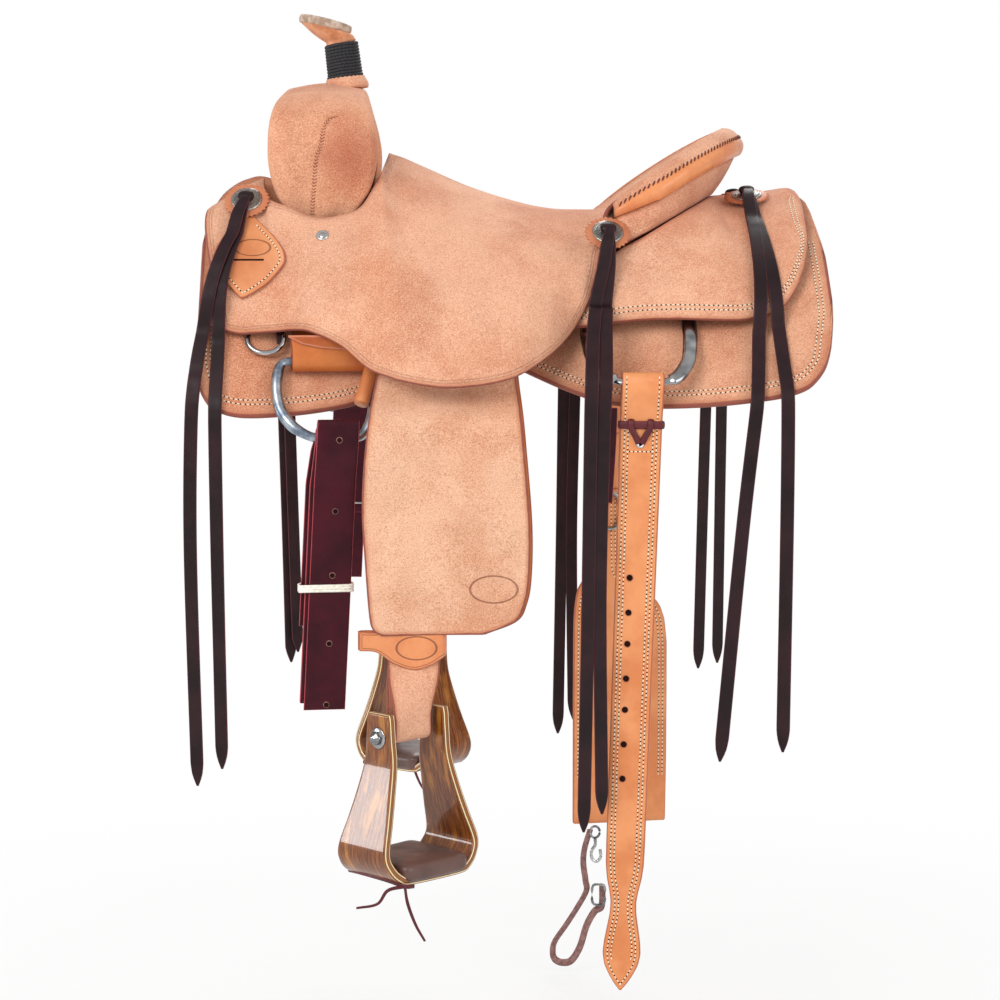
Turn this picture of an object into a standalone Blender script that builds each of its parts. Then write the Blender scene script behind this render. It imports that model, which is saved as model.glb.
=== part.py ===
"""Ranch roping saddle: a wooden tree with leather covers, skirts, rigging, fenders and stirrups.

The horse faces -X, the near (left) side is -Y, up is +Z and the units are metres. The origin is
the spine of the horse's back under the middle of the saddle.
"""
import bpy
import bmesh
import numpy as np
from math import cos, pi, radians, sin
from mathutils import Matrix, Vector

GAP = 0.0004
LAYER_GAP = 0.0010
FLEECE_GAP = 0.0018

SPINE_RISE_FRONT = 1.0
SPINE_RISE_REAR = 0.4
BACK_SLOPE = 0.7
BACK_SLOPE_FRONT = 0.5
BACK_SLOPE_REAR = 0.25
BACK_ROUND = 1.6
BACK_ROUND_REAR = 0.1
BACK_EASE = 0.08
BACK_REACH = 0.3
BACK_REACH_MOST = 1.2

FLEECE_THICK = 0.016
FLEECE_INSET = 0.004
SKIRT_THICK = 0.0075
SKIRT_FRONT_X = -0.340
SKIRT_REAR_X = 0.362
SKIRT_LIFT = FLEECE_THICK + FLEECE_GAP + SKIRT_THICK
BAR_THICK = 0.013
BAR_LIFT = SKIRT_LIFT + LAYER_GAP + BAR_THICK
BAR_SPINE_Y = 0.048
BAR_OUTER_Y = 0.142
BAR_FRONT_X = -0.260
BAR_REAR_X = 0.238
LEATHER = 0.005
JOCKEY_THICK = 0.006
GROUND_SEAT_THICK = 0.004

FORK_FRONT_X = -0.238
FORK_REAR_X = -0.165
FORK_FEET_Y = (0.054, 0.070, 0.088, 0.106)
FORK_LEG = (0.100, 0.060)
COVER_EASE = 0.0015
GULLET_TOP_Z = 0.118
GULLET_HALF_Y = 0.044
COVER_THICK = 0.004

CANTLE_FOOT_Z = 0.045
CANTLE_BOARD = 0.007
CANTLE_RAKE = 0.34
CANTLE_CREST_DROP = 0.012
CANTLE_FOOT_FIRST = 0.8
CANTLE_FOOT_LAST = 6.0
ROLL_UNDER = 0.0165
ROLL_DEPTH = 0.0298
ROLL_END = 0.03

HORN_BASE = Vector((-0.178, 0.0, 0.1928))
HORN_TILT = radians(-7)
HORN_NECK_R = 0.0150
HORN_NECK_LENGTH = 0.051
HORN_FLARE = 0.004
HORN_HOLE_R = 0.0225
HORN_CAP_CENTRE = Vector((-0.2015, 0.0, 0.2675))
HORN_CAP_TILT = radians(16.6)
HORN_CAP_R = 0.0292
HORN_CAP_THICK = 0.008
WRAP_LENGTH = 0.0435
WRAP_THICK_TOP = 0.0035
WRAP_THICK_BASE = 0.0058
WRAP_LIFT = 0.0065

FENDER_PIVOT = Vector((-0.065, -0.2500, -0.105))
FENDER_THICK = 0.005
SWING_X = -0.091
FENDER_OUT_Y = -0.2850
FENDER_BEND_TOP_Z = -0.145
FENDER_BEND_LOW_Z = -0.185
STRAP_BAR_Y = (0.082, 0.104, 0.126, 0.150)
STRAP_WIDTH = 0.060
STRAP_THICK = 0.004
LEG_WIDTH = 0.056
LEG_THICK = 0.0032
LEG_TOP_Z = -0.330
HOBBLE_TOP_Z = -0.4085
HOBBLE_LOW_Z = -0.437
HOBBLE_THICK = 0.0028

STIRRUP_CENTRE = Vector((-0.106, -0.2950, -0.512))
STIRRUP_TURN = radians(43)
STIRRUP_NECK = 0.078
STIRRUP_FLOOR = 0.128
STIRRUP_NECK_WIDTH = 0.036
STIRRUP_FLOOR_WIDTH = 0.088
STIRRUP_RISE = 0.026
STIRRUP_DROP = 0.148
STIRRUP_WOOD = 0.009
TREAD_THICK = 0.013
BOLT_R = 0.0042
BOLT_HEAD_R = 0.0075
BOLT_HEAD_THICK = 0.004

RIG_X = -0.193
RIG_LENGTH = 0.080
RIG_TOP_Z = -0.058
RIG_BAR_Z = -0.118
RIG_THICK = 0.004
DEE_DROP = 0.090
DEE_STAND = 0.0015
DEE_HEM_Z = -0.172
LATIGO_TOP_Z = -0.180
LATIGO_LOW_Z = -0.492
LATIGO_SHIFT = 0.0105
LATIGO_SLANT = 0.052
LATIGO_PITCH = 0.0048
LATIGO_JOIN = 0.036
LATIGO_BACK = 0.09
LATIGO_FOLD = 0.009
OFF_BILLET_LOW_Z = -0.412
BREAST_DEE_X = -0.262
BREAST_DEE_TOP_Z = -0.084
BREAST_DEE_R = 0.019
BREAST_DEE_HALF_HEIGHT = 0.014
BREAST_DEE_STAND = 0.004
REAR_DEE_X = 0.146
REAR_DEE_HALF = 0.056
REAR_DEE_TOP_Z = -0.064
REAR_BAR = Vector((REAR_DEE_X, 0.2680, -0.137))
BILLET_TIP_Z = -0.800
BILLET_SLANT = 0.032
CINCH_X = 0.161
CINCH_TOP_Z = -0.302
CINCH_SHOULDER_Z = -0.415
CINCH_FULL_Z = -0.462
CINCH_LOW_Z = -0.735
OFF_FLANK_LOW_Z = -0.425

CONCHO_R = 0.0165
CONCHO_DOME = 0.004
ROSETTE_R = 0.0235
ROSETTE_THICK = 0.003
STRING_WIDTH = 0.0145
STRING_THICK = 0.0025
STRING_PITCH = 0.0040
STRING_LIFTS = {"front": 0.0075, "mid": 0.0110, "rear": 0.0084}
STRING_OVER_DEE = 0.0110
STRING_TIP = 0.08
STRING_FREE_Z = -0.168
FRONT_HEM_Z = -0.084
REAR_HEM_Z = -0.085

DEE_WIRE_R = 0.0052
BREAST_DEE_WIRE_R = 0.0026
REAR_DEE_WIRE_R = 0.0050
LATIGO_WIDTH = 0.045
LATIGO_THICK = 0.0038
BILLET_WIDTH = 0.046
BILLET_THICK = 0.0042
CINCH_WIDTH = 0.118
CINCH_THICK = 0.0065
CONNECTOR_WIDTH = 0.016
CONNECTOR_THICK = 0.0024
KEEPER_THICK = 0.0030
KEEPER_LIFT = 0.0014

SKIRT_SPINE_EDGE = (
    (-0.340, 0.128), (-0.334, 0.105), (-0.322, 0.080), (-0.300, 0.052), (-0.275, 0.032),
    (-0.200, 0.024), (0.300, 0.024), (0.340, 0.030), (0.352, 0.050), (0.358, 0.100),
    (0.362, 0.150),
)
SKIRT_HEM = (
    (-0.340, 0.198), (-0.336, 0.217), (-0.323, 0.226), (-0.300, 0.227), (-0.268, 0.223),
    (-0.170, 0.206), (-0.115, 0.190), (-0.060, 0.176), (-0.030, 0.174), (0.000, 0.180),
    (0.062, 0.207), (0.105, 0.224), (0.148, 0.235), (0.212, 0.247), (0.265, 0.256),
    (0.305, 0.262), (0.330, 0.262), (0.348, 0.252), (0.358, 0.231), (0.362, 0.195),
)

SEAT_COLUMNS = (
    # centre or fork edge (x, y, z), outer edge (x, y, z), shoulder, drop of the outer handle
    ((-0.327, 0.128, 0.050), (-0.309, 0.212, -0.083), 0.035, 0.06),
    ((-0.300, 0.098, 0.068), (-0.288, 0.210, -0.088), 0.055, 0.06),
    ((-0.269, 0.066, 0.086), (-0.268, 0.210, -0.087), 0.074, 0.065),
    ((-0.264, 0.126, 0.062), (-0.254, 0.210, -0.086), 0.026, 0.06),
    ((-0.240, 0.146, 0.052), (-0.232, 0.212, -0.084), 0.02, 0.06),
    ((-0.211, 0.148, 0.040), (-0.210, 0.230, -0.086), 0.02, 0.06),
    ((-0.182, 0.146, 0.042), (-0.178, 0.245, -0.100), 0.02, 0.08),
    ((-0.157, 0.140, 0.053), (-0.148, 0.264, -0.124), 0.03, 0.09),
    ((-0.136, 0.110, 0.090), (-0.118, 0.282, -0.135), 0.03, 0.10),
    ((-0.129, 0.000, 0.116), (-0.093, 0.290, -0.140), 0.09, 0.11),
    ((-0.093, 0.000, 0.102), (-0.065, 0.292, -0.143), 0.10, 0.11),
    ((-0.035, 0.000, 0.077), (-0.025, 0.290, -0.140), 0.12, 0.11),
    ((0.023, 0.000, 0.059), (0.010, 0.279, -0.132), 0.14, 0.10),
    ((0.060, 0.000, 0.052), (0.040, 0.252, -0.116), 0.15, 0.09),
    ((0.090, 0.000, 0.051), (0.066, 0.222, -0.095), 0.15, 0.08),
    ((0.110, 0.000, 0.051), (0.086, 0.205, -0.066), 0.15, 0.07),
    ((0.126, 0.000, 0.053), (0.100, 0.191, -0.030), 0.14, 0.05),
    ((0.140, 0.000, 0.055), (0.106, 0.179, 0.006), 0.12, 0.03),
    ((0.155, 0.000, 0.058), (0.112, 0.156, 0.046), 0.09, 0.00),
    ((0.175, 0.000, 0.066), (0.137, 0.150, 0.068), 0.09, -0.012),
    ((0.200, 0.000, 0.083), (0.172, 0.137, 0.094), 0.08, -0.014),
    ((0.225, 0.000, 0.108), (0.207, 0.112, 0.117), 0.06, -0.010),
    ((0.243, 0.000, 0.128), (0.235, 0.078, 0.133), 0.04, -0.005),
    ((0.256, 0.000, 0.143), (0.252, 0.040, 0.141), 0.02, 0.00),
)
RIM_START = 18
FRONT_BULGE = 0.008
FRONT_BULGE_COLUMNS = 2.0
SEAT_ROWS = 7
GROUND_FIRST, GROUND_LAST, GROUND_ROWS = 10, 22, 3
JOCKEY_SPINE_Y = 0.003
REAR_JOCKEY_COLUMNS = (
    ((0.098, 0.160, -0.020), (0.070, 0.202, -0.082), 0.01, 0.02),
    ((0.126, 0.172, 0.004), (0.110, 0.210, -0.077), 0.01, 0.03),
    ((0.156, 0.163, 0.020), (0.150, 0.209, -0.073), 0.01, 0.04),
    ((0.190, 0.136, 0.039), (0.190, 0.216, -0.072), 0.02, 0.05),
    ((0.218, 0.098, 0.054), (0.225, 0.221, -0.073), 0.04, 0.06),
    ((0.236, 0.052, 0.063), (0.255, 0.224, -0.073), 0.06, 0.06),
    ((0.247, JOCKEY_SPINE_Y, 0.067), (0.280, 0.223, -0.069), 0.08, 0.06),
    ((0.280, JOCKEY_SPINE_Y, 0.068), (0.302, 0.220, -0.060), 0.08, 0.06),
    ((0.312, JOCKEY_SPINE_Y, 0.073), (0.319, 0.207, -0.040), 0.07, 0.06),
    ((0.334, 0.030, 0.075), (0.332, 0.183, -0.012), 0.04, 0.04),
    ((0.341, 0.070, 0.063), (0.339, 0.153, 0.016), 0.02, 0.02),
)
COVER_STATIONS = (
    # y, z, front x, rear x, depth of the front and rear faces
    (0.1325, 0.022, -0.224, -0.190, 0.006),
    (0.1370, 0.040, -0.238, -0.168, 0.012),
    (0.1420, 0.064, -0.253, -0.150, 0.022),
    (0.1480, 0.095, -0.261, -0.141, 0.044),
    (0.1470, 0.128, -0.262, -0.140, 0.050),
    (0.1320, 0.158, -0.261, -0.143, 0.052),
    (0.1000, 0.177, -0.258, -0.147, 0.050),
    (0.0500, 0.189, -0.253, -0.150, 0.046),
    (0.0000, 0.196, -0.250, -0.152, 0.044),
)

FENDER_LEFT = ((-0.100, -0.112), (-0.120, -0.135), (-0.125, -0.138), (-0.205, -0.151),
               (-0.270, -0.155), (-0.331, -0.152), (-0.395, -0.147), (-0.408, -0.140))
FENDER_RIGHT = ((-0.100, -0.018), (-0.120, 0.008), (-0.125, 0.010), (-0.205, 0.018),
                (-0.288, 0.024), (-0.340, 0.023), (-0.370, 0.018), (-0.395, 0.005),
                (-0.408, -0.020))
FENDER_ROWS = (-0.100, -0.122, -0.145, -0.165, -0.185, -0.220, -0.260, -0.300, -0.340, -0.370,
               -0.395, -0.408)

FRONT_JOCKEY_U = 0.30
MID_JOCKEY_U = 0.75
KEEPER_LEFT = ((0.036, -0.296), (0.020, -0.308), (-0.001, -0.321), (-0.014, -0.319),
               (-0.032, -0.304), (-0.049, -0.289))
KEEPER_RIGHT = ((0.036, -0.275), (0.018, -0.252), (-0.004, -0.240), (-0.016, -0.243),
                (-0.034, -0.259), (-0.049, -0.284))

CONNECTOR_X = 0.124
CONNECTOR_DROP = 0.0095
CONNECTOR_ROUTE = (
    # from the connector's top, along the cinch's edge and down
    (0.000, 0.0000), (-0.008, -0.0305), (-0.002, -0.0785), (-0.028, -0.1235), (-0.048, -0.1535),
    (-0.043, -0.1755), (-0.028, -0.1795), (-0.012, -0.1595), (-0.004, -0.1275), (0.012, -0.1075),
    (0.014, -0.0705),
)

CONCHOS = {
    # x, |y|, z of the leather below, the way it faces, and the distance to the leather
    "front": ((-0.284, 0.134, 0.052), (-0.06, 0.74, 0.67), 0.0072),
    "mid": ((0.1133, 0.173, 0.0142), (0.04, 0.70, 0.71), 0.0090),
    "rear": ((0.281, 0.063, 0.058), (-0.08, 0.33, 0.94), 0.0050),
}
STRING_ROUTES = {
    # (x, z) of the two hanging ends, from the concho down to the tip
    "front_near": (
        ((-0.293, 0.022), (-0.300, 0.004), (-0.308, -0.029), (-0.311, -0.070), (-0.312, -0.120),
         (-0.313, -0.180), (-0.312, -0.329), (-0.309, -0.559)),
        ((-0.297, 0.024), (-0.308, 0.002), (-0.319, -0.033), (-0.327, -0.078), (-0.334, -0.125),
         (-0.339, -0.190), (-0.341, -0.330), (-0.336, -0.578)),
    ),
    "front_off": (
        ((-0.280, 0.022), (-0.276, 0.002), (-0.270, -0.030), (-0.266, -0.072), (-0.264, -0.120),
         (-0.262, -0.180), (-0.258, -0.330), (-0.253, -0.510)),
        ((-0.284, 0.024), (-0.281, 0.002), (-0.277, -0.030), (-0.274, -0.072), (-0.272, -0.120),
         (-0.270, -0.180), (-0.266, -0.330), (-0.262, -0.524)),
    ),
    "mid": (
        ((0.114, -0.012), (0.112, -0.036), (0.109, -0.066), (0.107, -0.110), (0.105, -0.150),
         (0.103, -0.210), (0.100, -0.374), (0.103, -0.605)),
        ((0.109, -0.010), (0.103, -0.036), (0.096, -0.070), (0.092, -0.112), (0.090, -0.150),
         (0.089, -0.210), (0.087, -0.374), (0.083, -0.624)),
    ),
    "rear_near": (
        ((0.284, 0.042), (0.288, 0.015), (0.293, -0.025), (0.296, -0.070), (0.298, -0.115),
         (0.300, -0.165), (0.300, -0.300), (0.298, -0.537)),
        ((0.280, 0.044), (0.280, 0.016), (0.279, -0.026), (0.276, -0.072), (0.272, -0.115),
         (0.266, -0.170), (0.252, -0.300), (0.230, -0.547)),
    ),
    "rear_off": (
        ((0.284, 0.042), (0.287, 0.015), (0.290, -0.025), (0.292, -0.070), (0.293, -0.115),
         (0.294, -0.165), (0.293, -0.300), (0.291, -0.532)),
        ((0.280, 0.044), (0.278, 0.016), (0.277, -0.026), (0.276, -0.072), (0.275, -0.115),
         (0.274, -0.170), (0.271, -0.300), (0.266, -0.539)),
    ),
}

NEAR, OFF = -1, 1
SIDES = ((NEAR, "near"), (OFF, "off"))

MATERIALS = {
    "roughout": ((0.75, 0.45, 0.27), 0.85, 0.0),
    "russet": ((0.72, 0.33, 0.13), 0.45, 0.0),
    "latigo": ((0.075, 0.014, 0.022), 0.45, 0.0),
    "string": ((0.045, 0.024, 0.024), 0.5, 0.0),
    "fleece": ((0.80, 0.71, 0.52), 0.95, 0.0),
    "tree_wood": ((0.62, 0.45, 0.27), 0.6, 0.0),
    "stirrup_wood": ((0.32, 0.15, 0.05), 0.2, 0.0),
    "tread_leather": ((0.09, 0.04, 0.02), 0.6, 0.0),
    "wrap_rubber": ((0.012, 0.012, 0.013), 0.7, 0.0),
    "silver": ((0.62, 0.60, 0.57), 0.3, 1.0),
    "galvanised": ((0.50, 0.54, 0.58), 0.45, 1.0),
}

part = bpy.data.collections.new("ranch_roping_saddle")
guides = bpy.data.collections.new("cutters")


def clear_scene():
    """Remove every object that the start file holds."""
    for thing in list(bpy.data.objects):
        bpy.data.objects.remove(thing, do_unlink=True)
    bpy.context.scene.collection.children.link(part)
    bpy.context.scene.collection.children.link(guides)


def material(name):
    """Return the named finish, made on first use."""
    if name in bpy.data.materials:
        return bpy.data.materials[name]
    colour, roughness, metallic = MATERIALS[name]
    finish = bpy.data.materials.new(name)
    finish.use_nodes = True
    shader = finish.node_tree.nodes["Principled BSDF"]
    shader.inputs["Base Color"].default_value = (*colour, 1.0)
    shader.inputs["Roughness"].default_value = roughness
    shader.inputs["Metallic"].default_value = metallic
    return finish


def adopt(bm, name, finish):
    """Turn a bmesh into a named object of the saddle."""
    mesh = bpy.data.meshes.new(name)
    bm.to_mesh(mesh)
    bm.free()
    thing = bpy.data.objects.new(name, mesh)
    thing.data.materials.append(material(finish))
    part.objects.link(thing)
    return thing


def solidify(thing, thickness, offset, even=False):
    """Give an open sheet its thickness; -1 grows inwards, 0 both ways."""
    wall = thing.modifiers.new("thickness", "SOLIDIFY")
    wall.thickness = thickness
    wall.offset = offset
    wall.use_even_offset = even
    return thing


def sheet(name, place, along, across, thickness, facing, finish):
    """A leather sheet: a grid whose points are placed by place(u, v), then given a thickness."""
    bm = bmesh.new()
    bmesh.ops.create_grid(bm, x_segments=along, y_segments=across, size=0.5)
    for vert in bm.verts:
        vert.co = place(vert.co.x + 0.5, vert.co.y + 0.5)
    bm.normal_update()
    total = Vector((0, 0, 0))
    for face in bm.faces:
        total += face.normal * face.calc_area()
    if total.dot(facing) < 0:
        bmesh.ops.reverse_faces(bm, faces=bm.faces)
    return solidify(adopt(bm, name, finish), thickness, -1)


def loft(name, rings, finish):
    """A closed skin through rings of points, with both ends capped."""
    bm = bmesh.new()
    layers = [[bm.verts.new(p) for p in ring] for ring in rings]
    count = len(rings[0])
    for low, high in zip(layers, layers[1:]):
        for i in range(count):
            j = (i + 1) % count
            bm.faces.new((low[i], low[j], high[j], high[i]))
    bm.faces.new(layers[0][::-1])
    bm.faces.new(layers[-1])
    bmesh.ops.recalc_face_normals(bm, faces=bm.faces)
    return adopt(bm, name, finish)


def smooth(points, count):
    """Points evenly placed on a smooth curve through the given points."""
    keys = [np.array(p, float) for p in points]
    first, last = 2 * keys[0] - keys[1], 2 * keys[-1] - keys[-2]
    ring = [first, *keys, last]
    spans = len(keys) - 1
    result = []
    for n in range(count + 1):
        place = min(n * spans / count, spans - 1e-9)
        i = int(place)
        t = place - i
        a, b, c, d = ring[i:i + 4]
        curve = 2 * b + (c - a) * t + (2 * a - 5 * b + 4 * c - d) * t * t
        curve = curve + (3 * b - a - 3 * c + d) * t ** 3
        result.append(Vector(curve / 2))
    return result


def strap(name, path, width, thickness, across, finish, taper=None, twist=None):
    """A flat strap along a path of points; twist lists its turn about Z at each point."""
    steps = len(path) - 1
    across = Vector(across).normalized()

    def place(u, v):
        i = round(u * steps)
        share = taper(i / steps) if taper else 1.0
        turned = Matrix.Rotation(twist[i], 3, "Z") @ across if twist else across
        return path[i] + turned * ((v - 0.5) * width * share)

    bm = bmesh.new()
    bmesh.ops.create_grid(bm, x_segments=steps, y_segments=1, size=0.5)
    for vert in bm.verts:
        vert.co = place(vert.co.x + 0.5, vert.co.y + 0.5)
    return solidify(adopt(bm, name, finish), thickness, 0, even=True)


def turned(name, profile, finish, steps, place):
    """A turned piece: a profile of (radius, height), top to bottom, spun about Z, then placed."""
    mesh = bpy.data.meshes.new(name)
    points = [(r, 0.0, z) for r, z in profile]
    mesh.from_pydata(points, [(i, i + 1) for i in range(len(points) - 1)], [])
    thing = bpy.data.objects.new(name, mesh)
    spin = thing.modifiers.new("turn", "SCREW")
    spin.steps = steps
    spin.render_steps = steps
    spin.use_merge_vertices = True
    spin.merge_threshold = 0.00005
    thing.data.materials.append(material(finish))
    thing.matrix_world = place
    part.objects.link(thing)
    return thing


def wire(name, points, radius, finish, closed=True, resolution=1):
    """A round bar bent along the points."""
    curve = bpy.data.curves.new(name, "CURVE")
    curve.dimensions = "3D"
    curve.bevel_depth = radius
    curve.bevel_resolution = resolution
    curve.use_fill_caps = not closed
    spline = curve.splines.new("POLY")
    spline.points.add(len(points) - 1)
    for dot, p in zip(spline.points, points):
        dot.co = (*p, 1.0)
    spline.use_cyclic_u = closed
    thing = bpy.data.objects.new(name, curve)
    thing.data.materials.append(material(finish))
    part.objects.link(thing)
    return thing


def facing_matrix(point, normal):
    """Placement at a point with +Z along the normal."""
    turn = Vector((0, 0, 1)).rotation_difference(Vector(normal)).to_matrix().to_4x4()
    return Matrix.Translation(point) @ turn


def back_height(x, y):
    """Height of the horse's back, which the fleece lies on."""
    front = min(max(-x / BACK_REACH, 0.0), BACK_REACH_MOST)
    rear = min(max(x / BACK_REACH, 0.0), BACK_REACH_MOST)
    slope = BACK_SLOPE + BACK_SLOPE_FRONT * front - BACK_SLOPE_REAR * rear
    roundness = BACK_ROUND + BACK_ROUND_REAR * rear
    rise = (SPINE_RISE_FRONT if x < 0 else SPINE_RISE_REAR) * x * x
    return rise - slope * ((y * y + BACK_EASE ** 2) ** 0.5 - BACK_EASE) - roundness * y * y


def back_normal(x, y):
    """Direction away from the horse at a place on its back."""
    h = 0.0005
    dx = (back_height(x + h, y) - back_height(x - h, y)) / (2 * h)
    dy = (back_height(x, y + h) - back_height(x, y - h)) / (2 * h)
    return Vector((-dx, -dy, 1.0)).normalized()


def on_back(x, y, lift):
    """A point lifted off the back along its normal."""
    return Vector((x, y, back_height(x, y))) + back_normal(x, y) * lift


def over(x, y, lift):
    """Height of the lifted back right above a place."""
    return back_height(x, y) + lift / back_normal(x, y).z


def on_side(x, z, lift, side):
    """The point of the lifted back at a height, on one side, found by halving."""
    low, high = 0.0, 0.40
    for _ in range(40):
        middle = (low + high) / 2
        if on_back(x, middle, lift).z > z:
            low = middle
        else:
            high = middle
    p = on_back(x, high, lift)
    return Vector((x, side * p.y, z))


def outline_at(points, x):
    """Read an outline, given as (x, y) points, at one x."""
    xs, ys = zip(*points)
    return float(np.interp(x, xs, ys))


def columns(first, last, u):
    """Spread the columns so that they crowd towards the two ends."""
    return first + (last - first) * (0.5 - 0.5 * cos(pi * u)) * 0.55 + (last - first) * u * 0.45


def bezier(p0, p1, p2, p3, t):
    """A point of a cubic curve with two end points and two handles."""
    s = 1 - t
    return p0 * s ** 3 + p1 * (3 * s * s * t) + p2 * (3 * s * t * t) + p3 * t ** 3


def column_point(table, u, v, side):
    """A point of a leather that is drawn as cross-sections from its inner to its outer edge."""
    place = min(u * (len(table) - 1), len(table) - 1 - 1e-9)
    i = int(place)
    t = place - i
    (c0, e0, s0, d0), (c1, e1, s1, d1) = table[i], table[i + 1]
    inner = Vector(c0).lerp(Vector(c1), t)
    outer = Vector(e0).lerp(Vector(e1), t)
    shoulder = s0 + (s1 - s0) * t
    drop = d0 + (d1 - d0) * t
    handle_in = inner + Vector((0, shoulder, 0))
    handle_out = outer + Vector((0, -0.012 if drop > 0 else -0.03, drop))
    p = bezier(inner, handle_in, handle_out, outer, v)
    bulge = 0.0
    if table is SEAT_COLUMNS:
        bulge = FRONT_BULGE * 4 * v * (1 - v) * max(0.0, 1 - place / FRONT_BULGE_COLUMNS)
    return Vector((p.x - bulge, side * p.y, p.z))


def column_normal(table, u, v, side):
    """Outward direction of such a leather."""
    h = 0.01
    du = column_point(table, min(u + h, 1), v, side) - column_point(table, max(u - h, 0), v, side)
    dv = column_point(table, u, min(v + h, 1), side) - column_point(table, u, max(v - h, 0), side)
    n = du.cross(dv).normalized()
    return n if n.z > 0 or (abs(n.z) < 0.2 and n.y * side > 0) else -n


def make_fleece_and_skirts():
    """Sheepskin lining and the leather skirt over it, one of each on either side."""
    for side, word in SIDES:
        def place(u, v, lift, inset):
            x = columns(SKIRT_FRONT_X, SKIRT_REAR_X, u)
            top = outline_at(SKIRT_SPINE_EDGE, x) + inset
            low = outline_at(SKIRT_HEM, x) - inset
            middle = (SKIRT_FRONT_X + SKIRT_REAR_X) / 2
            shrink = 1 - 2 * inset / (SKIRT_REAR_X - SKIRT_FRONT_X)
            return on_back(middle + (x - middle) * shrink, side * (top + (low - top) * v), lift)

        sheet("fleece_" + word, lambda u, v: place(u, v, FLEECE_THICK, FLEECE_INSET), 18, 6,
              FLEECE_THICK, Vector((0, side, 1)), "fleece")
        sheet("skirt_" + word, lambda u, v: place(u, v, SKIRT_LIFT, 0.0), 18, 6,
              SKIRT_THICK, Vector((0, side, 1)), "roughout")


def bar_top(x, y):
    """Upper face of a tree bar."""
    return on_back(x, y, BAR_LIFT)


def cover_inward(i):
    """Direction into the fork, as (y, z), at one of the cover's stations."""
    last = len(COVER_STATIONS) - 1
    y0, z0 = COVER_STATIONS[max(i - 1, 0)][:2]
    y1, z1 = COVER_STATIONS[min(i + 1, last)][:2]
    if i == last:
        y1, z1 = -y0, z0
    run = ((y1 - y0) ** 2 + (z1 - z0) ** 2) ** 0.5
    return (-(z1 - z0) / run, (y1 - y0) / run)


def cover_section(station):
    """The fork cover's section at a station, front to rear, as (x, depth below the crown)."""
    front, rear, depth = COVER_STATIONS[station][2:]
    return ((front + 0.006, depth), (front, depth * 0.62), (front + 0.003, depth * 0.22),
            (front + 0.018, 0.004), ((front + rear) / 2, 0.0), (rear - 0.018, 0.004),
            (rear - 0.003, depth * 0.22), (rear, depth * 0.62), (rear - 0.006, depth))


def make_tree():
    """Wooden bars, fork and cantle board, and the ground seat between them."""
    for side, word in SIDES:
        def place(u, v):
            x = BAR_FRONT_X + (BAR_REAR_X - BAR_FRONT_X) * u
            swell = sin(pi * min(max(u, 0.12), 0.88))
            low = BAR_OUTER_Y - 0.03 + 0.03 * swell
            y = BAR_SPINE_Y + (low - BAR_SPINE_Y) * v
            return bar_top(x, side * y)

        sheet("tree_bar_" + word, place, 14, 4, BAR_THICK, Vector((0, side, 1)), "tree_wood")

    rings = []
    for n in range(5):
        x = FORK_FRONT_X + (FORK_REAR_X - FORK_FRONT_X) * n / 4
        feet = [(y, over(x, y, BAR_LIFT) + GAP) for y in FORK_FEET_Y]
        half = [(0.0, GULLET_TOP_Z), (GULLET_HALF_Y * 0.6, GULLET_TOP_Z - 0.010),
                (GULLET_HALF_Y, feet[0][1] + 0.030)] + feet
        half.append(FORK_LEG)
        for i in range(3, len(COVER_STATIONS)):
            y, z = COVER_STATIONS[i][:2]
            inward = cover_inward(i)
            section = cover_section(i)[1:-1]
            drop = float(np.interp(x, [p[0] for p in section], [p[1] for p in section]))
            inset = COVER_THICK + COVER_EASE + drop
            half.append((y + inward[0] * inset if i < len(COVER_STATIONS) - 1 else 0.0,
                         z + inward[1] * inset))
        ring = [Vector((x, -y, z)) for y, z in half]
        ring += [Vector((x, y, z)) for y, z in half[-2:0:-1]]
        rings.append(ring)
    loft("tree_fork", rings, "tree_wood")

    def ground(u, v):
        spans = len(SEAT_COLUMNS) - 1
        at = (GROUND_FIRST + (GROUND_LAST - GROUND_FIRST) * u) / spans
        across = v * GROUND_ROWS / SEAT_ROWS
        p = column_point(SEAT_COLUMNS, at, across, NEAR)
        n = column_normal(SEAT_COLUMNS, at, across, NEAR)
        q = p - n * (LEATHER + LAYER_GAP * 1.3)
        return Vector((q.x, 0.0 if v < 1e-6 else q.y, q.z))

    half_sheet("ground_seat", ground, GROUND_LAST - GROUND_FIRST, GROUND_ROWS,
               GROUND_SEAT_THICK, "russet")

    rings = []
    count = 12
    for n in range(1, count):
        crest, out = rim_point(n / count)
        spot = crest + out * -0.02
        foot = max(over(spot.x, spot.y, BAR_LIFT) + 0.012, CANTLE_FOOT_Z) - crest.z
        ring = [crest - Vector((0, 0, CANTLE_CREST_DROP)),
                crest + out * CANTLE_BOARD - Vector((0, 0, CANTLE_CREST_DROP)),
                crest + out * (CANTLE_BOARD + CANTLE_RAKE * foot) + Vector((0, 0, foot)),
                crest + out * (CANTLE_RAKE * foot) + Vector((0, 0, foot))]
        rings.append(ring)
    loft("tree_cantle", rings, "tree_wood")


def rim_point(t):
    """The crest of the cantle's rim from the near end (0) to the off end (1), and outwards."""
    rim = [Vector(row[1]) for row in SEAT_COLUMNS[RIM_START:]]
    near = [Vector((p.x, -p.y, p.z)) for p in rim]
    path = near + [Vector(SEAT_COLUMNS[-1][0])] + rim[::-1]
    points = smooth(path, 96)
    i = round(t * 96)
    ahead, behind = points[min(i + 1, 96)], points[max(i - 1, 0)]
    run = ahead - behind
    out = Vector((run.y, -run.x, 0)).normalized()
    return points[i], out


def roll_ease(t):
    """Share of the cantle roll's full section, which dies away towards the two ends."""
    return 0.35 + 0.65 * min(1.0, sin(pi * t) * 2.2)


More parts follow.
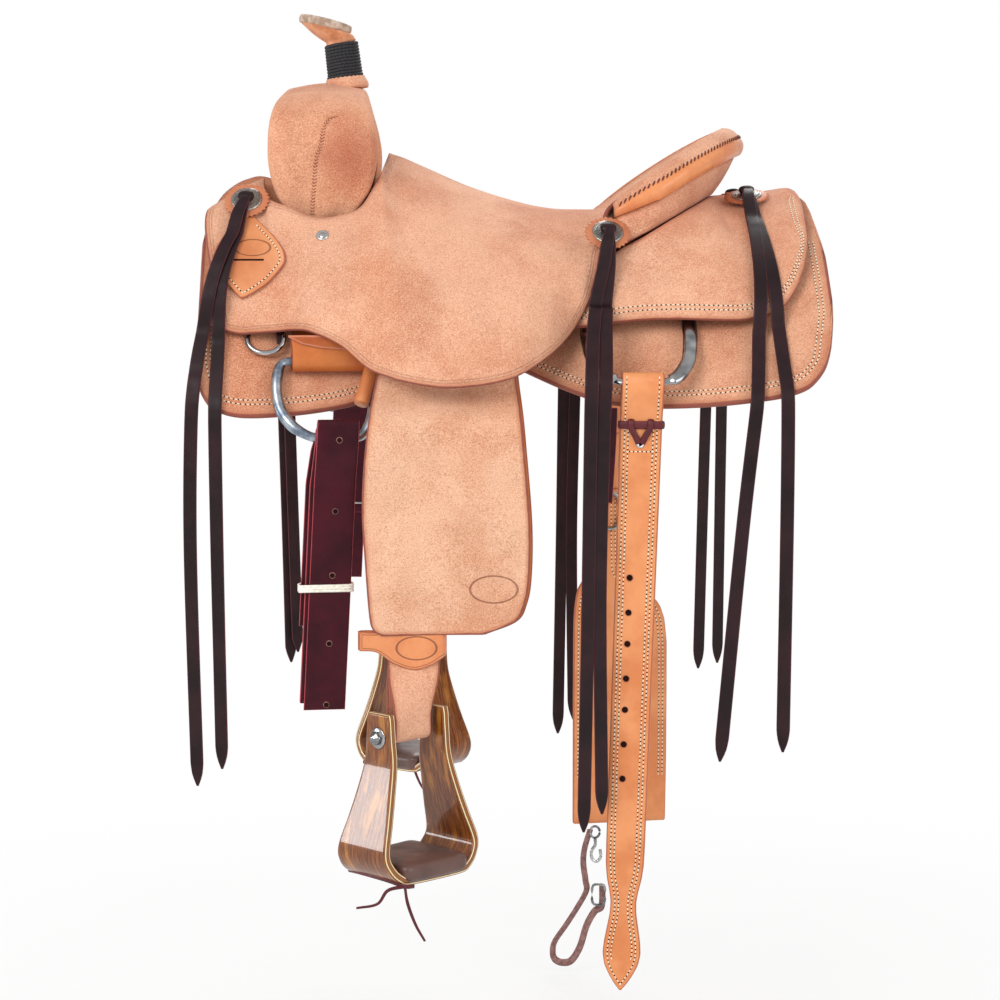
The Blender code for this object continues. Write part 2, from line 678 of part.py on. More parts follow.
def half_sheet(name, place, along, across, thickness, finish):
    """A sheet drawn for the near side and mirrored over the spine."""
    bm = bmesh.new()
    bmesh.ops.create_grid(bm, x_segments=along, y_segments=across, size=0.5)
    for vert in bm.verts:
        vert.co = place(vert.co.x + 0.5, vert.co.y + 0.5)
    bm.normal_update()
    total = sum((f.normal * f.calc_area() for f in bm.faces), Vector((0, 0, 0)))
    if total.dot(Vector((0, -0.5, 1))) < 0:
        bmesh.ops.reverse_faces(bm, faces=bm.faces)
    thing = adopt(bm, name, finish)
    mirror = thing.modifiers.new("off side", "MIRROR")
    mirror.use_axis = (False, True, False)
    mirror.use_mirror_merge = True
    mirror.merge_threshold = 0.0001
    return solidify(thing, thickness, -1)


def make_covers():
    """Seat leather with its jockeys, fork cover, cantle leathers and rear jockeys."""
    spans = len(SEAT_COLUMNS) - 1
    half_sheet("seat_leather", lambda u, v: column_point(SEAT_COLUMNS, u, v, NEAR), spans, SEAT_ROWS,
               LEATHER, "roughout")
    for side, word in SIDES:
        sheet("rear_jockey_" + word,
              lambda u, v: column_point(REAR_JOCKEY_COLUMNS, u, v, side),
              len(REAR_JOCKEY_COLUMNS) - 1, 5, JOCKEY_THICK, Vector((0, side, 1)), "roughout")

    middle = len(COVER_STATIONS) - 1
    last = 2 * middle

    def cover(u, v):
        i = round(u * last)
        side = NEAR if i <= middle else OFF
        station = i if i <= middle else last - i
        y, z = COVER_STATIONS[station][:2]
        y *= side
        inward = cover_inward(station)
        inward = Vector((0, side * inward[0] if station < middle else 0.0, inward[1])).normalized()
        x, deep = cover_section(station)[round(v * 8)]
        return Vector((x, y, z)) + inward * deep

    shell = sheet("fork_cover", cover, last, 8, COVER_THICK, Vector((0, 0, 1)), "roughout")
    bpy.ops.mesh.primitive_cylinder_add(vertices=20, radius=HORN_HOLE_R, depth=0.05,
                                        location=HORN_BASE)
    hole = bpy.context.object
    hole.name = "horn_hole"
    hole.hide_render = True
    hole.display_type = "WIRE"
    for owner in list(hole.users_collection):
        owner.objects.unlink(hole)
    guides.objects.link(hole)
    cut = shell.modifiers.new("horn hole", "BOOLEAN")
    cut.object = hole
    cut.operation = "DIFFERENCE"

    count = 20
    section = ((0.0012, 0.0005), (0.012, -0.001), (0.022, -0.008), (0.026, -0.018),
               (0.021, -0.030), (0.010, -0.027), (0.0095, -0.010))
    rings = []
    for n in range(count + 1):
        t = ROLL_END + (1 - 2 * ROLL_END) * n / count
        crest, out = rim_point(t)
        ease = roll_ease(t)
        rings.append([crest + out * (o * ease + 0.0012 * (1 - ease)) + Vector((0, 0, h * ease))
                      for o, h in section])
    loft("cantle_roll", rings, "russet")

    rings = []
    feet = [row[0] for row in REAR_JOCKEY_COLUMNS]
    for n in range(count + 1):
        t = ROLL_END + (1 - 2 * ROLL_END) * n / count
        crest, out = rim_point(t)
        ease = roll_ease(t)
        top = crest + (out * ROLL_UNDER - Vector((0, 0, ROLL_DEPTH))) * ease
        place = CANTLE_FOOT_FIRST + (CANTLE_FOOT_LAST - CANTLE_FOOT_FIRST) * 2 * min(t, 1 - t)
        x, y, z = (float(np.interp(place, range(len(feet)), [f[k] for f in feet])) for k in range(3))
        foot = Vector((x, y if top.y > 0 else -y, z + LAYER_GAP))
        rings.append([top, top - out * LEATHER, foot - out * LEATHER, foot])
    loft("cantle_back", rings, "roughout")


def make_horn():
    """Horn post, the rubber rope wrapped round it and the leather-bound cap."""
    lean = Matrix.Translation(HORN_BASE) @ Matrix.Rotation(HORN_TILT, 4, "Y")
    post = ((0.0, HORN_NECK_LENGTH), (HORN_NECK_R * 0.95, HORN_NECK_LENGTH),
            (HORN_NECK_R, HORN_NECK_LENGTH * 0.5), (HORN_NECK_R, WRAP_LIFT - GAP),
            (HORN_NECK_R + HORN_FLARE, 0.0), (0.0, 0.0))
    turned("tree_horn", post, "galvanised", 20, lean)
    inner = HORN_NECK_R + LAYER_GAP
    top = WRAP_LIFT + WRAP_LENGTH
    tube = ((inner + WRAP_THICK_TOP * 0.4, top), (inner + WRAP_THICK_TOP, top - 0.002),
            (inner + WRAP_THICK_TOP, WRAP_LIFT + WRAP_LENGTH * 0.5),
            (inner + WRAP_THICK_BASE, WRAP_LIFT + 0.002), (inner + WRAP_THICK_BASE, WRAP_LIFT),
            (inner, WRAP_LIFT), (inner, top), (inner + WRAP_THICK_TOP * 0.4, top))
    turned("horn_wrap", tube, "wrap_rubber", 20, lean)

    foot = lean @ Vector((0, 0, HORN_NECK_LENGTH + GAP))
    face = Matrix.Rotation(HORN_CAP_TILT, 3, "Y") @ Vector((0, 0, 1))
    under = HORN_CAP_CENTRE - face * HORN_CAP_THICK
    rings = []
    for share, radius, lift in ((0.0, HORN_NECK_R + 0.0015, 0.0), (0.25, HORN_NECK_R + 0.004, 0.0),
                                (0.60, HORN_CAP_R * 0.84, 0.0), (1.0, HORN_CAP_R * 0.97, 0.0),
                                (1.0, HORN_CAP_R, 0.003), (1.0, HORN_CAP_R, 0.006),
                                (1.0, HORN_CAP_R * 0.93, HORN_CAP_THICK)):
        centre = foot.lerp(under, share) + face * lift
        turn = Matrix.Rotation(HORN_TILT + (HORN_CAP_TILT - HORN_TILT) * share, 3, "Y")
        spots = [2 * pi * n / 24 for n in range(24)]
        rings.append([centre + turn @ Vector((radius * cos(a), radius * sin(a), 0)) for a in spots])
    loft("horn_cap", rings, "russet")


def fender_y(z):
    """Depth of the fender's outer face: it lies on the leather at the top and hangs further out."""
    share = (FENDER_BEND_TOP_Z - z) / (FENDER_BEND_TOP_Z - FENDER_BEND_LOW_Z)
    share = min(max(share, 0.0), 1.0)
    ease = share * share * (3 - 2 * share)
    top = FENDER_PIVOT.y - GAP - FENDER_THICK
    return top + (FENDER_OUT_Y - top) * ease


def make_fenders():
    """Upper stirrup leathers, fenders, hobble straps and the leather legs to the stirrups."""
    for side, word in SIDES:
        flip = -side
        hang = Vector((FENDER_PIVOT.x, 0, 0))
        outer = FENDER_PIVOT.y + STRAP_THICK / 2
        lift = BAR_LIFT + LAYER_GAP * 2 + STRAP_THICK / 2
        route = [(y, over(FENDER_PIVOT.x, y, lift)) for y in STRAP_BAR_Y]
        route += [(0.205, -0.062), (-outer - 0.006, -0.080), (-outer, -0.095), (-outer, -0.120),
                 (-outer, -0.135)]
        path = [Vector((hang.x, side * y, z)) for y, z in route]
        strap("stirrup_leather_" + word, path, STRAP_WIDTH, STRAP_THICK, (1, 0, 0), "russet")

        def panel(u, v):
            z = FENDER_ROWS[round(u * (len(FENDER_ROWS) - 1))]
            left = float(np.interp(-z, [-p[0] for p in FENDER_LEFT], [p[1] for p in FENDER_LEFT]))
            right = float(np.interp(-z, [-p[0] for p in FENDER_RIGHT],
                                    [p[1] for p in FENDER_RIGHT]))
            return Vector((left + (right - left) * v, flip * fender_y(z), z))

        sheet("fender_" + word, panel, len(FENDER_ROWS) - 1, 4, FENDER_THICK,
              Vector((0, side, 0)), "roughout")

        inner = FENDER_OUT_Y + FENDER_THICK + GAP + LEG_THICK / 2
        frame = stirrup_frame(side)
        loop_r = BOLT_R + LAYER_GAP + LEG_THICK / 2
        away = frame.to_3x3() @ Vector((0, 1, 0)) * (1 if side == OFF else -1)
        bolt = frame.translation
        down = [(-0.100, inner, LEG_TOP_Z), (-0.100, inner, -0.405), (-0.100, inner, -0.440)]
        path = [Vector((x, flip * y, z)) for x, y, z in down]
        landing = bolt + away * loop_r + Vector((0, 0, 0.020))
        for share in (0.3, 0.6):
            path.append(path[2].lerp(landing, share))
        path += [landing, bolt + away * loop_r]
        for angle in (40, 90, 140, 180):
            a = radians(angle)
            path.append(bolt + away * (loop_r * cos(a)) - Vector((0, 0, loop_r * sin(a))))
        path.append(bolt - away * loop_r + Vector((0, 0, 0.018)))
        turn = STIRRUP_TURN * flip
        turns = [0, 0, 0, 0.35 * turn, 0.75 * turn] + [turn] * (len(path) - 5)
        strap("stirrup_leg_" + word, path, LEG_WIDTH, LEG_THICK, (1, 0, 0), "roughout",
              twist=turns)

        band = []
        top, low = HOBBLE_TOP_Z, HOBBLE_LOW_Z
        reach_out = inner - LEG_THICK / 2 - GAP - HOBBLE_THICK / 2
        reach_in = inner + LEG_THICK / 2 + GAP + HOBBLE_THICK / 2
        left, right = -0.158, -0.068
        loop = [(left, reach_out), (-0.100, reach_out), (right, reach_out),
                (right + 0.0015, (reach_out + reach_in) / 2), (right, reach_in),
                (-0.100, reach_in), (left + 0.004, reach_in)]
        for x, y in loop:
            band.append(Vector((x, flip * y, (top + low) / 2)))
        strap("hobble_strap_" + word, band, top - low, HOBBLE_THICK, (0, 0, 1), "russet")


def stirrup_frame(side):
    """Placement of a stirrup: its own X runs from leg to leg, its own Y along the foot."""
    turn = STIRRUP_TURN if side == NEAR else -STIRRUP_TURN
    centre = Vector((STIRRUP_CENTRE.x, -side * STIRRUP_CENTRE.y, STIRRUP_CENTRE.z))
    return Matrix.Translation(centre) @ Matrix.Rotation(turn, 4, "Z")


def make_stirrups():
    """Laminated wooden stirrups, their leather treads and the bolts that they hang on."""
    half_neck, half_floor = STIRRUP_NECK / 2, STIRRUP_FLOOR / 2
    round_r = 0.030
    leg = [(-half_neck, STIRRUP_RISE), (-half_neck, -0.030), (-half_floor + 0.010, -0.085),
           (-half_floor, -STIRRUP_DROP + round_r)]
    arc = [(-half_floor + round_r * (1 - cos(a)), -STIRRUP_DROP + round_r * (1 - sin(a)))
           for a in (radians(30), radians(60), radians(90))]
    left = leg + arc
    route = left + [(-x, z) for x, z in left[::-1]]
    last = len(route) - 1
    for side, word in SIDES:
        frame = stirrup_frame(side)

        def board(u, v):
            x, z = route[round(u * last)]
            drop = min(max((STIRRUP_RISE - z) / (STIRRUP_RISE + STIRRUP_DROP), 0), 1)
            swell = drop ** 1.5
            width = STIRRUP_NECK_WIDTH + (STIRRUP_FLOOR_WIDTH - STIRRUP_NECK_WIDTH) * swell
            return frame @ Vector((x, (v - 0.5) * width, z))

        bm = bmesh.new()
        bmesh.ops.create_grid(bm, x_segments=last, y_segments=2, size=0.5)
        for vert in bm.verts:
            vert.co = board(vert.co.x + 0.5, vert.co.y + 0.5)
        wood = solidify(adopt(bm, "stirrup_" + word, "stirrup_wood"), STIRRUP_WOOD, 0, even=True)
        bolt_hole = cutter_cylinder(frame, BOLT_R + GAP, STIRRUP_NECK * 2, "bolt_hole_" + word)
        cut = wood.modifiers.new("bolt hole", "BOOLEAN")
        cut.object = bolt_hole
        cut.operation = "DIFFERENCE"

        floor = -STIRRUP_DROP + STIRRUP_WOOD / 2 + GAP
        reach = half_floor - round_r + 0.004
        depth = STIRRUP_FLOOR_WIDTH * 0.92
        rings = []
        for x in (-reach, -reach + 0.006, 0.0, reach - 0.006, reach):
            end = abs(x) > reach - 0.001
            shrink = 0.004 if end else 0.0
            lift = 0.006 if end else 0.0
            rings.append([frame @ Vector((x, y, z)) for y, z in (
                (-depth / 2 + shrink, floor + lift), (depth / 2 - shrink, floor + lift),
                (depth / 2, floor + TREAD_THICK * 0.6), (depth / 2 - 0.006, floor + TREAD_THICK),
                (-depth / 2 + 0.006, floor + TREAD_THICK), (-depth / 2, floor + TREAD_THICK * 0.6))])
        loft("tread_" + word, rings, "tread_leather")

        half = STIRRUP_NECK / 2 + STIRRUP_WOOD / 2
        over = half + GAP
        bolt = ((0.0, over + BOLT_HEAD_THICK), (BOLT_HEAD_R, over + BOLT_HEAD_THICK),
                (BOLT_HEAD_R, over), (BOLT_R, over), (BOLT_R, -over), (BOLT_HEAD_R, -over),
                (BOLT_HEAD_R, -over - BOLT_HEAD_THICK), (0.0, -over - BOLT_HEAD_THICK))
        lying = frame @ Matrix.Rotation(pi / 2, 4, "Y")
        turned("stirrup_bolt_" + word, bolt, "silver", 12, lying)


def cutter_cylinder(frame, radius, depth, name):
    """A cutter along a frame's own X."""
    bpy.ops.mesh.primitive_cylinder_add(vertices=12, radius=radius, depth=depth)
    tool = bpy.context.object
    tool.name = name
    tool.matrix_world = frame @ Matrix.Rotation(pi / 2, 4, "Y")
    tool.hide_render = True
    tool.display_type = "WIRE"
    for owner in list(tool.users_collection):
        owner.objects.unlink(tool)
    guides.objects.link(tool)
    return tool


def on_leather(table, last_u, x, z, lift, side):
    """A point on a leather at a place given from the side, lifted off it, found by halving."""
    u, v = last_u / 2, 0.5
    for _ in range(14):
        low, high = 0.0, 1.0
        for _ in range(20):
            v = (low + high) / 2
            if column_point(table, u, v, NEAR).z > z:
                low = v
            else:
                high = v
        low, high = 0.0, last_u
        for _ in range(20):
            u = (low + high) / 2
            if column_point(table, u, v, NEAR).x < x:
                low = u
            else:
                high = u
    p = column_point(table, u, v, NEAR) + column_normal(table, u, v, NEAR) * lift
    return Vector((p.x, -side * p.y, p.z))


def on_seat(x, z, lift, side):
    """A point on the front jockey."""
    return on_leather(SEAT_COLUMNS, FRONT_JOCKEY_U, x, z, lift, side)


def make_keepers():
    """The latigo keepers, kite-shaped plates under the front conchos."""
    for side, word in SIDES:
        def place(u, v):
            z = KEEPER_LEFT[0][0] + (KEEPER_LEFT[-1][0] - KEEPER_LEFT[0][0]) * u
            heights = [-p[0] for p in KEEPER_LEFT]
            left = float(np.interp(-z, heights, [p[1] for p in KEEPER_LEFT]))
            right = float(np.interp(-z, [-p[0] for p in KEEPER_RIGHT],
                                    [p[1] for p in KEEPER_RIGHT]))
            return on_seat(left + (right - left) * v, z, KEEPER_LIFT + KEEPER_THICK, side)

        sheet("latigo_keeper_" + word, place, 5, 4, KEEPER_THICK, Vector((0, side, 0.3)),
              "russet")


def rig_frame(side):
    """Front rigging: the dee's top bar, its run, outwards, and the dee's way down."""
    lift = SKIRT_LIFT + LAYER_GAP * 2 + RIG_THICK + DEE_WIRE_R + LAYER_GAP
    ahead = on_side(RIG_X - RIG_LENGTH / 2, RIG_BAR_Z, lift, side)
    behind = on_side(RIG_X + RIG_LENGTH / 2, RIG_BAR_Z, lift, side)
    run = (behind - ahead).normalized()
    out = Vector((run.y, -run.x, 0)) * (1 if side == NEAR else -1)
    centre = (ahead + behind) / 2 + out * DEE_STAND
    hem = on_side(RIG_X, DEE_HEM_Z, SKIRT_LIFT + DEE_WIRE_R + LAYER_GAP * 2, side)
    hem += out * DEE_STAND * 3
    down = Vector((0, (hem - centre).y, (hem - centre).z)).normalized()
    return centre, run, out, down


def make_front_rigging():
    """Rigging leathers with the big dees in their folds, the latigo and the off billet."""
    ring = ((-0.046, 0.0), (0.045, 0.0), (0.052, 0.011), (0.052, 0.050), (0.047, 0.076),
            (0.036, DEE_DROP), (-0.016, DEE_DROP), (-0.036, 0.078), (-0.050, 0.058),
            (-0.055, 0.034), (-0.054, 0.010))
    for side, word in SIDES:
        centre, run, out, down = rig_frame(side)
        fold = DEE_WIRE_R + LAYER_GAP + RIG_THICK / 2
        up = Vector((0, 0, 1))
        skirt_rows = (RIG_TOP_Z, -0.068, -0.086, -0.102)
        arc = [radians(a) for a in (0, 45, 90, 135, 180)]
        rows = len(skirt_rows) + len(arc) + 2 - 1

        def place(u, v):
            i = round(u * rows)
            along = (v - 0.5) * RIG_LENGTH
            if i < len(skirt_rows):
                lift = SKIRT_LIFT + LAYER_GAP * 1.6 + RIG_THICK / 2
                return on_side(RIG_X + along * run.x, skirt_rows[i], lift, side)
            i -= len(skirt_rows)
            if i < len(arc):
                return centre + run * along - out * (fold * cos(arc[i])) - up * (fold * sin(arc[i]))
            return centre + run * along + out * fold + up * (0.014 * (i - len(arc) + 1))

        bm = bmesh.new()
        bmesh.ops.create_grid(bm, x_segments=rows, y_segments=3, size=0.5)
        for vert in bm.verts:
            vert.co = place(vert.co.x + 0.5, vert.co.y + 0.5)
        solidify(adopt(bm, "rigging_leather_" + word, "russet"), RIG_THICK, 0)

        points = [centre + run * a + down * d for a, d in ring]
        wire("front_dee_" + word, points, DEE_WIRE_R, "galvanised")

        bar = centre + down * DEE_DROP
        hug = DEE_WIRE_R + LAYER_GAP + LATIGO_THICK / 2
        pitch = LATIGO_PITCH
        neck = bar.z - 0.014
        over_bar = [(-hug * cos(a), bar.z + hug * sin(a)) for a in arc]
        if side == NEAR:
            far = hug + pitch
            last = far + pitch
            low = LATIGO_LOW_Z
            join = neck - LATIGO_JOIN
            route = [(-1.5 * pitch, low + LATIGO_BACK), (-1.5 * pitch, join), (-hug, neck)] + over_bar
            route += [(hug, neck), (-0.5 * pitch, join), (-0.5 * pitch, low + LATIGO_FOLD),
                      (0.0, low + LATIGO_FOLD - pitch / 2), (0.5 * pitch, low + LATIGO_FOLD),
                      (0.5 * pitch, join), (far, neck), (far, LATIGO_TOP_Z),
                      (far + pitch / 2, LATIGO_TOP_Z + pitch / 2), (last, LATIGO_TOP_Z),
                      (last, neck), (1.5 * pitch, join), (1.5 * pitch, low)]
            name = "latigo_near"
        else:
            join = neck - LATIGO_JOIN
            route = [(-0.5 * pitch, -0.330), (-0.5 * pitch, join), (-hug, neck)] + over_bar
            route += [(hug, neck), (0.5 * pitch, join), (0.5 * pitch, OFF_BILLET_LOW_Z)]
            name = "off_billet"
        path = []
        for n, z in route:
            slide = LATIGO_SHIFT - LATIGO_SLANT * (bar.z - z)
            path.append(Vector((bar.x, bar.y, 0)) + out * n + up * z + run * slide)
        strap(name, path, LATIGO_WIDTH, LATIGO_THICK, run, "latigo")


def make_breast_dees():
    """Small dees for a breast collar, hung from a tab under the front of the jockey."""
    for side, word in SIDES:
        lift = SKIRT_LIFT + BREAST_DEE_WIRE_R + LAYER_GAP
        points = []
        for n in range(12):
            a = 2 * pi * n / 12
            x = BREAST_DEE_X + BREAST_DEE_R * cos(a)
            z = BREAST_DEE_TOP_Z - BREAST_DEE_HALF_HEIGHT * (1 - sin(a))
            spot = on_side(BREAST_DEE_X, z, lift, side)
            points.append(Vector((x, spot.y + side * BREAST_DEE_STAND, z)))
        wire("breast_dee_" + word, points, BREAST_DEE_WIRE_R, "silver", resolution=0)


def make_rear_rigging():
    """Rear dees, the flank billets and the folded flank cinch with its connector strap."""
    half = REAR_DEE_HALF
    ring = ((-half, 0.0), (half, 0.0), (half, 0.40), (half * 0.90, 0.72), (half * 0.66, 0.94),
            (half * 0.46, 1.0), (-half * 0.46, 1.0), (-half * 0.66, 0.94), (-half * 0.90, 0.72),
            (-half, 0.40))
    arc = [radians(a) for a in (45, 90, 135)]
    for side, word in SIDES:
        lift = SKIRT_LIFT + REAR_DEE_WIRE_R + LAYER_GAP
        ahead = on_side(REAR_DEE_X - half, REAR_DEE_TOP_Z, lift, side)
        behind = on_side(REAR_DEE_X + half, REAR_DEE_TOP_Z, lift, side)
        run = (behind - ahead).normalized()
        top = (ahead + behind) / 2
        bar = Vector((REAR_BAR.x, side * REAR_BAR.y, REAR_BAR.z))
        fall = bar - top
        points = [top + run * a + fall * d for a, d in ring]
        wire("rear_dee_" + word, points, REAR_DEE_WIRE_R, "silver")

        hug = REAR_DEE_WIRE_R + LAYER_GAP + BILLET_THICK / 2
        low = BILLET_TIP_Z if side == NEAR else OFF_FLANK_LOW_Z
        outer = LAYER_GAP / 2
        inner = outer - BILLET_THICK - LAYER_GAP * 0.8
        start = [(inner, -0.230), (inner, -0.185), (-hug, bar.z - 0.010), (-hug, bar.z)]
        over_bar = [(-hug * cos(a), bar.z + hug * sin(a)) for a in arc]
        front = [(hug, bar.z), (hug, bar.z - 0.010), (outer, -0.190), (outer, -0.230)]
        if side == NEAR:
            front += [(outer, z) for z in (-0.400, -0.600, -0.655, -0.690, -0.740, low)]
        else:
            front += [(outer, low)]
        path = []
        for n, z in start + over_bar + front:
            slant = BILLET_SLANT * (bar.z - z)
            path.append(Vector((bar.x - slant, bar.y + side * n, z)))
        shares = [1.0] * len(path)
        if side == NEAR:
            shares[-5:] = [0.96, 0.92, 0.58, 0.74, 0.06]
        strap("flank_billet_" + word, path, BILLET_WIDTH, BILLET_THICK, run, "russet",
              taper=lambda t: shares[round(t * (len(path) - 1))])

    outer_y = REAR_BAR.y - BILLET_THICK / 2 - LAYER_GAP * 0.2
    turn = CINCH_THICK / 2 + LAYER_GAP / 2
    y = outer_y - CINCH_THICK - LAYER_GAP / 2
    tongue_x = REAR_DEE_X - BILLET_SLANT * (REAR_BAR.z - CINCH_TOP_Z)
    half_rows = [(tongue_x, CINCH_TOP_Z, 0.34), (tongue_x - 0.002, CINCH_SHOULDER_Z, 0.40),
                 (CINCH_X - 0.006, CINCH_SHOULDER_Z - 0.016, 0.80), (CINCH_X, CINCH_FULL_Z, 0.95),
                 (CINCH_X, -0.600, 1.0), (CINCH_X, CINCH_LOW_Z, 1.0)]
    rows = [(x, y - turn, z, share) for x, z, share in half_rows]
    rows += [(CINCH_X, y, CINCH_LOW_Z - turn, 1.0)]
    rows += [(x, y + turn, z, share) for x, z, share in half_rows[::-1]]
    path = [Vector((x, y + run.y / run.x * (x - tongue_x), z)) for x, y, z, _ in rows]
    shares = [row[3] for row in rows]
    strap("flank_cinch", path, CINCH_WIDTH, CINCH_THICK, run, "russet",
          taper=lambda t: shares[round(t * (len(path) - 1))])

    top = CINCH_LOW_Z - CONNECTOR_DROP
    route = smooth([(CONNECTOR_X + x, top + z) for x, z in CONNECTOR_ROUTE], 18)
    depth = y + run.y / run.x * (route[0][0] - tongue_x)
    path = [Vector((p[0], depth, p[1])) for p in route]
    strap("connector_strap", path, CONNECTOR_WIDTH, CONNECTOR_THICK, (0, 1, 0), "string")


def depth_at(where, x, z, lift):
    """How far out the leathers reach under a saddle string at one place, plus its lift."""
    reach = on_side(x, max(z, STRING_FREE_Z), SKIRT_LIFT + lift, OFF).y
    if where == "mid" and z < REAR_DEE_TOP_Z:
        top = on_side(REAR_DEE_X, REAR_DEE_TOP_Z, SKIRT_LIFT + REAR_DEE_WIRE_R + LAYER_GAP, OFF).y
        share = min((REAR_DEE_TOP_Z - z) / (REAR_DEE_TOP_Z - REAR_BAR.z), 1.0)
        pitch = lift - STRING_LIFTS[where]
        reach = max(reach, top + (REAR_BAR.y - top) * share + STRING_OVER_DEE + pitch)
    if where == "front" and z > FRONT_HEM_Z:
        reach = max(reach, on_seat(x, z, KEEPER_THICK + KEEPER_LIFT + lift, OFF).y)
    if where == "mid" and z > REAR_HEM_Z:
        reach = max(reach, on_leather(SEAT_COLUMNS, MID_JOCKEY_U, x, z, lift, OFF).y)
    if where != "front" and z > REAR_HEM_Z:
        reach = max(reach, on_leather(REAR_JOCKEY_COLUMNS, 0.999, x, z, lift, OFF).y)
    return reach


def string_path(where, route, lift, side, first):
    """Points of one hanging end, from the concho to the tip; it never turns back inwards."""
    points, most = [], first
    half = STRING_WIDTH / 2
    for x, z in route:
        most = max([most] + [depth_at(where, at, z, lift) for at in (x - half, x, x + half)])
        points.append(Vector((x, side * most, z)))
    return points


def make_conchos_and_strings():
    """Silver conchos on their rosettes, each with one long lace so that two ends hang."""
    top = ROSETTE_THICK + CONCHO_DOME
    profile = ((0.0, top), (CONCHO_R * 0.55, top - CONCHO_DOME * 0.15),
               (CONCHO_R * 0.9, top - CONCHO_DOME * 0.55), (CONCHO_R, ROSETTE_THICK + 0.001),
               (CONCHO_R, ROSETTE_THICK), (ROSETTE_R, ROSETTE_THICK), (ROSETTE_R, 0.0), (0.0, 0.0))
    for where in CONCHOS:
        for side, word in SIDES:
            spot, normal, stand = CONCHOS[where]
            normal = Vector((normal[0], side * normal[1], normal[2])).normalized()
            point = Vector((spot[0], side * spot[1], spot[2])) + normal * stand
            turned(f"concho_{where}_{word}", profile, "silver", 16, facing_matrix(point, normal))

            name = f"{where}_{word}"
            routes = STRING_ROUTES.get(name) or STRING_ROUTES[where]
            over = point + normal * (top + LAYER_GAP + STRING_THICK / 2)
            downhill = Vector((0, side * normal.z, -abs(normal.y))).normalized()
            edge = over + downhill * ROSETTE_R - normal * CONCHO_DOME * 0.4
            high = normal * STRING_PITCH
            lift = STRING_LIFTS[where]
            reach = abs(edge.y)
            lower = string_path(where, routes[0], lift, side, reach)
            upper = string_path(where, routes[1], lift + STRING_PITCH, side, reach + STRING_PITCH)
            down = smooth([over, edge] + lower, 13)[::-1]
            back = smooth([over + high, edge + high] + upper, 13)
            bend = over + high / 2 - downhill * STRING_PITCH / 2
            path = down + [bend] + back
            last = len(path) - 1
            strap("strings_" + name, path, STRING_WIDTH, STRING_THICK, (1, 0, 0), "string",
                  taper=lambda t: STRING_TIP if round(t * last) in (0, last) else 1.0)


def pivot(name, point, run, pieces, parent=None):
    """An empty on a joint's axis, with its own X along that axis, that carries moving pieces."""
    empty = bpy.data.objects.new(name, None)
    turn = Vector((1, 0, 0)).rotation_difference(Vector(run)).to_matrix().to_4x4()
    place = Matrix.Translation(point) @ turn
    empty.matrix_world = place
    part.objects.link(empty)
    if parent:
        empty.parent = parent
        empty.matrix_parent_inverse = parent.matrix_world.inverted()
    bpy.context.view_layer.update()
    for piece in pieces:
        thing = bpy.data.objects[piece]
        thing.parent = empty
        thing.matrix_parent_inverse = empty.matrix_world.inverted()
    return empty


def make_pivots():
    """Hang each moving piece from an empty on its joint's axis."""
    for side, word in SIDES:
        fender = Vector((SWING_X, side * -FENDER_PIVOT.y, FENDER_PIVOT.z))
        swing = pivot("fender_axis_" + word, fender, (0, 1, 0),
                      ["fender_" + word, "stirrup_leg_" + word, "hobble_strap_" + word])
        frame = stirrup_frame(side)
        pivot("stirrup_axis_" + word, frame.translation, frame.to_3x3() @ Vector((1, 0, 0)),
              ["stirrup_" + word, "tread_" + word, "stirrup_bolt_" + word], swing)

        centre, run, out, down = rig_frame(side)
        dee = pivot("front_dee_axis_" + word, centre, (1, 0, 0), ["front_dee_" + word])
        hanging = "latigo_near" if side == NEAR else "off_billet"
        pivot("front_billet_axis_" + word, centre + down * DEE_DROP, (1, 0, 0), [hanging], dee)
        lift = SKIRT_LIFT + BREAST_DEE_WIRE_R + LAYER_GAP
        ring = on_side(BREAST_DEE_X, BREAST_DEE_TOP_Z, lift, side)
        ring.y += side * BREAST_DEE_STAND
        pivot("breast_dee_axis_" + word, ring, (1, 0, 0), ["breast_dee_" + word])
        rear = Vector((REAR_BAR.x, side * REAR_BAR.y, REAR_BAR.z))
        billet = pivot("flank_axis_" + word, rear, (1, 0, 0), ["flank_billet_" + word])
        if side == OFF:
            bpy.data.objects["flank_cinch"].parent = billet
            inverse = billet.matrix_world.inverted()
            bpy.data.objects["flank_cinch"].matrix_parent_inverse = inverse
            top = Vector((CONNECTOR_X, REAR_BAR.y, CINCH_LOW_Z - CONNECTOR_DROP))
            pivot("connector_axis", top, (1, 0, 0), ["connector_strap"], billet)
        for where, (spot, normal, stand) in CONCHOS.items():
            at = Vector((spot[0], side * spot[1], spot[2] + stand))
            pivot(f"strings_axis_{where}_{word}", at, (1, 0, 0), [f"strings_{where}_{word}"])


def main():
    """Build the saddle."""
    clear_scene()
    make_fleece_and_skirts()
    make_tree()
    make_covers()
    make_horn()
    make_fenders()
    make_stirrups()
    make_keepers()
    make_front_rigging()
    make_breast_dees()
    make_rear_rigging()
    make_conchos_and_strings()
    make_pivots()


main()
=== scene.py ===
# %% [markdown]
# # A ranch roping saddle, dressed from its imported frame
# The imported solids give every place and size. This notebook covers them with leather, wool, wood
# and metal surfaces, each worked out as a formula on a grid of points.

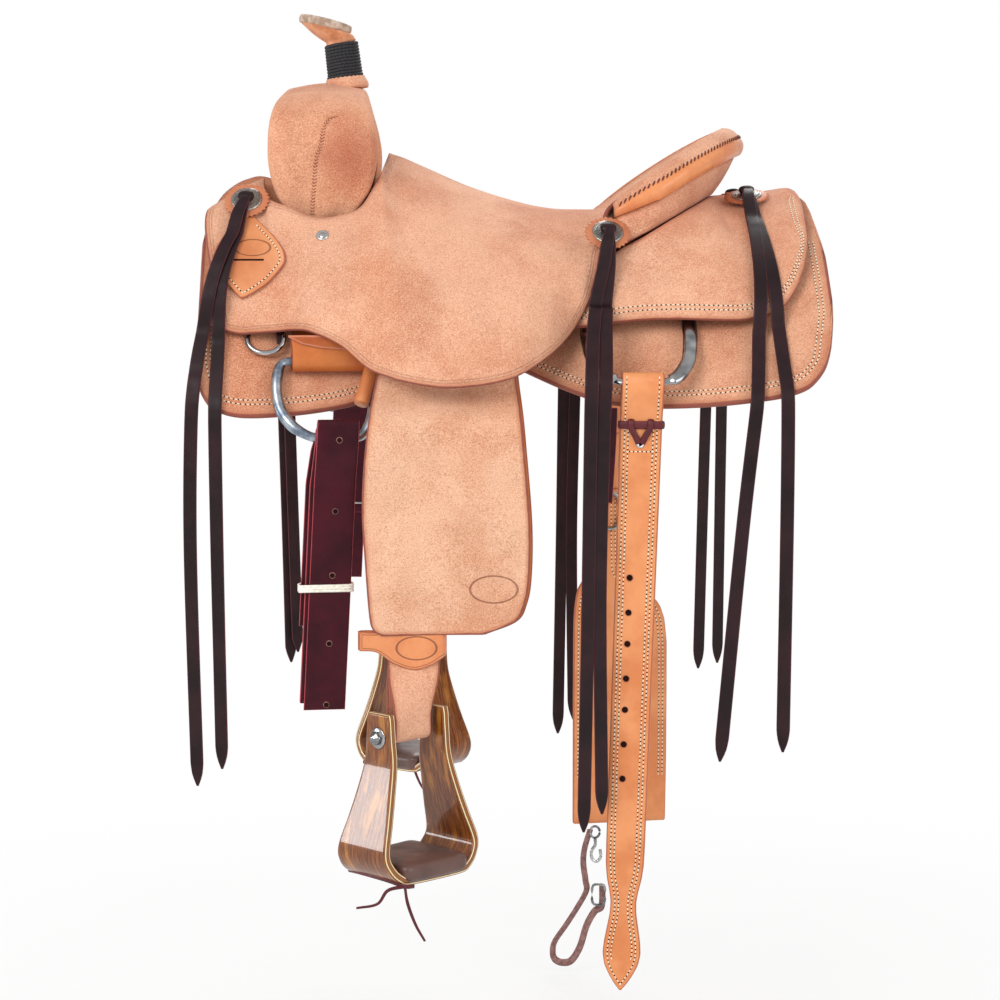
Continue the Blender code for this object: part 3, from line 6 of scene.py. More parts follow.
import bpy
import numpy as np
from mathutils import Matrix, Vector


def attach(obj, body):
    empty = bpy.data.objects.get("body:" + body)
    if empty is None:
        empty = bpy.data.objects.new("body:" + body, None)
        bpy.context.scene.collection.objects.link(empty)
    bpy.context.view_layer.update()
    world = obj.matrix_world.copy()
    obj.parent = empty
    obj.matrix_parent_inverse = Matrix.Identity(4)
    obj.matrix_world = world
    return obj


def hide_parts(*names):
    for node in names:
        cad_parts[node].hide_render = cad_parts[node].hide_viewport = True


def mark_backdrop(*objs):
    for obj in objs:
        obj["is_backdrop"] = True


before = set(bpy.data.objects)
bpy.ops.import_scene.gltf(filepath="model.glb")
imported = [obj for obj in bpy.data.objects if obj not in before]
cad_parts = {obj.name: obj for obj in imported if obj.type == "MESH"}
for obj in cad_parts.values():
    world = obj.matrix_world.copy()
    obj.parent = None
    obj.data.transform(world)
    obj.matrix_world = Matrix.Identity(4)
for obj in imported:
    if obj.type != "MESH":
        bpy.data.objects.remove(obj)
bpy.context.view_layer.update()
NEAR, OFF = -1, 1
SIDES = ((NEAR, "near"), (OFF, "off"))

# %% [markdown]
# ## The camera
# The photograph looks at the near side of the saddle, a little from above and from the front.
# A long lens keeps the far side nearly as big as the near side, as the picture shows.

# %% Camera
AIM = np.array((0.0, 0.0, -0.29))
CAMERA_DISTANCE, CAMERA_TURN, CAMERA_RISE = 3.0, np.radians(-1.5), np.radians(5.5)
LENS_MM, SENSOR_MM = 91.5, 36
toward = np.array((np.sin(CAMERA_TURN) * np.cos(CAMERA_RISE),
                   -np.cos(CAMERA_TURN) * np.cos(CAMERA_RISE), np.sin(CAMERA_RISE)))
camera_data = bpy.data.cameras.new("camera")
camera_data.lens = LENS_MM
camera_data.sensor_width = SENSOR_MM
camera = bpy.data.objects.new("camera", camera_data)
camera.location = AIM + CAMERA_DISTANCE * toward
camera.rotation_euler = Vector(toward).to_track_quat("Z", "Y").to_euler()
bpy.context.scene.collection.objects.link(camera)
bpy.context.scene.camera = camera
print("camera at", [round(v, 3) for v in camera.location])

# %% [markdown]
# ## Shader arithmetic
# A material is easier to read as a sum than as a drawing of boxes. A small class wraps a socket,
# so that an expression such as `1 - mask * 0.5` adds the nodes that work it out.

# %% Sockets that add and multiply
class Flow:
    """A socket's value. Arithmetic on it adds Math nodes to the same material."""

    def __init__(self, paint, socket):
        self.paint, self.socket = paint, socket

    def sum(self, operation, first, second):
        return self.paint.node("ShaderNodeMath", {"operation": operation}, {0: first, 1: second})

    def __add__(self, other):
        return self.sum("ADD", self, other)

    def __sub__(self, other):
        return self.sum("SUBTRACT", self, other)

    def __rsub__(self, other):
        return self.sum("SUBTRACT", other, self)

    def __mul__(self, other):
        return self.sum("MULTIPLY", self, other)

    def __truediv__(self, other):
        return self.sum("DIVIDE", self, other)

    def __pow__(self, other):
        return self.sum("POWER", self, other)

    def __abs__(self):
        return self.paint.node("ShaderNodeMath", {"operation": "ABSOLUTE"}, {0: self})

    __radd__, __rmul__ = __add__, __mul__


def rgb(red, green, blue):
    """A colour from its 0-255 screen values to the linear values that a shader takes."""
    screen = np.array((red, green, blue)) / 255
    linear = np.where(screen > 0.04045, ((screen + 0.055) / 1.055) ** 2.4, screen / 12.92)
    return (*map(float, linear), 1.0)


UV_MAP, OBJECT_COORDS = 2, 3


class Paint:
    """One material. node() adds any node; the other methods are short names for common ones."""

    def __init__(self, name, roughness=0.5, metallic=0.0, **constants):
        self.material = bpy.data.materials.new(name)
        self.material.use_nodes = True
        self.tree = self.material.node_tree
        self.shader = self.tree.nodes["Principled BSDF"]
        self.shader.inputs["Roughness"].default_value = roughness
        self.shader.inputs["Metallic"].default_value = metallic
        for key, value in constants.items():
            socket = key.replace("_", " ").title().replace("Ior", "IOR")
            self.shader.inputs[socket].default_value = value

    def node(self, kind, settings=None, values=None, out=0):
        """A node of a type, with its settings set first, then its sockets' values or links."""
        made = self.tree.nodes.new(kind)
        for key, value in (settings or {}).items():
            setattr(made, key, value)
        for key, value in (values or {}).items():
            if isinstance(value, Flow):
                self.tree.links.new(value.socket, made.inputs[key])
            else:
                made.inputs[key].default_value = value
        return Flow(self, made.outputs[out])

    def coords(self, stretch=None, turn=(0, 0, 0), source=OBJECT_COORDS):
        """Object coordinates or the UV map, turned and stretched if asked."""
        base = self.node("ShaderNodeTexCoord", out=source)
        if stretch is None:
            return base
        return self.node("ShaderNodeMapping", None,
                         {"Vector": base, "Rotation": turn, "Scale": stretch})

    def bent(self, scale):
        """Object coordinates, each pushed aside by a noise, so that straight cells go crooked."""
        sway = self.node("ShaderNodeTexNoise", None, {"Scale": scale, "Vector": self.coords()}, out=1)
        return self.node("ShaderNodeVectorMath", {"operation": "ADD"}, {0: self.coords(), 1: sway})

    def noise(self, scale, detail=2.0, rough=0.5, at=None):
        """Soft clouds, scale of them to a metre."""
        at = self.coords() if at is None else at
        return self.node("ShaderNodeTexNoise", None,
                         {"Vector": at, "Scale": scale, "Detail": detail, "Roughness": rough})

    def cells(self, scale, at=None, feature="F1"):
        """The distance to the nearest of scattered points, or to the walls between them."""
        at = self.coords() if at is None else at
        return self.node("ShaderNodeTexVoronoi", {"feature": feature}, {"Vector": at, "Scale": scale})

    def field(self, name):
        """A number that the mesh carries at each point."""
        return self.node("ShaderNodeAttribute", {"attribute_name": name}, out=2)

    def step(self, value, low, high, reach_low=0.0, reach_high=1.0):
        """A smooth rise from one value to another while the input goes from low to high."""
        return self.node("ShaderNodeMapRange", {"interpolation_type": "SMOOTHSTEP"},
                         {0: value, 1: low, 2: high, 3: reach_low, 4: reach_high})

    def near(self, value, level, full, none):
        """1 where the value lies within full of a level, falling to 0 where it is none away."""
        return self.step(abs(value - level), full, none, 1.0, 0.0)

    def mix(self, share, first, second):
        """Colours mixed by a share."""
        return self.node("ShaderNodeMix", {"data_type": "RGBA", "blend_type": "MIX"},
                         {0: share, 6: first, 7: second}, out=2)

    def set(self, **links):
        """Links values to the shader's own sockets."""
        for key, value in links.items():
            self.tree.links.new(value.socket, self.shader.inputs[key.replace("_", " ").title()])

    def bump(self, height, depth):
        """The height, in shares of depth in metres, turned into a normal."""
        self.set(normal=self.node("ShaderNodeBump", None,
                                  {"Height": height, "Distance": depth, "Strength": 1.0}))
        return self.material

    def axes(self, at=None):
        """The three coordinates as separate numbers."""
        split = self.node("ShaderNodeSeparateXYZ", None, {0: self.coords() if at is None else at})
        return [Flow(self, socket) for socket in split.socket.node.outputs]


print("shader arithmetic ready")

# %% [markdown]
# ## Rough-side-out leather
# Most of the saddle shows the flesh side of the hide: a pale, pinkish tan nap with short dark
# fibres lying every way, cloudy patches where hands have turned the nap, and cut edges dyed
# burgundy. Noise at three sizes gives clouds, fibres and grain; the mesh carries the distance
# from its cut edge, which drives the dyed rim.

# %% Rough leather
BURGUNDY_EDGE, EDGE_BROWN = rgb(96, 38, 40), rgb(140, 72, 60)


def oval_ring(paint, centre, size, width, plane=(0, 2)):
    """A thin ring on an ellipse: share is 1 where the ellipse's own radius is near 1."""
    parts = paint.axes()
    a = (parts[plane[0]] - centre[0]) / size[0]
    b = (parts[plane[1]] - centre[1]) / size[1]
    return paint.near((a * a + b * b) ** 0.5, 1.0, width * 0.5, width * 1.5)


FIBRE_PALE, FIBRE_DARK = rgb(246, 210, 178), rgb(164, 92, 62)
HAIR, VEIN = rgb(150, 78, 50), rgb(176, 104, 74)
BEVEL_PINK, TOOLED, CREASED = rgb(196, 124, 92), rgb(140, 74, 50), rgb(160, 98, 74)
HAIR_LIES = ((0.4, 1.0), (1.5, 0.85), (2.5, 1.2))
CREASE_AT = (0.0052, 0.0078)


def hair(p, turn, scale):
    """Short fibres that lie one way: a noise stretched along a turned axis."""
    lain = p.coords((170 * scale, 640 * scale, 640 * scale), (turn, turn * 0.7, turn * 1.9))
    return p.step(p.noise(1.0, 2, 0.5, lain), 0.62, 0.76)


def nap_surface(p, pale, dark):
    """The nap's colour and height: clouds, grain, fibres that lie three ways and fine veins."""
    colour = p.mix(p.step(p.noise(9, 5, 0.62), 0.38, 0.66) * 0.9, pale, dark)
    grain = p.noise(700, 4, 0.8)
    colour = p.mix(p.step(grain, 0.48, 0.62) * 0.5, colour, FIBRE_PALE)
    colour = p.mix(p.step(grain, 0.48, 0.37) * 0.55, colour, FIBRE_DARK)
    first, second, third = (hair(p, *lie) for lie in HAIR_LIES)
    hairs = first + second + third
    colour = p.mix(hairs * 0.24, colour, HAIR)
    walls = p.step(p.cells(24, p.bent(22.0), "DISTANCE_TO_EDGE"), 0.0, 0.02, 1.0, 0.0)
    veins = walls * p.step(p.noise(14, 2), 0.46, 0.6)
    colour = p.mix(veins * 0.38, colour, VEIN)
    return colour, grain * 1.1 + p.noise(130, 3, 0.6) * 0.8 - hairs * 0.15 - veins * 0.5


def rough_leather(name, pale, dark, rim=True, marks=(), patch=None, edge=EDGE_BROWN, crease=False,
                  dye=0.0026):
    """The nap; its rim is burnished where the distance from the cut edge is under dye."""
    p = Paint(name, 0.9, sheen_weight=0.1, sheen_roughness=0.5, specular_ior_level=0.2)
    colour, height = nap_surface(p, pale, dark)
    # A patch darkens the nap towards its tone round one place, fading out past its radius.
    if patch:
        place, radius, tone = patch
        away = p.node("ShaderNodeVectorMath", {"operation": "DISTANCE"}, {0: p.coords(), 1: place}, out=1)
        darker_spot = p.step(away + p.noise(40, 3) * 0.03, radius * 0.4, radius + 0.015, 1.0, 0.0)
        colour = p.mix(darker_spot * 0.55, colour, tone)
    for ring in marks:
        line = oval_ring(p, *ring)
        colour, height = p.mix(line * 0.7, colour, TOOLED), height - line * 2.0
    if rim:
        cut = p.field("rim") + p.noise(90, 2) * 0.0012 - 0.0006
        colour = p.mix(p.step(cut, dye, dye * 2.4, 0.6, 0.0), colour, BEVEL_PINK)
        colour = p.mix(p.step(cut, dye * 0.55, dye, 0.9, 0.0), colour, edge)
        p.set(roughness=p.step(cut, dye * 0.6, dye * 1.1, 0.5, 0.9))
    for at in CREASE_AT if crease else ():
        line = p.near(p.field("rim"), at, 0.0003, 0.0008)
        colour, height = p.mix(line * 0.3, colour, CREASED), height - line * 1.2
    p.set(base_color=colour)
    return p.bump(height, 0.0004)


TAN, TAN_DEEP = rgb(230, 172, 140), rgb(208, 136, 102)
nap = rough_leather("rough_leather", TAN, TAN_DEEP)
nap_skirt = rough_leather("rough_leather_skirt", rgb(226, 164, 130), rgb(198, 120, 84), dye=0.0042)
# The fork's leather is darker and redder round one spot on its near side.
nap_far = rough_leather("rough_leather_fork", rgb(228, 164, 128), rgb(200, 126, 92), edge=BURGUNDY_EDGE,
                        patch=((-0.170, -0.145, 0.110), 0.055, rgb(172, 90, 64)))
nap_fender = rough_leather("rough_leather_fender", rgb(236, 184, 152), rgb(214, 148, 112),
                           marks=[((-0.014, -0.359), (0.0255, 0.0145), 0.045)])
nap_seat = rough_leather("rough_leather_seat", TAN, TAN_DEEP, crease=True)
nap_bare = rough_leather("rough_leather_plain", TAN, TAN_DEEP, rim=False)
print("rough leather: 6 finishes")

# %% [markdown]
# ## Smooth leathers
# The billets, the cinch, the keepers and the cantle's roll show the grain side, oiled to an
# orange russet with a low gloss. The latigo and the off billet are soft leather dyed burgundy,
# with bright red cut edges. The saddle strings are almost black with a waxy shine.

# %% Smooth leather
def grain_leather(name, pale, dark, edge, roughness=0.42, coat=0.15, marks=(), pores=0.5, rim_mm=1.2,
                  groove=None, shine=0.35):
    """Oiled grain: soft clouds, fine pores as cell walls, and a dyed rim from the cut edge."""
    p = Paint(name, roughness, coat_weight=coat, coat_roughness=0.25, specular_ior_level=shine)
    clouds = p.step(p.noise(1.0, 4, 0.6, p.coords((18, 18, 18))), 0.36, 0.66)
    colour = p.mix(clouds * 0.8, pale, dark)
    pits = p.step(p.cells(620, feature="DISTANCE_TO_EDGE"), 0.0, 0.12, 1.0, 0.0)
    colour = p.mix(pits * 0.22 * pores, colour, dark)
    height = p.noise(300, 3, 0.6) * 0.6 - pits * 0.5 * pores
    for ring in marks:
        line = oval_ring(p, *ring)
        colour, height = p.mix(line * 0.8, colour, rgb(120, 62, 34)), height - line * 2.5
    cut = p.field("rim") + p.noise(150, 2) * 0.0006
    near = rim_mm / 1000
    if groove:
        line = p.near(p.field("rim"), groove, 0.0003, 0.0007)
        colour, height = p.mix(line * 0.5, colour, rgb(126, 66, 40)), height - line * 2.0
    colour = p.mix(p.step(cut, near, near * 1.8, 0.9, 0.0), colour, edge)
    p.set(base_color=colour, roughness=p.step(p.noise(60, 3), 0.3, 0.7, roughness - 0.08,
                                              roughness + 0.12))
    return p.bump(height, 0.00018)


RUSSET, RUSSET_DEEP = rgb(232, 152, 98), rgb(210, 122, 68)
EDGE_TAN = rgb(176, 96, 68)
russet = grain_leather("russet_leather", RUSSET, RUSSET_DEEP, EDGE_TAN)
russet_rig = grain_leather("russet_rigging", rgb(214, 126, 62), rgb(184, 92, 40), rgb(130, 52, 36))
russet_roll = grain_leather("russet_roll", rgb(232, 150, 96), rgb(210, 118, 66), rgb(140, 56, 40),
                            roughness=0.3, coat=0.35)
russet_dark = grain_leather("russet_rigging_lap", rgb(196, 104, 46), rgb(160, 72, 30), rgb(206, 128, 100),
                            rim_mm=1.6)
russet_hobble = grain_leather("russet_hobble", rgb(230, 148, 96), rgb(208, 116, 66), EDGE_TAN,
                              roughness=0.3, coat=0.4, groove=0.0030,
                              marks=[((-0.097, -0.4225), (0.0215, 0.0125), 0.05)])
russet_keeper = grain_leather("russet_keeper", rgb(220, 144, 92), rgb(196, 112, 64), EDGE_TAN,
                              marks=[((-0.276, 0.006), (0.0195, 0.0088), 0.055)])
burgundy = grain_leather("latigo_leather", rgb(70, 14, 28), rgb(44, 8, 18), rgb(176, 62, 70),
                         roughness=0.36, coat=0.06, pores=0.2, rim_mm=0.7, shine=0.15)
string_leather = grain_leather("string_leather", rgb(44, 22, 26), rgb(24, 12, 15), rgb(84, 34, 42),
                               roughness=0.42, coat=0.06, pores=0.3, rim_mm=0.8, shine=0.2)
lace_red = grain_leather("lace_leather", rgb(98, 26, 34), rgb(70, 16, 24), rgb(120, 40, 42),
                         roughness=0.42, pores=0.2, rim_mm=0.4)
rosette_leather = grain_leather("rosette_leather", rgb(204, 128, 88), rgb(176, 96, 62),
                                rgb(120, 56, 40), roughness=0.55, rim_mm=1.6)
tread_leather = grain_leather("tread_leather", rgb(104, 74, 66), rgb(70, 48, 44), rgb(60, 38, 34),
                              roughness=0.4, coat=0.3, pores=0.6)
print("smooth leather: 11 finishes")

# %% [markdown]
# ## Wool, wood, thread and metal
# The sheepskin's pile is cream wool in small curls. The stirrups are bent from thin layers of
# walnut and maple under varnish, so their faces show long dark grain and their edges show the
# layers as stripes. The dees and the horn are steel, and the conchos are engraved silver.

# %% Other finishes
def wool():
    """Cream curls: cell pattern for the locks; the darker, yellower wool between them is partly the wool's
    own colour and partly painted shade.
    """
    p = Paint("sheepskin_wool", 0.95, sheen_weight=0.3, sheen_roughness=0.6)
    curls = p.step(p.cells(210), 0.0, 0.8)
    tuft = p.noise(60, 4, 0.7)
    colour = p.mix(p.step(tuft, 0.35, 0.65), rgb(226, 208, 166), rgb(244, 234, 210))
    colour = p.mix(curls * 0.35, colour, rgb(206, 178, 124))
    p.set(base_color=colour)
    return p.bump(1 - curls + tuft * 0.6, 0.0025)


def bent_wood():
    """Walnut faces with long grain; the cut edge shows the layers as pale and dark stripes."""
    p = Paint("stirrup_wood", 0.3, coat_weight=0.5, coat_roughness=0.04, specular_ior_level=0.2)
    lengthwise = p.coords((1, 14, 1), source=UV_MAP)
    wave = p.noise(30, 5, 0.65, lengthwise)
    fine = p.noise(90, 4, 0.7, p.coords((1, 34, 1), source=UV_MAP))
    colour = p.mix(p.step(wave, 0.34, 0.66), rgb(92, 44, 18), rgb(150, 86, 38))
    gold = p.step(p.noise(7, 3, 0.6, p.coords((2, 9, 1), source=UV_MAP)), 0.5, 0.68)
    colour = p.mix(gold * 0.7, colour, rgb(198, 130, 50))
    colour = p.mix(p.step(fine, 0.5, 0.64) * 0.6, colour, rgb(48, 24, 12))
    flecks = p.noise(160, 2, 0.5, p.coords((1, 5, 1), source=UV_MAP))
    colour = p.mix(p.step(flecks, 0.68, 0.74) * 0.6, colour, rgb(232, 176, 84))
    ply = abs(p.field("ply"))
    dark = p.step(ply, 0.30, 0.36) * p.step(ply, 0.86, 0.90, 1.0, 0.0)
    layers = p.mix(dark, rgb(150, 92, 44), rgb(58, 30, 16))
    cream = p.step(ply, 0.44, 0.48) * p.step(ply, 0.74, 0.78, 1.0, 0.0)
    layers = p.mix(cream, layers, rgb(238, 212, 164))
    colour = p.mix(p.step(ply, 0.955, 0.99, 1.0, 0.0), colour, layers)
    p.set(base_color=colour)
    return p.bump(fine, 0.00006)


def plain_finish(name, first, second, scale, roughness, metallic=0.0, depth=0.0001, detail=3, **more):
    """Two tones mixed by clouds, with the same clouds as relief and as uneven gloss."""
    p = Paint(name, roughness, metallic, **more)
    clouds = p.noise(scale, detail, 0.6)
    p.set(base_color=p.mix(p.step(clouds, 0.35, 0.65), first, second),
          roughness=p.step(clouds, 0.3, 0.7, roughness, roughness + 0.1))
    return p.bump(clouds, depth)


def engraved_silver():
    """Polished silver with darkened scrollwork: cell walls bent by noise."""
    p = Paint("engraved_silver", 0.24, 1.0)
    lines = p.step(p.cells(260, p.bent(90.0), "DISTANCE_TO_EDGE"), 0.02, 0.10, 1.0, 0.0)
    dark = lines * p.step(p.field("rim"), 0.2, 0.4)
    p.set(base_color=p.mix(dark * 0.8, rgb(176, 172, 166), rgb(34, 30, 28)),
          roughness=0.22 + dark * 0.3)
    return p.bump(1 - dark, 0.0002)


def tree_wood():
    """Pale softwood with growth lines."""
    p = Paint("tree_wood", 0.6)
    rings = p.noise(30, 3, 0.6, p.coords((1.5, 14, 14)))
    p.set(base_color=p.mix(p.step(rings, 0.4, 0.6), rgb(204, 176, 138), rgb(176, 140, 98)))
    return p.bump(rings, 0.0003)


def rope_rubber():
    """Black rubber strips: matt, with a slanting twist along each turn."""
    p = Paint("wrap_rubber", 0.62, specular_ior_level=0.4)
    x, y = p.axes(p.coords((1, 1, 1), source=UV_MAP))[:2]
    wave = p.node("ShaderNodeMath", {"operation": "SINE"}, {0: x * 1500 + y * 900})
    rough = p.noise(500, 3, 0.7)
    p.set(base_color=p.mix(p.step(rough, 0.4, 0.8), rgb(30, 31, 34), rgb(58, 60, 66)),
          roughness=p.step(rough, 0.3, 0.7, 0.5, 0.75))
    return p.bump(wave * 0.5 + rough, 0.0004)


fleece_wool, stirrup_wood, silver_work = wool(), bent_wood(), engraved_silver()
bare_wood, wrap_rubber = tree_wood(), rope_rubber()
# Polished steel: its dark cloud tone is painted reflection, blotches of dark colour that stand in for dark
# surroundings mirrored in the steel.
polished_with_painted_reflection = plain_finish("polished_steel", rgb(210, 210, 210), rgb(92, 94, 100), 16, 0.12, 1.0, 0.00002)
zinc = plain_finish("zinc_coated_steel", rgb(196, 204, 212), rgb(112, 124, 140), 48, 0.3, 1.0, 0.0003)
thread = plain_finish("stitching_thread", rgb(255, 244, 222), rgb(238, 216, 180), 400, 0.7)
# The near-black hole colour is painted shade: it stands for the shadow inside each awl hole, punched hole
# and slot.
hole_painted_shade = plain_finish("stitch_hole_painted_shade", rgb(40, 18, 14), rgb(28, 12, 10), 300, 0.95, specular_ior_level=0.1)
dark_thread = plain_finish("dark_thread", rgb(122, 58, 42), rgb(88, 38, 30), 300, 0.7)
welt_thread = plain_finish("welt_lacing", rgb(172, 104, 78), rgb(132, 70, 52), 300, 0.8)
tie_white = plain_finish("waxed_tie", rgb(250, 246, 236), rgb(232, 224, 208), 300, 0.5)
horn_tan = plain_finish("horn_tan", rgb(224, 158, 116), rgb(200, 130, 90), 90, 0.5)
rawhide = plain_finish("horn_rawhide", rgb(204, 184, 166), rgb(156, 128, 108), 110, 0.6, 0.0, 0.0004)
mauve_strap = plain_finish("connector_leather", rgb(152, 112, 106), rgb(118, 80, 76), 200, 0.5)
print("wool, wood, metal and thread ready")

# %% [markdown]
# ## From a grid of points to a piece of leather
# A sheet of leather is a grid of points with a thickness. Its outer and inner faces lie half a
# thickness off the middle, and near the cut edge they close in on a half round, so that light
# catches the edge as it does on rubbed leather. The distance from the edge is kept on the mesh
# as `rim`, because the dye on the edge follows it.

# %% Points, rows and sheets
def unit(v):
    """The vector divided by its length."""
    return v / np.maximum(np.linalg.norm(v, axis=-1, keepdims=True), 1e-12)


def around(count):
    """The angles of one full turn, without its end."""
    return np.linspace(0, 2 * np.pi, count, endpoint=False)


def squared(turn, power):
    """Cosine and sine of a turn, pressed towards a square as the power falls from 1 to 0."""
    return [np.sign(part) * np.abs(part) ** power for part in (np.cos(turn), np.sin(turn))]


def square_loop(middle, axes, halves, power, count=48):
    """A closed line round a middle: a circle pressed towards a rectangle in the plane of two axes."""
    c, s = squared(around(count), power)
    return middle + axes[0] * (c * halves[0])[:, None] + axes[1] * (s * halves[1])[:, None]


def glide(keys, at, ease=1.0):
    """A curve through the keys: in each span a cubic that leaves along its neighbours' chord.
    at runs from 0 to 1; ease blends it with straight spans."""
    keys = np.asarray(keys, float)
    ring = np.concatenate([2 * keys[:1] - keys[1:2], keys, 2 * keys[-1:] - keys[-2:-1]])
    place = np.clip(np.asarray(at, float), 0, 1) * (len(keys) - 1)
    i = np.clip(place.astype(int), 0, len(keys) - 2)
    wide = (-1,) + (1,) * (keys.ndim - 1)
    t = (place - i).reshape(wide)
    ease = np.broadcast_to(ease, place.shape).reshape(wide)
    a, b, c, d = ring[i], ring[i + 1], ring[i + 2], ring[i + 3]
    curve = (2 * b + (c - a) * t + (2 * a - 5 * b + 4 * c - d) * t ** 2
             + (3 * b - a - 3 * c + d) * t ** 3) / 2
    return curve * ease + (b + (c - b) * t) * (1 - ease)


def rows(length, thick, count):
    """Places from 0 to 1: four close rows where each end rounds off, even ones between."""
    end = np.array((0, 0.05, 0.22, 0.55, 1.0, 1.9)) * thick / 2 / length
    return np.concatenate([end[:-1], np.linspace(end[-1], 1 - end[-1], count), 1 - end[:-1][::-1]])


def grid_normals(P):
    """The cross product of the grid's two directions."""
    return unit(np.cross(np.gradient(P, axis=0), np.gradient(P, axis=1)))


def border(n, m):
    edge = np.zeros((n, m), bool)
    edge[[0, -1]] = edge[:, [0, -1]] = True
    return edge


def nearest(points, targets):
    """Squared distances from |a|^2 + |b|^2 - 2 a.b; returns the least distance and its index."""
    least, which = [], []
    for part in np.array_split(points, max(1, len(points) * len(targets) // 4_000_000)):
        d = (part ** 2).sum(1)[:, None] + (targets ** 2).sum(1) - 2 * part @ targets.T
        which.append(d.argmin(1))
        least.append(np.sqrt(np.maximum(d.min(1), 0)))
    return np.concatenate(least), np.concatenate(which)


def cells_of(index, flip=False):
    """The four corners of each cell of a grid of vertex numbers."""
    quads = np.stack([index[:-1, :-1], index[1:, :-1], index[1:, 1:], index[:-1, 1:]], -1)
    quads = quads.reshape(-1, 4)
    return quads[:, ::-1] if flip else quads


def put(name, verts, faces, finishes, body, uv=None, which=None, **fields):
    """Makes the mesh and its object, at the origin, and lets it ride on a body."""
    mesh = bpy.data.meshes.new(name)
    faces = faces.tolist() if isinstance(faces, np.ndarray) else faces
    mesh.from_pydata(np.asarray(verts).reshape(-1, 3).tolist(), [], faces)
    for key, values in fields.items():
        layer = mesh.attributes.new(key, "FLOAT", "POINT")
        layer.data.foreach_set("value", np.asarray(values, np.float32).ravel())
    if uv is not None:
        corner = np.empty(len(mesh.loops), int)
        mesh.loops.foreach_get("vertex_index", corner)
        mesh.uv_layers.new(name="UVMap").data.foreach_set("uv", np.asarray(uv)[corner].ravel())
    for finish in finishes if isinstance(finishes, (list, tuple)) else [finishes]:
        mesh.materials.append(finish)
    if which is not None:
        mesh.polygons.foreach_set("material_index", which)
    mesh.shade_smooth()
    thing = bpy.data.objects.new(name, mesh)
    bpy.context.scene.collection.objects.link(thing)
    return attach(thing, body)


def sheet_arrays(P, thick, facing, mask=None, N=None, rounding=None):
    """Vertices, faces, rim distance and side (1 outer, -1 inner, 0 at the cut edge).
    Height off the middle is half the thickness times sqrt(1 - (1 - d/r)^2), d from the edge."""
    n, m = P.shape[:2]
    raw = grid_normals(P)
    N = raw if N is None else N
    flip = (raw * facing).sum() < 0
    N = N * np.sign((N * facing).sum() or 1)
    mask = border(n, m) if mask is None else mask
    d = nearest(P.reshape(-1, 3), P[mask])[0].reshape(n, m)
    d[mask] = 0
    r = rounding or thick / 2
    lift = np.sqrt(1 - (1 - np.minimum(d / r, 1)) ** 2)[..., None]
    outer, inner = P + N * lift * thick / 2, P - N * lift * thick / 2
    index = np.arange(n * m).reshape(n, m)
    free = ~mask
    under = index.copy()
    under[free] = n * m + np.arange(free.sum())
    verts = np.concatenate([outer.reshape(-1, 3), inner[free]])
    faces = np.concatenate([cells_of(index, flip), cells_of(under, not flip)])
    rim = np.concatenate([d.ravel(), d[free]])
    ply = np.concatenate([lift[..., 0].ravel(), -lift[..., 0][free]])
    return verts, faces, rim, ply, outer, N


def sheet(name, P, thick, facing, finish, body, replaces=(), uv=None, **more):
    """A closed sheet of leather; returns the object, its outer grid and its normals."""
    verts, faces, rim, ply, outer, N = sheet_arrays(P, thick, np.asarray(facing, float), **more)
    if uv is not None:
        mask = more.get("mask")
        free = ~(border(*P.shape[:2]) if mask is None else mask)
        uv = np.concatenate([uv.reshape(-1, 2), uv[free]])
    thing = put(name, verts, faces, finish, body, uv=uv, rim=rim, ply=ply)
    if replaces:
        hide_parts(*replaces)
    return thing, outer, N


print("sheet maker ready")

# %% [markdown]
# ## Stitching
# Saddle stitching shows as short cream dashes with an awl hole between each two; the holes' darkness is
# painted shade. Each dash is a small spindle of 30 faces, and one mesh holds a whole row. Rows follow a
# sheet's cut edge at a set distance: the edge is moved inwards along the sheet and dropped onto its
# nearest grid point.

# %% Stitches
def measured(path):
    """Distance run along a path at each of its points."""
    return np.concatenate([[0], np.cumsum(np.linalg.norm(np.diff(path, axis=0), axis=1))])


def respace(path, step):
    """The same path with points a step apart."""
    run = measured(path)
    count = max(int(round(run[-1] / step)), 1) + 1
    at = np.linspace(0, run[-1], count)
    return np.stack([np.interp(at, run, path[:, k]) for k in range(3)], 1)


def seat_on(points, outer, N):
    """Drops points onto a sheet: down the nearest grid point's normal to its tangent plane."""
    flat, normals = outer.reshape(-1, 3), N.reshape(-1, 3)
    which = nearest(points, flat)[1]
    n = normals[which]
    return points - n * ((points - flat[which]) * n).sum(1)[:, None], n


def edge_row(edge, outer, N, inset, pitch=0.0052, inward=None):
    """A row of stitches at a distance inside an edge, which is given as points on the sheet."""
    edge = respace(edge, 0.003)
    run = unit(np.gradient(edge, axis=0))
    n = seat_on(edge, outer, N)[1]
    side = unit(np.cross(n, run))
    middle = outer.reshape(-1, 3).mean(0) if inward is None else np.asarray(inward)
    if ((middle - edge) * side).sum() < 0:
        side = -side
    line = respace(edge + side * inset, pitch)
    line, n = seat_on(line, outer, N)
    return line, unit(np.gradient(line, axis=0)), n


SPINDLE = ((-0.40, 0.75), (-0.18, 1.0), (0.18, 1.0), (0.40, 0.75))
ROUND = 6
STITCH_POINTS, HOLE_POINTS = len(SPINDLE) * ROUND + 2, ROUND + 2
STITCH_RISE, HOLE_R, HOLE_RISE, HOLE_DEPTH = 0.25, 0.0010, 0.00016, 0.0005


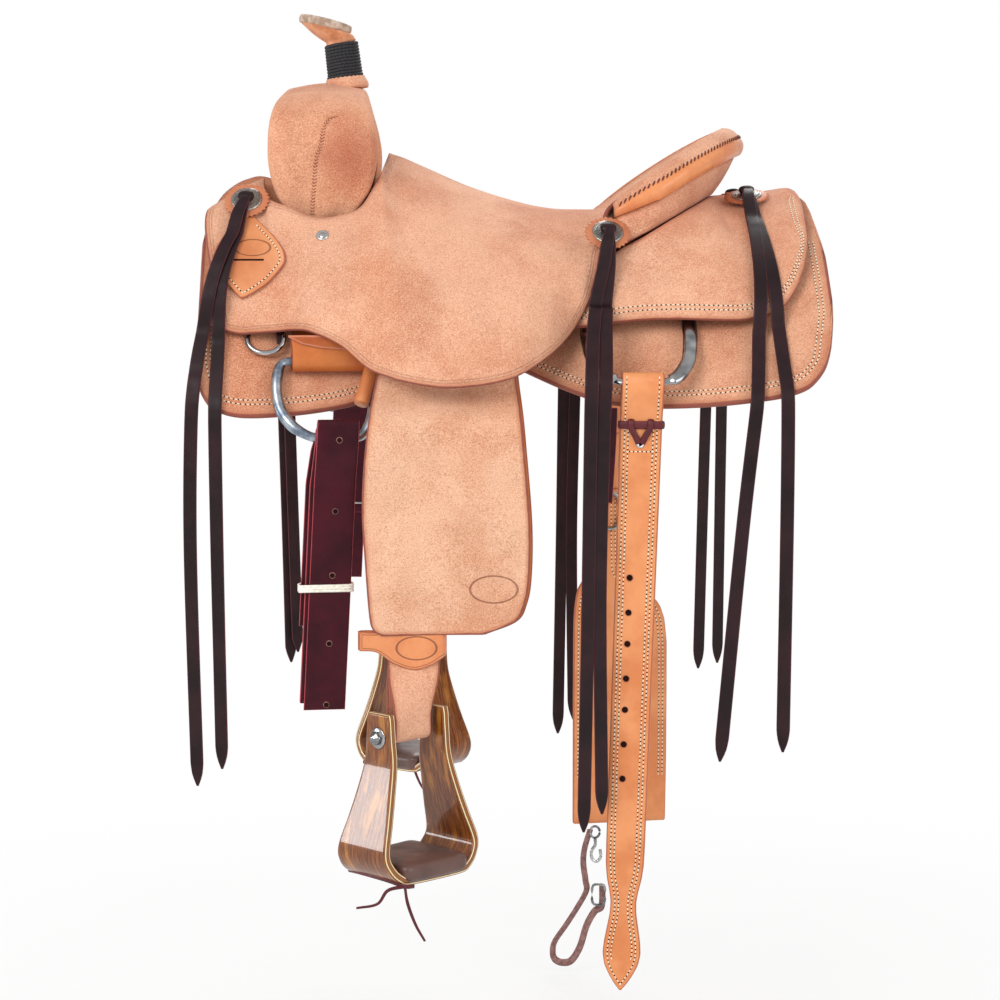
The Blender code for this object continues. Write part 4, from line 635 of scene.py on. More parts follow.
def spindles(at, run, n, length, radius):
    """A tip, four rings and a tip along each stitch's run; returns the points and the faces."""
    side = unit(np.cross(n, run))
    turn = (np.arange(ROUND) * 2 * np.pi / ROUND)[:, None, None]
    ring = np.cos(turn) * side + np.sin(turn) * n
    mid = at + n * radius * STITCH_RISE
    verts = [mid - run * length / 2]
    for x, r in SPINDLE:
        verts += list(mid + run * length * x + ring * radius * r)
    verts.append(mid + run * length / 2)
    j = np.arange(ROUND)
    k = (j + 1) % ROUND
    last = STITCH_POINTS - 1
    quads = np.concatenate([np.stack([1 + s + j, 1 + s + k, 1 + s + ROUND + k, 1 + s + ROUND + j], 1)
                            for s in ROUND * np.arange(len(SPINDLE) - 1)])
    tris = np.concatenate([np.stack([0 * j, 1 + k, 1 + j], 1),
                           np.stack([last + 0 * j, last - ROUND + j, last - ROUND + k], 1)])
    base = np.arange(len(at))[:, None, None] * STITCH_POINTS
    faces = (quads + base).reshape(-1, 4).tolist() + (tris + base).reshape(-1, 3).tolist()
    return np.stack(verts, 1).reshape(-1, 3), faces


def awl_holes(spots, run, n):
    """A flat six-sided lens lies on the leather where the awl went through; its dark finish is painted
    shade.
    """
    across = unit(np.cross(n, run))
    turn = (np.arange(ROUND) * 2 * np.pi / ROUND)[:, None, None]
    disc = np.cos(turn) * run + np.sin(turn) * across
    dots = np.stack([spots + n * HOLE_RISE] + list(spots + disc * HOLE_R) + [spots - n * HOLE_DEPTH], 1)
    j = np.arange(ROUND)
    k = (j + 1) % ROUND
    fans = np.concatenate([np.stack([0 * j, 1 + j, 1 + k], 1),
                           np.stack([ROUND + 1 + 0 * j, 1 + k, 1 + j], 1)])
    return dots.reshape(-1, 3), fans + np.arange(len(spots))[:, None, None] * HOLE_POINTS


def stitches(name, lines, body, length=0.0035, radius=0.00068, finish=None, holes=True, slant=0.0):
    """Each stitch is a spindle along its row; between two of them sits a small dimple painted dark as shade.
    """
    at, run, n = (np.concatenate([line[k] for line in lines]) for k in range(3))
    run = unit(run + unit(np.cross(n, run)) * slant)
    verts, faces = spindles(at, run, n, length, radius)
    which = np.zeros(len(faces), int)
    if holes:
        spots = np.concatenate([(line[0][1:] + line[0][:-1]) / 2 for line in lines])
        run, n = (np.concatenate([line[k][1:] for line in lines]) for k in (1, 2))
        dots, fans = awl_holes(spots, run, n)
        faces += (fans + len(verts)).reshape(-1, 3).tolist()
        verts = np.concatenate([verts, dots])
        which = np.concatenate([which, np.ones(fans.size // 3, int)])
    return put(name, verts, faces, [finish or thread, hole_painted_shade], body, which=which)


print("stitching ready")

# %% [markdown]
# ## The horse's back
# Everything under a saddle follows the horse: a ridge along the spine that falls away to both
# sides, steep at the withers and flatter at the loin. The height is one formula in x and y, and a
# layer of leather is that surface moved outwards along its normal.

# %% The back as a formula
BACK_REACH, BACK_SLOPE, BACK_ROUND, BACK_EASE = 0.3, 0.7, 1.6, 0.08
FLEECE_LIFT, SKIRT_LIFT, SKIRT_THICK = 0.016, 0.0253, 0.0075


def back_height(x, y):
    """rise(x) - slope(x) * (sqrt(y^2 + ease^2) - ease) - round(x) * y^2."""
    front, rear = np.clip(-x / BACK_REACH, 0, 1.2), np.clip(x / BACK_REACH, 0, 1.2)
    slope = BACK_SLOPE + 0.5 * front - 0.25 * rear
    rise = np.where(x < 0, 1.0, 0.4) * x * x
    return rise - slope * (np.sqrt(y * y + BACK_EASE ** 2) - BACK_EASE) - (BACK_ROUND + 0.1 * rear) * y * y


def on_back(x, y, lift):
    """The back's point at x, y, moved along its normal (-dz/dx, -dz/dy, 1) by lift."""
    x, y = np.broadcast_arrays(np.asarray(x, float), np.asarray(y, float))
    h = 0.0005
    dx = (back_height(x + h, y) - back_height(x - h, y)) / (2 * h)
    dy = (back_height(x, y + h) - back_height(x, y - h)) / (2 * h)
    n = unit(np.stack([-dx, -dy, np.ones_like(dx)], -1))
    return np.stack([x, y, back_height(x, y)], -1) + n * np.broadcast_to(lift, x.shape)[..., None]


def on_side(x, z, lift, side):
    """The lifted back's point at a height, found by halving y between the spine and 0.4 m."""
    x, z = np.broadcast_arrays(np.asarray(x, float), np.asarray(z, float))
    low, high = np.zeros(x.shape), np.full(x.shape, 0.4)
    for _ in range(30):
        middle = (low + high) / 2
        above = on_back(x, middle, lift)[..., 2] > z
        low, high = np.where(above, middle, low), np.where(above, high, middle)
    return np.stack([x, side * on_back(x, high, lift)[..., 1], z], -1)


print("the back falls", round(float(-back_height(np.array(0.0), np.array(0.2))), 3), "m at 200 mm out")

# %% [markdown]
# ## Skirts
# A skirt is the broad leather under everything else. Two rows of cream stitching run along its
# front, its hem and its rear, and hold the sheepskin behind it. Each point of the sheet lies
# between the spine edge and the hem at the same x, and both edges are smooth curves through a
# few points.

# %% Skirts with their stitching
SPINE_EDGE = ((-0.340, 0.128), (-0.334, 0.105), (-0.322, 0.080), (-0.300, 0.052), (-0.275, 0.032),
              (-0.200, 0.024), (0.000, 0.024), (0.300, 0.024), (0.340, 0.030), (0.352, 0.050),
              (0.358, 0.100), (0.362, 0.150))
HEM = ((-0.340, 0.198), (-0.336, 0.217), (-0.323, 0.226), (-0.300, 0.227), (-0.268, 0.223),
       (-0.170, 0.206), (-0.115, 0.190), (-0.060, 0.176), (-0.030, 0.174), (0.000, 0.180),
       (0.062, 0.207), (0.105, 0.224), (0.148, 0.235), (0.212, 0.247), (0.265, 0.256),
       (0.305, 0.262), (0.330, 0.262), (0.348, 0.252), (0.358, 0.231), (0.362, 0.195))
SKIRT_FRONT, SKIRT_REAR = -0.340, 0.362
SKIRT_LENGTH, SKIRT_DEPTH = 0.70, 0.24


def outline(keys, x):
    """An edge's y at each x, read off a smooth curve through its points."""
    line = glide(keys, np.linspace(0, 1, 900), 0.75)
    order = np.maximum.accumulate(line[:, 0])
    return np.interp(x, order, line[:, 1])


def skirt_grid(u, v, lift, side, inset=0.0, ragged=0.0):
    """x goes from front to rear, closer at the ends; y goes from the spine edge to the hem."""
    span = SKIRT_REAR - SKIRT_FRONT
    x = SKIRT_FRONT + span * (0.55 * (0.5 - 0.5 * np.cos(np.pi * u)) + 0.45 * u)
    top, low = outline(SPINE_EDGE, x) + inset, outline(HEM, x) - inset + ragged
    y = top[:, None] + (low - top)[:, None] * v[None, :]
    middle = (SKIRT_FRONT + SKIRT_REAR) / 2
    x = middle + (x - middle) * (1 - 2 * inset / span)
    return on_back(np.broadcast_to(x[:, None], y.shape), side * y, lift)


def edge_rows(outer, N, paths, insets, pitch=0.0052, inward=None):
    """Rows of stitches at several distances inside the same edge."""
    return [edge_row(path, outer, N, inset, pitch, inward) for path in paths for inset in insets]


skirt_outer = {}
for side, word in SIDES:
    grid = skirt_grid(rows(SKIRT_LENGTH, SKIRT_THICK, 130), rows(SKIRT_DEPTH, SKIRT_THICK, 46),
                      SKIRT_LIFT - SKIRT_THICK / 2, side)
    skirt, outer, N = sheet("skirt_leather_" + word, grid, SKIRT_THICK, (0, side, 1), nap_skirt, "saddle",
                            ["skirt_" + word])
    skirt_outer[word] = (outer, N)
    hem = np.concatenate([outer[4, 4:-6], outer[8:-8, -5], outer[-5, 4:-6][::-1]])
    stitches("skirt_stitching_" + word, edge_rows(outer, N, [hem], (0.0085, 0.0135)), "saddle")
print("skirts:", len(skirt.data.polygons), "faces each")

# %% [markdown]
# ## Sheepskin
# The lining is real shearling, about 15 mm deep, and it shows under the skirts from below, in front and
# behind. It is a thick sheet whose whole skin is pushed out by lumps of about 6 mm, as the curls
# of the fleece do. Its hem is ragged, so that a few tufts peek out under the skirt.

# %% Fleece with curls
FLEECE_THICK, CURL, CURL_DEPTH = 0.0145, 0.0062, 0.0034


def scatter(*parts):
    """A number from 0 to 1 for each lattice place: the fraction of a large sine."""
    mixed = sum(part * weight for part, weight in zip(parts, (12.9898, 78.233, 37.719)))
    return np.sin(mixed) * 43758.5453 % 1.0


def lumps(points, size):
    """1 minus the distance to the nearest of the jittered lattice points round each place."""
    place = points / size
    cell = np.floor(place)
    least = np.full(len(points), 9.0)
    for shift in np.stack(np.meshgrid((-1, 0, 1), (-1, 0, 1), (-1, 0, 1)), -1).reshape(-1, 3):
        x, y, z = (cell + shift).T
        seed = np.stack([x + scatter(x, y, z), y + scatter(y, z, x), z + scatter(z, x, y)], 1)
        least = np.minimum(least, ((place - seed) ** 2).sum(1))
    return 1 - np.minimum(np.sqrt(least), 1)


def ripple(x, wave, seed):
    """Three sines of unlike lengths, which add to an uneven line between -1 and 1."""
    return (np.sin(x / wave + seed) + np.sin(x * 2.3 / wave + seed * 3) * 0.6
            + np.sin(x * 5.1 / wave + seed * 7) * 0.4) / 2


def skin_normals(verts, faces):
    """The sum of the cross products of the faces that meet at each point."""
    total = np.zeros_like(verts)
    cross = np.cross(verts[faces[:, 2]] - verts[faces[:, 0]], verts[faces[:, 3]] - verts[faces[:, 1]])
    for k in range(4):
        np.add.at(total, faces[:, k], cross)
    return unit(total)


for side, word in SIDES:
    u, v = rows(SKIRT_LENGTH, FLEECE_THICK, 210), rows(SKIRT_DEPTH, FLEECE_THICK, 76)
    ragged = -0.0055 + 0.0036 * ripple(u * SKIRT_LENGTH, 0.011, side * 1.7)
    grid = skirt_grid(u, v, FLEECE_LIFT - 0.0078, side, 0.004, ragged)
    verts, faces, rim, ply, outer, N = sheet_arrays(grid, FLEECE_THICK, np.array((0.0, side, 1.0)))
    curls = lumps(verts, CURL) * 0.7 + lumps(verts * 1.9 + 5, CURL) * 0.3
    hidden = np.clip(1.2 - ply, 0.1, 1)
    verts = verts + skin_normals(verts, faces) * ((curls - 0.45) * CURL_DEPTH * 1.6 * hidden)[:, None]
    fleece = put("fleece_lining_" + word, verts, faces, fleece_wool, "saddle", rim=rim)
    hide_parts("fleece_" + word)
print("fleece:", len(fleece.data.polygons), "faces each")

# %% [markdown]
# ## Seat and front jockeys
# The seat and the front jockeys are one leather, cut out round the fork and carried up to the
# cantle's crest. Each cross-section is a cubic curve from the spine, or from the fork's edge, out
# to the lower edge; its two handles set how level it starts and how steeply it ends.

# %% The seat's cross-sections
# each row: start x, y, z; end x, y, z; shoulder; drop
SEAT = np.array((
    (-0.327, 0.128, 0.050, -0.309, 0.212, -0.083, 0.035, 0.060),
    (-0.300, 0.098, 0.068, -0.288, 0.210, -0.088, 0.055, 0.060),
    (-0.269, 0.066, 0.086, -0.268, 0.210, -0.087, 0.074, 0.065),
    (-0.264, 0.126, 0.062, -0.254, 0.210, -0.086, 0.026, 0.060),
    (-0.240, 0.146, 0.052, -0.232, 0.212, -0.084, 0.020, 0.060),
    (-0.211, 0.148, 0.040, -0.210, 0.230, -0.086, 0.020, 0.060),
    (-0.182, 0.146, 0.042, -0.178, 0.245, -0.100, 0.020, 0.080),
    (-0.157, 0.140, 0.053, -0.148, 0.264, -0.124, 0.030, 0.090),
    (-0.136, 0.110, 0.090, -0.118, 0.282, -0.135, 0.030, 0.100),
    (-0.129, 0.000, 0.116, -0.093, 0.290, -0.140, 0.090, 0.110),
    (-0.093, 0.000, 0.102, -0.065, 0.292, -0.143, 0.100, 0.110),
    (-0.035, 0.000, 0.077, -0.025, 0.290, -0.140, 0.120, 0.110),
    (0.023, 0.000, 0.059, 0.010, 0.279, -0.132, 0.140, 0.100),
    (0.060, 0.000, 0.052, 0.040, 0.252, -0.116, 0.150, 0.090),
    (0.090, 0.000, 0.051, 0.066, 0.222, -0.095, 0.150, 0.080),
    (0.110, 0.000, 0.051, 0.086, 0.205, -0.066, 0.150, 0.070),
    (0.126, 0.000, 0.053, 0.100, 0.191, -0.030, 0.140, 0.050),
    (0.140, 0.000, 0.055, 0.106, 0.179, 0.006, 0.120, 0.030),
    (0.155, 0.000, 0.058, 0.112, 0.156, 0.046, 0.090, 0.000),
    (0.175, 0.000, 0.066, 0.137, 0.150, 0.068, 0.090, -0.012),
    (0.200, 0.000, 0.083, 0.172, 0.137, 0.094, 0.080, -0.014),
    (0.225, 0.000, 0.108, 0.207, 0.112, 0.117, 0.060, -0.010),
    (0.243, 0.000, 0.128, 0.235, 0.078, 0.133, 0.040, -0.005),
    (0.256, 0.000, 0.143, 0.252, 0.040, 0.141, 0.020, 0.000),
))
REAR_JOCKEY = np.array((
    (0.098, 0.160, -0.020, 0.070, 0.202, -0.082, 0.01, 0.02),
    (0.126, 0.172, 0.004, 0.110, 0.210, -0.077, 0.01, 0.03),
    (0.156, 0.163, 0.020, 0.150, 0.209, -0.073, 0.01, 0.04),
    (0.190, 0.136, 0.039, 0.190, 0.216, -0.072, 0.02, 0.05),
    (0.218, 0.098, 0.054, 0.225, 0.221, -0.073, 0.04, 0.06),
    (0.236, 0.052, 0.063, 0.255, 0.224, -0.073, 0.06, 0.06),
    (0.247, 0.003, 0.067, 0.280, 0.223, -0.069, 0.08, 0.06),
    (0.280, 0.003, 0.068, 0.302, 0.220, -0.060, 0.08, 0.06),
    (0.312, 0.003, 0.073, 0.319, 0.207, -0.040, 0.07, 0.06),
    (0.334, 0.030, 0.075, 0.332, 0.183, -0.012, 0.04, 0.04),
    (0.341, 0.070, 0.063, 0.339, 0.153, 0.016, 0.02, 0.02),
))
FORK_CORNER, FORK_REAR, JOIN = 2.5, 8.5, 9.0
SEAT_THICK, JOCKEY_THICK, FRONT_BULGE = 0.005, 0.006, 0.008


def sections(table, place, v, side, ease=1.0, bulge=0.0):
    """Cubic curves: start, start + shoulder sideways, end + drop upwards, end."""
    row = glide(table, place / (len(table) - 1), ease)[:, None, :]
    row[..., 1] = np.maximum(row[..., 1], 0.0)
    inner, outer, shoulder, drop = row[..., :3], row[..., 3:6], row[..., 6:7], row[..., 7:8]
    handle_in = inner + shoulder * np.array((0.0, 1.0, 0.0))
    reach = np.interp(drop, (0.0, 0.02), (-0.03, -0.012))
    handle_out = outer + np.concatenate([drop * 0, reach, drop], -1)
    t = v[None, :, None]
    P = (inner * (1 - t) ** 3 + handle_in * 3 * t * (1 - t) ** 2
         + handle_out * 3 * t * t * (1 - t) + outer * t ** 3)
    P[..., 0] -= bulge * (4 * v * (1 - v))[None, :] * np.clip(1 - place / 2, 0, 1)[:, None]
    return P * np.array((1.0, side, 1.0))


def turned_in(P, thick, facing):
    """The middle of a leather whose outer face is given, and its outward normals."""
    N = grid_normals(P)
    N = N * np.sign((N * np.asarray(facing, float)).sum())
    return P - N * thick / 2, N


print("seat:", len(SEAT), "cross-sections; rear jockeys:", len(REAR_JOCKEY))

# %% The seat leather in two halves, welded along the spine
def weld_mirror(verts, faces, *fields):
    """Adds the mirror image over y = 0; points on that plane are shared by both halves."""
    seam = np.abs(verts[:, 1]) < 1e-6
    verts[seam, 1] = 0
    other = np.arange(len(verts))
    other[~seam] = len(verts) + np.arange((~seam).sum())
    whole = np.concatenate([verts, verts[~seam] * np.array((1, -1, 1))])
    faces = np.concatenate([faces, other[faces][:, ::-1]])
    return whole, faces, [np.concatenate([field, field[~seam]]) for field in fields]


place = rows(0.75, SEAT_THICK, 178) * (len(SEAT) - 1)
place[np.abs(place - JOIN).argmin()] = JOIN
across = rows(0.28, SEAT_THICK, 64)
bend = np.minimum(np.abs(place - FORK_CORNER), np.abs(place - FORK_REAR))
grid = sections(SEAT, place, across, NEAR, np.clip(bend - 0.5, 0, 1), FRONT_BULGE)
joined = place > JOIN
grid[joined, 0, 1] = 0
middle, N = turned_in(grid, SEAT_THICK, (0, -0.5, 1))
N[joined, 0, 1] = 0
N = unit(N)
middle[place >= JOIN, 0, 1] = 0
mask = border(*grid.shape[:2])
mask[joined, 0] = False
mask[-1, 0] = True
verts, faces, rim, ply, seat_outer, seat_N = sheet_arrays(middle, SEAT_THICK, np.array((0, -0.5, 1)),
                                                          mask, N)
verts, faces, (rim, ply) = weld_mirror(verts, faces, rim, ply)
seat = put("seat_and_jockeys", verts, faces, nap_seat, "saddle", rim=rim)
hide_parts("seat_leather")
print("seat leather:", len(faces), "faces")

# %% Rear jockeys with their stitching
for side, word in SIDES:
    place = rows(0.30, JOCKEY_THICK, 92) * (len(REAR_JOCKEY) - 1)
    grid = sections(REAR_JOCKEY, place, rows(0.22, JOCKEY_THICK, 50), side)
    middle, N = turned_in(grid, JOCKEY_THICK, (0, side, 1))
    jockey, outer, N = sheet("rear_jockey_leather_" + word, middle, JOCKEY_THICK, (0, side, 1),
                             nap, "saddle", ["rear_jockey_" + word], N=N)
    hem = np.concatenate([outer[6:-6, -5], outer[-5, 12:-6][::-1]])
    stitches("rear_jockey_stitching_" + word,
             edge_rows(outer, N, [hem], (0.0095, 0.0145)), "saddle")
print("rear jockeys:", len(jockey.data.polygons), "faces each")

# %% [markdown]
# ## Fork cover
# One wet leather is pulled over the fork and dries to its shape, swelled at both sides and open
# under the gullet. The net of its outer face has nine points from front to rear at each station,
# from the near foot over the top to the off foot, and a smooth curve runs through them both ways.

# %% The fork's leather
# each row: half width, height, front x, rear x, depth of the edge turned in
FORK = np.array((
    (0.1325, 0.022, -0.224, -0.190, 0.006), (0.1370, 0.040, -0.238, -0.168, 0.012),
    (0.1420, 0.064, -0.253, -0.150, 0.022), (0.1480, 0.095, -0.261, -0.141, 0.044),
    (0.1470, 0.128, -0.262, -0.140, 0.050), (0.1320, 0.158, -0.261, -0.143, 0.052),
    (0.1000, 0.177, -0.258, -0.147, 0.050), (0.0500, 0.189, -0.253, -0.150, 0.046),
    (0.0000, 0.196, -0.250, -0.152, 0.044)))
FORK_THICK = 0.004


def fork_net():
    """Station by station: the section's x and its depth below the crown, turned inwards."""
    both = np.concatenate([FORK * (-1, 1, 1, 1, 1), FORK[-2::-1]])
    y, z, front, rear, depth = both.T[..., None]
    crown = both[:, :2]
    run = unit(np.gradient(crown, axis=0))
    inward = np.stack([run[:, 1], -run[:, 0]], 1)
    x = np.concatenate([front + 0.006, front, front + 0.003, front + 0.018, (front + rear) / 2,
                        rear - 0.018, rear - 0.003, rear, rear - 0.006], 1)
    deep = np.concatenate([depth, depth * 0.62, depth * 0.22, depth * 0 + 0.004, depth * 0,
                           depth * 0 + 0.004, depth * 0.22, depth * 0.62, depth], 1)
    return np.stack([x, y + inward[:, :1] * deep, z + inward[:, 1:] * deep], -1)


net = glide(fork_net(), rows(0.55, FORK_THICK, 150))
net = glide(net.transpose(1, 0, 2), rows(0.22, FORK_THICK, 64)).transpose(1, 0, 2)
middle, N = turned_in(net, FORK_THICK, (0, 0, 1))
cover, fork_outer, fork_N = sheet("fork_leather", middle, FORK_THICK, (0, 0, 1), nap_far, "saddle",
                                  ["fork_cover"], N=N)
print("fork cover:", len(cover.data.polygons), "faces")

# %% [markdown]
# ## Cantle
# The cantle's rim is a filled roll. The seat leather comes over the crest and is whip-stitched to
# a smooth russet band that covers the outside, and a rough leather closes the back below it. The
# roll is one closed section carried along the crest, smaller towards both ends.

# %% The cantle's roll and back
ROLL = np.array(((0.0012, 0.0006), (0.007, 0.0012), (0.0135, -0.001), (0.0195, -0.0060),
                 (0.0222, -0.0095), (0.0256, -0.0150), (0.0262, -0.0205), (0.0245, -0.0262),
                 (0.0205, -0.0300), (0.0105, -0.0270), (0.0095, -0.0100)))
ROLL_SEAM, ROLL_END = 3.7, 0.03
crest_keys = np.concatenate([SEAT[18:, 3:6] * (1, -1, 1), SEAT[-1:, :3], SEAT[:17:-1, 3:6]])


def crest(t):
    """The crest from the near end (0) to the off end (1), its outward direction, its fullness."""
    line = glide(crest_keys, t)
    run = unit(glide(crest_keys, np.clip(t + 0.004, 0, 1)) - glide(crest_keys, np.clip(t - 0.004, 0, 1)))
    out = unit(np.stack([run[:, 1], -run[:, 0], 0 * t], 1))
    full = 0.35 + 0.65 * np.minimum(1, np.sin(np.pi * t) * 2.2)
    return line, out, full[:, None]


def closed_tube(rings, flip=False):
    """Faces of a tube through closed rings, with a fan to a middle point at each end."""
    n, m = rings.shape[:2]
    index = np.arange(n * m).reshape(n, m)
    index = np.concatenate([index, index[:, :1]], 1)
    verts = np.concatenate([rings.reshape(-1, 3), rings[:1].mean(1), rings[-1:].mean(1)])
    side = cells_of(index).tolist()
    j, k = index[0, :-1], index[0, 1:]
    first = np.stack([0 * j + n * m, j, k], 1)
    j, k = index[-1, :-1], index[-1, 1:]
    last = np.stack([0 * j + n * m + 1, k, j], 1)
    faces = side + first.tolist() + last.tolist()
    return verts, [face[::-1] for face in faces] if flip else faces


t = np.linspace(ROLL_END, 1 - ROLL_END, 150)
at = np.linspace(0, len(ROLL), 78)[:-1]
loop = np.concatenate([ROLL, ROLL[:1]])
section = glide(np.concatenate([ROLL[-1:], loop, ROLL[1:2]]), (at + 1) / (len(ROLL) + 2))
line, out, full = crest(t)
up = np.array((0.0, 0.0, 1.0))
full_3d = full[..., None]
rings = (line[:, None] + out[:, None] * (section[None, :, :1] * full_3d + 0.0012 * (1 - full_3d))
         + up * section[None, :, 1:] * full_3d)
seam_line, roll_middle = rings[:, np.abs(at - ROLL_SEAM).argmin()], rings.mean(1)
verts, faces = closed_tube(rings, flip=True)
middle_of = np.tile(np.append(at[:-1] + at[1:], 2 * len(ROLL)) / 2, len(t) - 1)
which = np.concatenate([np.where(middle_of < ROLL_SEAM, 0, 1), np.zeros(2 * len(at), int)])
roll = put("cantle_binding", verts, faces, [nap_bare, russet_roll], "saddle", which=which,
           rim=np.full(len(verts), 0.02))
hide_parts("cantle_roll")
feet = REAR_JOCKEY[:, :3]
top = line + (out * 0.0165 - up * 0.0298) * full
reach = np.interp(np.minimum(t, 1 - t) * 2, (0, 1), (0.8, 6.0))
foot = np.stack([np.interp(reach, np.arange(len(feet)), feet[:, k]) for k in range(3)], 1)
foot[:, 1] *= np.sign(top[:, 1])
foot[:, 2] += 0.001
v = rows(0.1, 0.005, 18)[None, :, None]
grid = top[:, None] + (foot - top)[:, None] * v + out[:, None] * (0.003 * np.sin(np.pi * v) - 0.0025)
back = sheet("cantle_back_leather", grid, 0.0048, (1, 0, 0.2), nap, "saddle", ["cantle_back"])[0]
print("cantle:", len(faces), "faces in the roll,", len(back.data.polygons), "in the back")

# %% [markdown]
# ## Horn
# The horn is steel inside. Its cap is bound in tan leather with a pale rawhide rim, and the neck
# is wrapped with a black rubber rope, which grips the roper's own rope. Both are turned shapes:
# rings of points round a leaning axis. The rope is a helix of eleven turns that rest on each
# other.

# %% Rings and ropes
HORN_BASE, HORN_LEAN = np.array((-0.178, 0.0, 0.1928)), np.radians(-7)
NECK_R, NECK_LENGTH, WRAP_LIFT, WRAP_LENGTH, WRAP_TURNS = 0.0150, 0.0515, 0.0065, 0.0435, 11
CAP_CENTRE, CAP_LEAN, CAP_THICK = np.array((-0.2010, 0.0, 0.2680)), np.radians(13.5), 0.008


def leaning(angle):
    """The turn about Y, as rows of a matrix for points written as rows."""
    c, s = np.cos(angle), np.sin(angle)
    return np.array(((c, 0, -s), (0, 1, 0), (s, 0, c)))


def round_rings(keys, count, segments):
    """Rings through (share, radius, lift): the axis bends from the neck's top to the cap."""
    share, radius, lift = glide(keys, np.linspace(0, 1, count), 0.8).T
    foot = HORN_BASE + up * NECK_LENGTH @ leaning(HORN_LEAN)
    face = up @ leaning(CAP_LEAN)
    under = CAP_CENTRE - face * CAP_THICK
    turn = around(segments)
    flat = np.stack([np.cos(turn), np.sin(turn), 0 * turn], 1)
    rings = []
    for s, r, h in zip(np.clip(share, 0, 1), radius, lift):
        spin = leaning(HORN_LEAN + (CAP_LEAN - HORN_LEAN) * s)
        rings.append(foot + (under - foot) * s + face * h + flat @ spin * r)
    return np.array(rings)


def rope(name, path, radius, finish, body, sides=10, flat=(1.0, 1.0), closed=False, broad=None):
    """A tube: at each point a ring of radius in the plane across the path, wider one way by flat.
    broad gives the direction in which the first of the two widths lies."""
    run = unit(np.gradient(path, axis=0))
    if closed:
        run = unit(np.roll(path, -1, 0) - np.roll(path, 1, 0))
    guide = np.broadcast_to(np.array((0.0, 0.0, 1.0)) if broad is None else broad, path.shape)
    side = unit(guide - run * (guide * run).sum(1)[:, None])
    other = np.cross(run, side)
    turn = around(sides)
    radius = np.broadcast_to(radius, len(path))[:, None, None]
    rings = path[:, None] + radius * (side[:, None] * np.cos(turn)[None, :, None] * flat[0]
                                      - other[:, None] * np.sin(turn)[None, :, None] * flat[1])
    length = measured(path)
    uv = np.stack([np.repeat(length, sides), np.tile(turn * 0.003, len(path))], 1)
    if closed:
        index = np.arange(rings.size // 3).reshape(len(path), sides)
        index = np.concatenate([index, index[:1]])
        index = np.concatenate([index, index[:, :1]], 1)
        return put(name, rings, cells_of(index), finish, body, uv=uv, rim=np.full(rings.size // 3, 0.02))
    verts, faces = closed_tube(rings)
    uv = np.concatenate([uv, uv[:1], uv[-1:]])
    return put(name, verts, faces, finish, body, uv=uv, rim=np.full(len(verts), 0.02))


# %% Horn cap
UNDER = np.array(((0.0, 0.0158, -0.0075), (0.0, 0.0172, 0.0), (0.22, 0.0200, 0.0), (0.5, 0.0240, 0.0),
                  (0.8, 0.0272, 0.0), (1.0, 0.0282, -0.0012)))
RIM = np.array(((1.0, 0.0282, -0.0012), (1.0, 0.0300, -0.0006), (1.0, 0.0310, 0.0020),
                (1.0, 0.0310, 0.0050), (1.0, 0.0298, 0.0078), (1.0, 0.0262, 0.0088)))
TOP = np.array(((1.0, 0.0262, 0.0088), (1.0, 0.0225, 0.0078), (1.0, 0.012, 0.0080), (1.0, 0.001, 0.0082)))
CAP_SIDES, UNDER_RINGS, RIM_RINGS, TOP_RINGS = 64, 20, 14, 12
rings = np.concatenate([round_rings(UNDER, UNDER_RINGS, CAP_SIDES),
                        round_rings(RIM, RIM_RINGS, CAP_SIDES)[1:],
                        round_rings(TOP, TOP_RINGS, CAP_SIDES)[1:]])
verts, faces = closed_tube(rings, flip=True)
which = np.zeros(len(faces), int)
which[(UNDER_RINGS - 1) * CAP_SIDES:(UNDER_RINGS + RIM_RINGS - 2) * CAP_SIDES] = 1
cap = put("horn_cap_leather", verts, faces, [horn_tan, rawhide], "saddle", which=which)
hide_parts("horn_cap")
print("horn cap:", len(rings), "rings")

# %% [markdown]
# The rope climbs round the neck and rests on a thin rubber sleeve, which closes the gaps between
# its turns. At its foot the fork's leather stands up round the neck as a pinked collar.

# %% Horn rope, sleeve and collar
turn = np.linspace(0, 2 * np.pi * WRAP_TURNS, WRAP_TURNS * 60)
climb = turn / turn[-1]
rope_r = WRAP_LENGTH / WRAP_TURNS / 2 * 1.08
reach = NECK_R + 0.001 + np.interp(climb, (0, 0.12, 1), (0.0058, 0.0042, 0.0034)) - rope_r * 0.75
path = np.stack([np.cos(turn) * reach, np.sin(turn) * reach,
                 WRAP_LIFT + rope_r + climb * (WRAP_LENGTH - 2 * rope_r)], 1)
rope("horn_rope", path @ leaning(HORN_LEAN) + HORN_BASE, rope_r, wrap_rubber, "saddle")


def neck_tube(profile, sides, lobes=0, lobe_height=0.0):
    """Rings of (radius, height) round the horn's neck; the higher rings rise and fall in lobes."""
    turn = around(sides)
    wave = lobe_height * np.abs(np.sin(turn * lobes))
    rings = [np.stack([np.cos(turn) * r, np.sin(turn) * r, h + wave * (h > LOBES_FROM)], 1)
             for r, h in profile]
    return np.array(rings) @ leaning(HORN_LEAN) + HORN_BASE


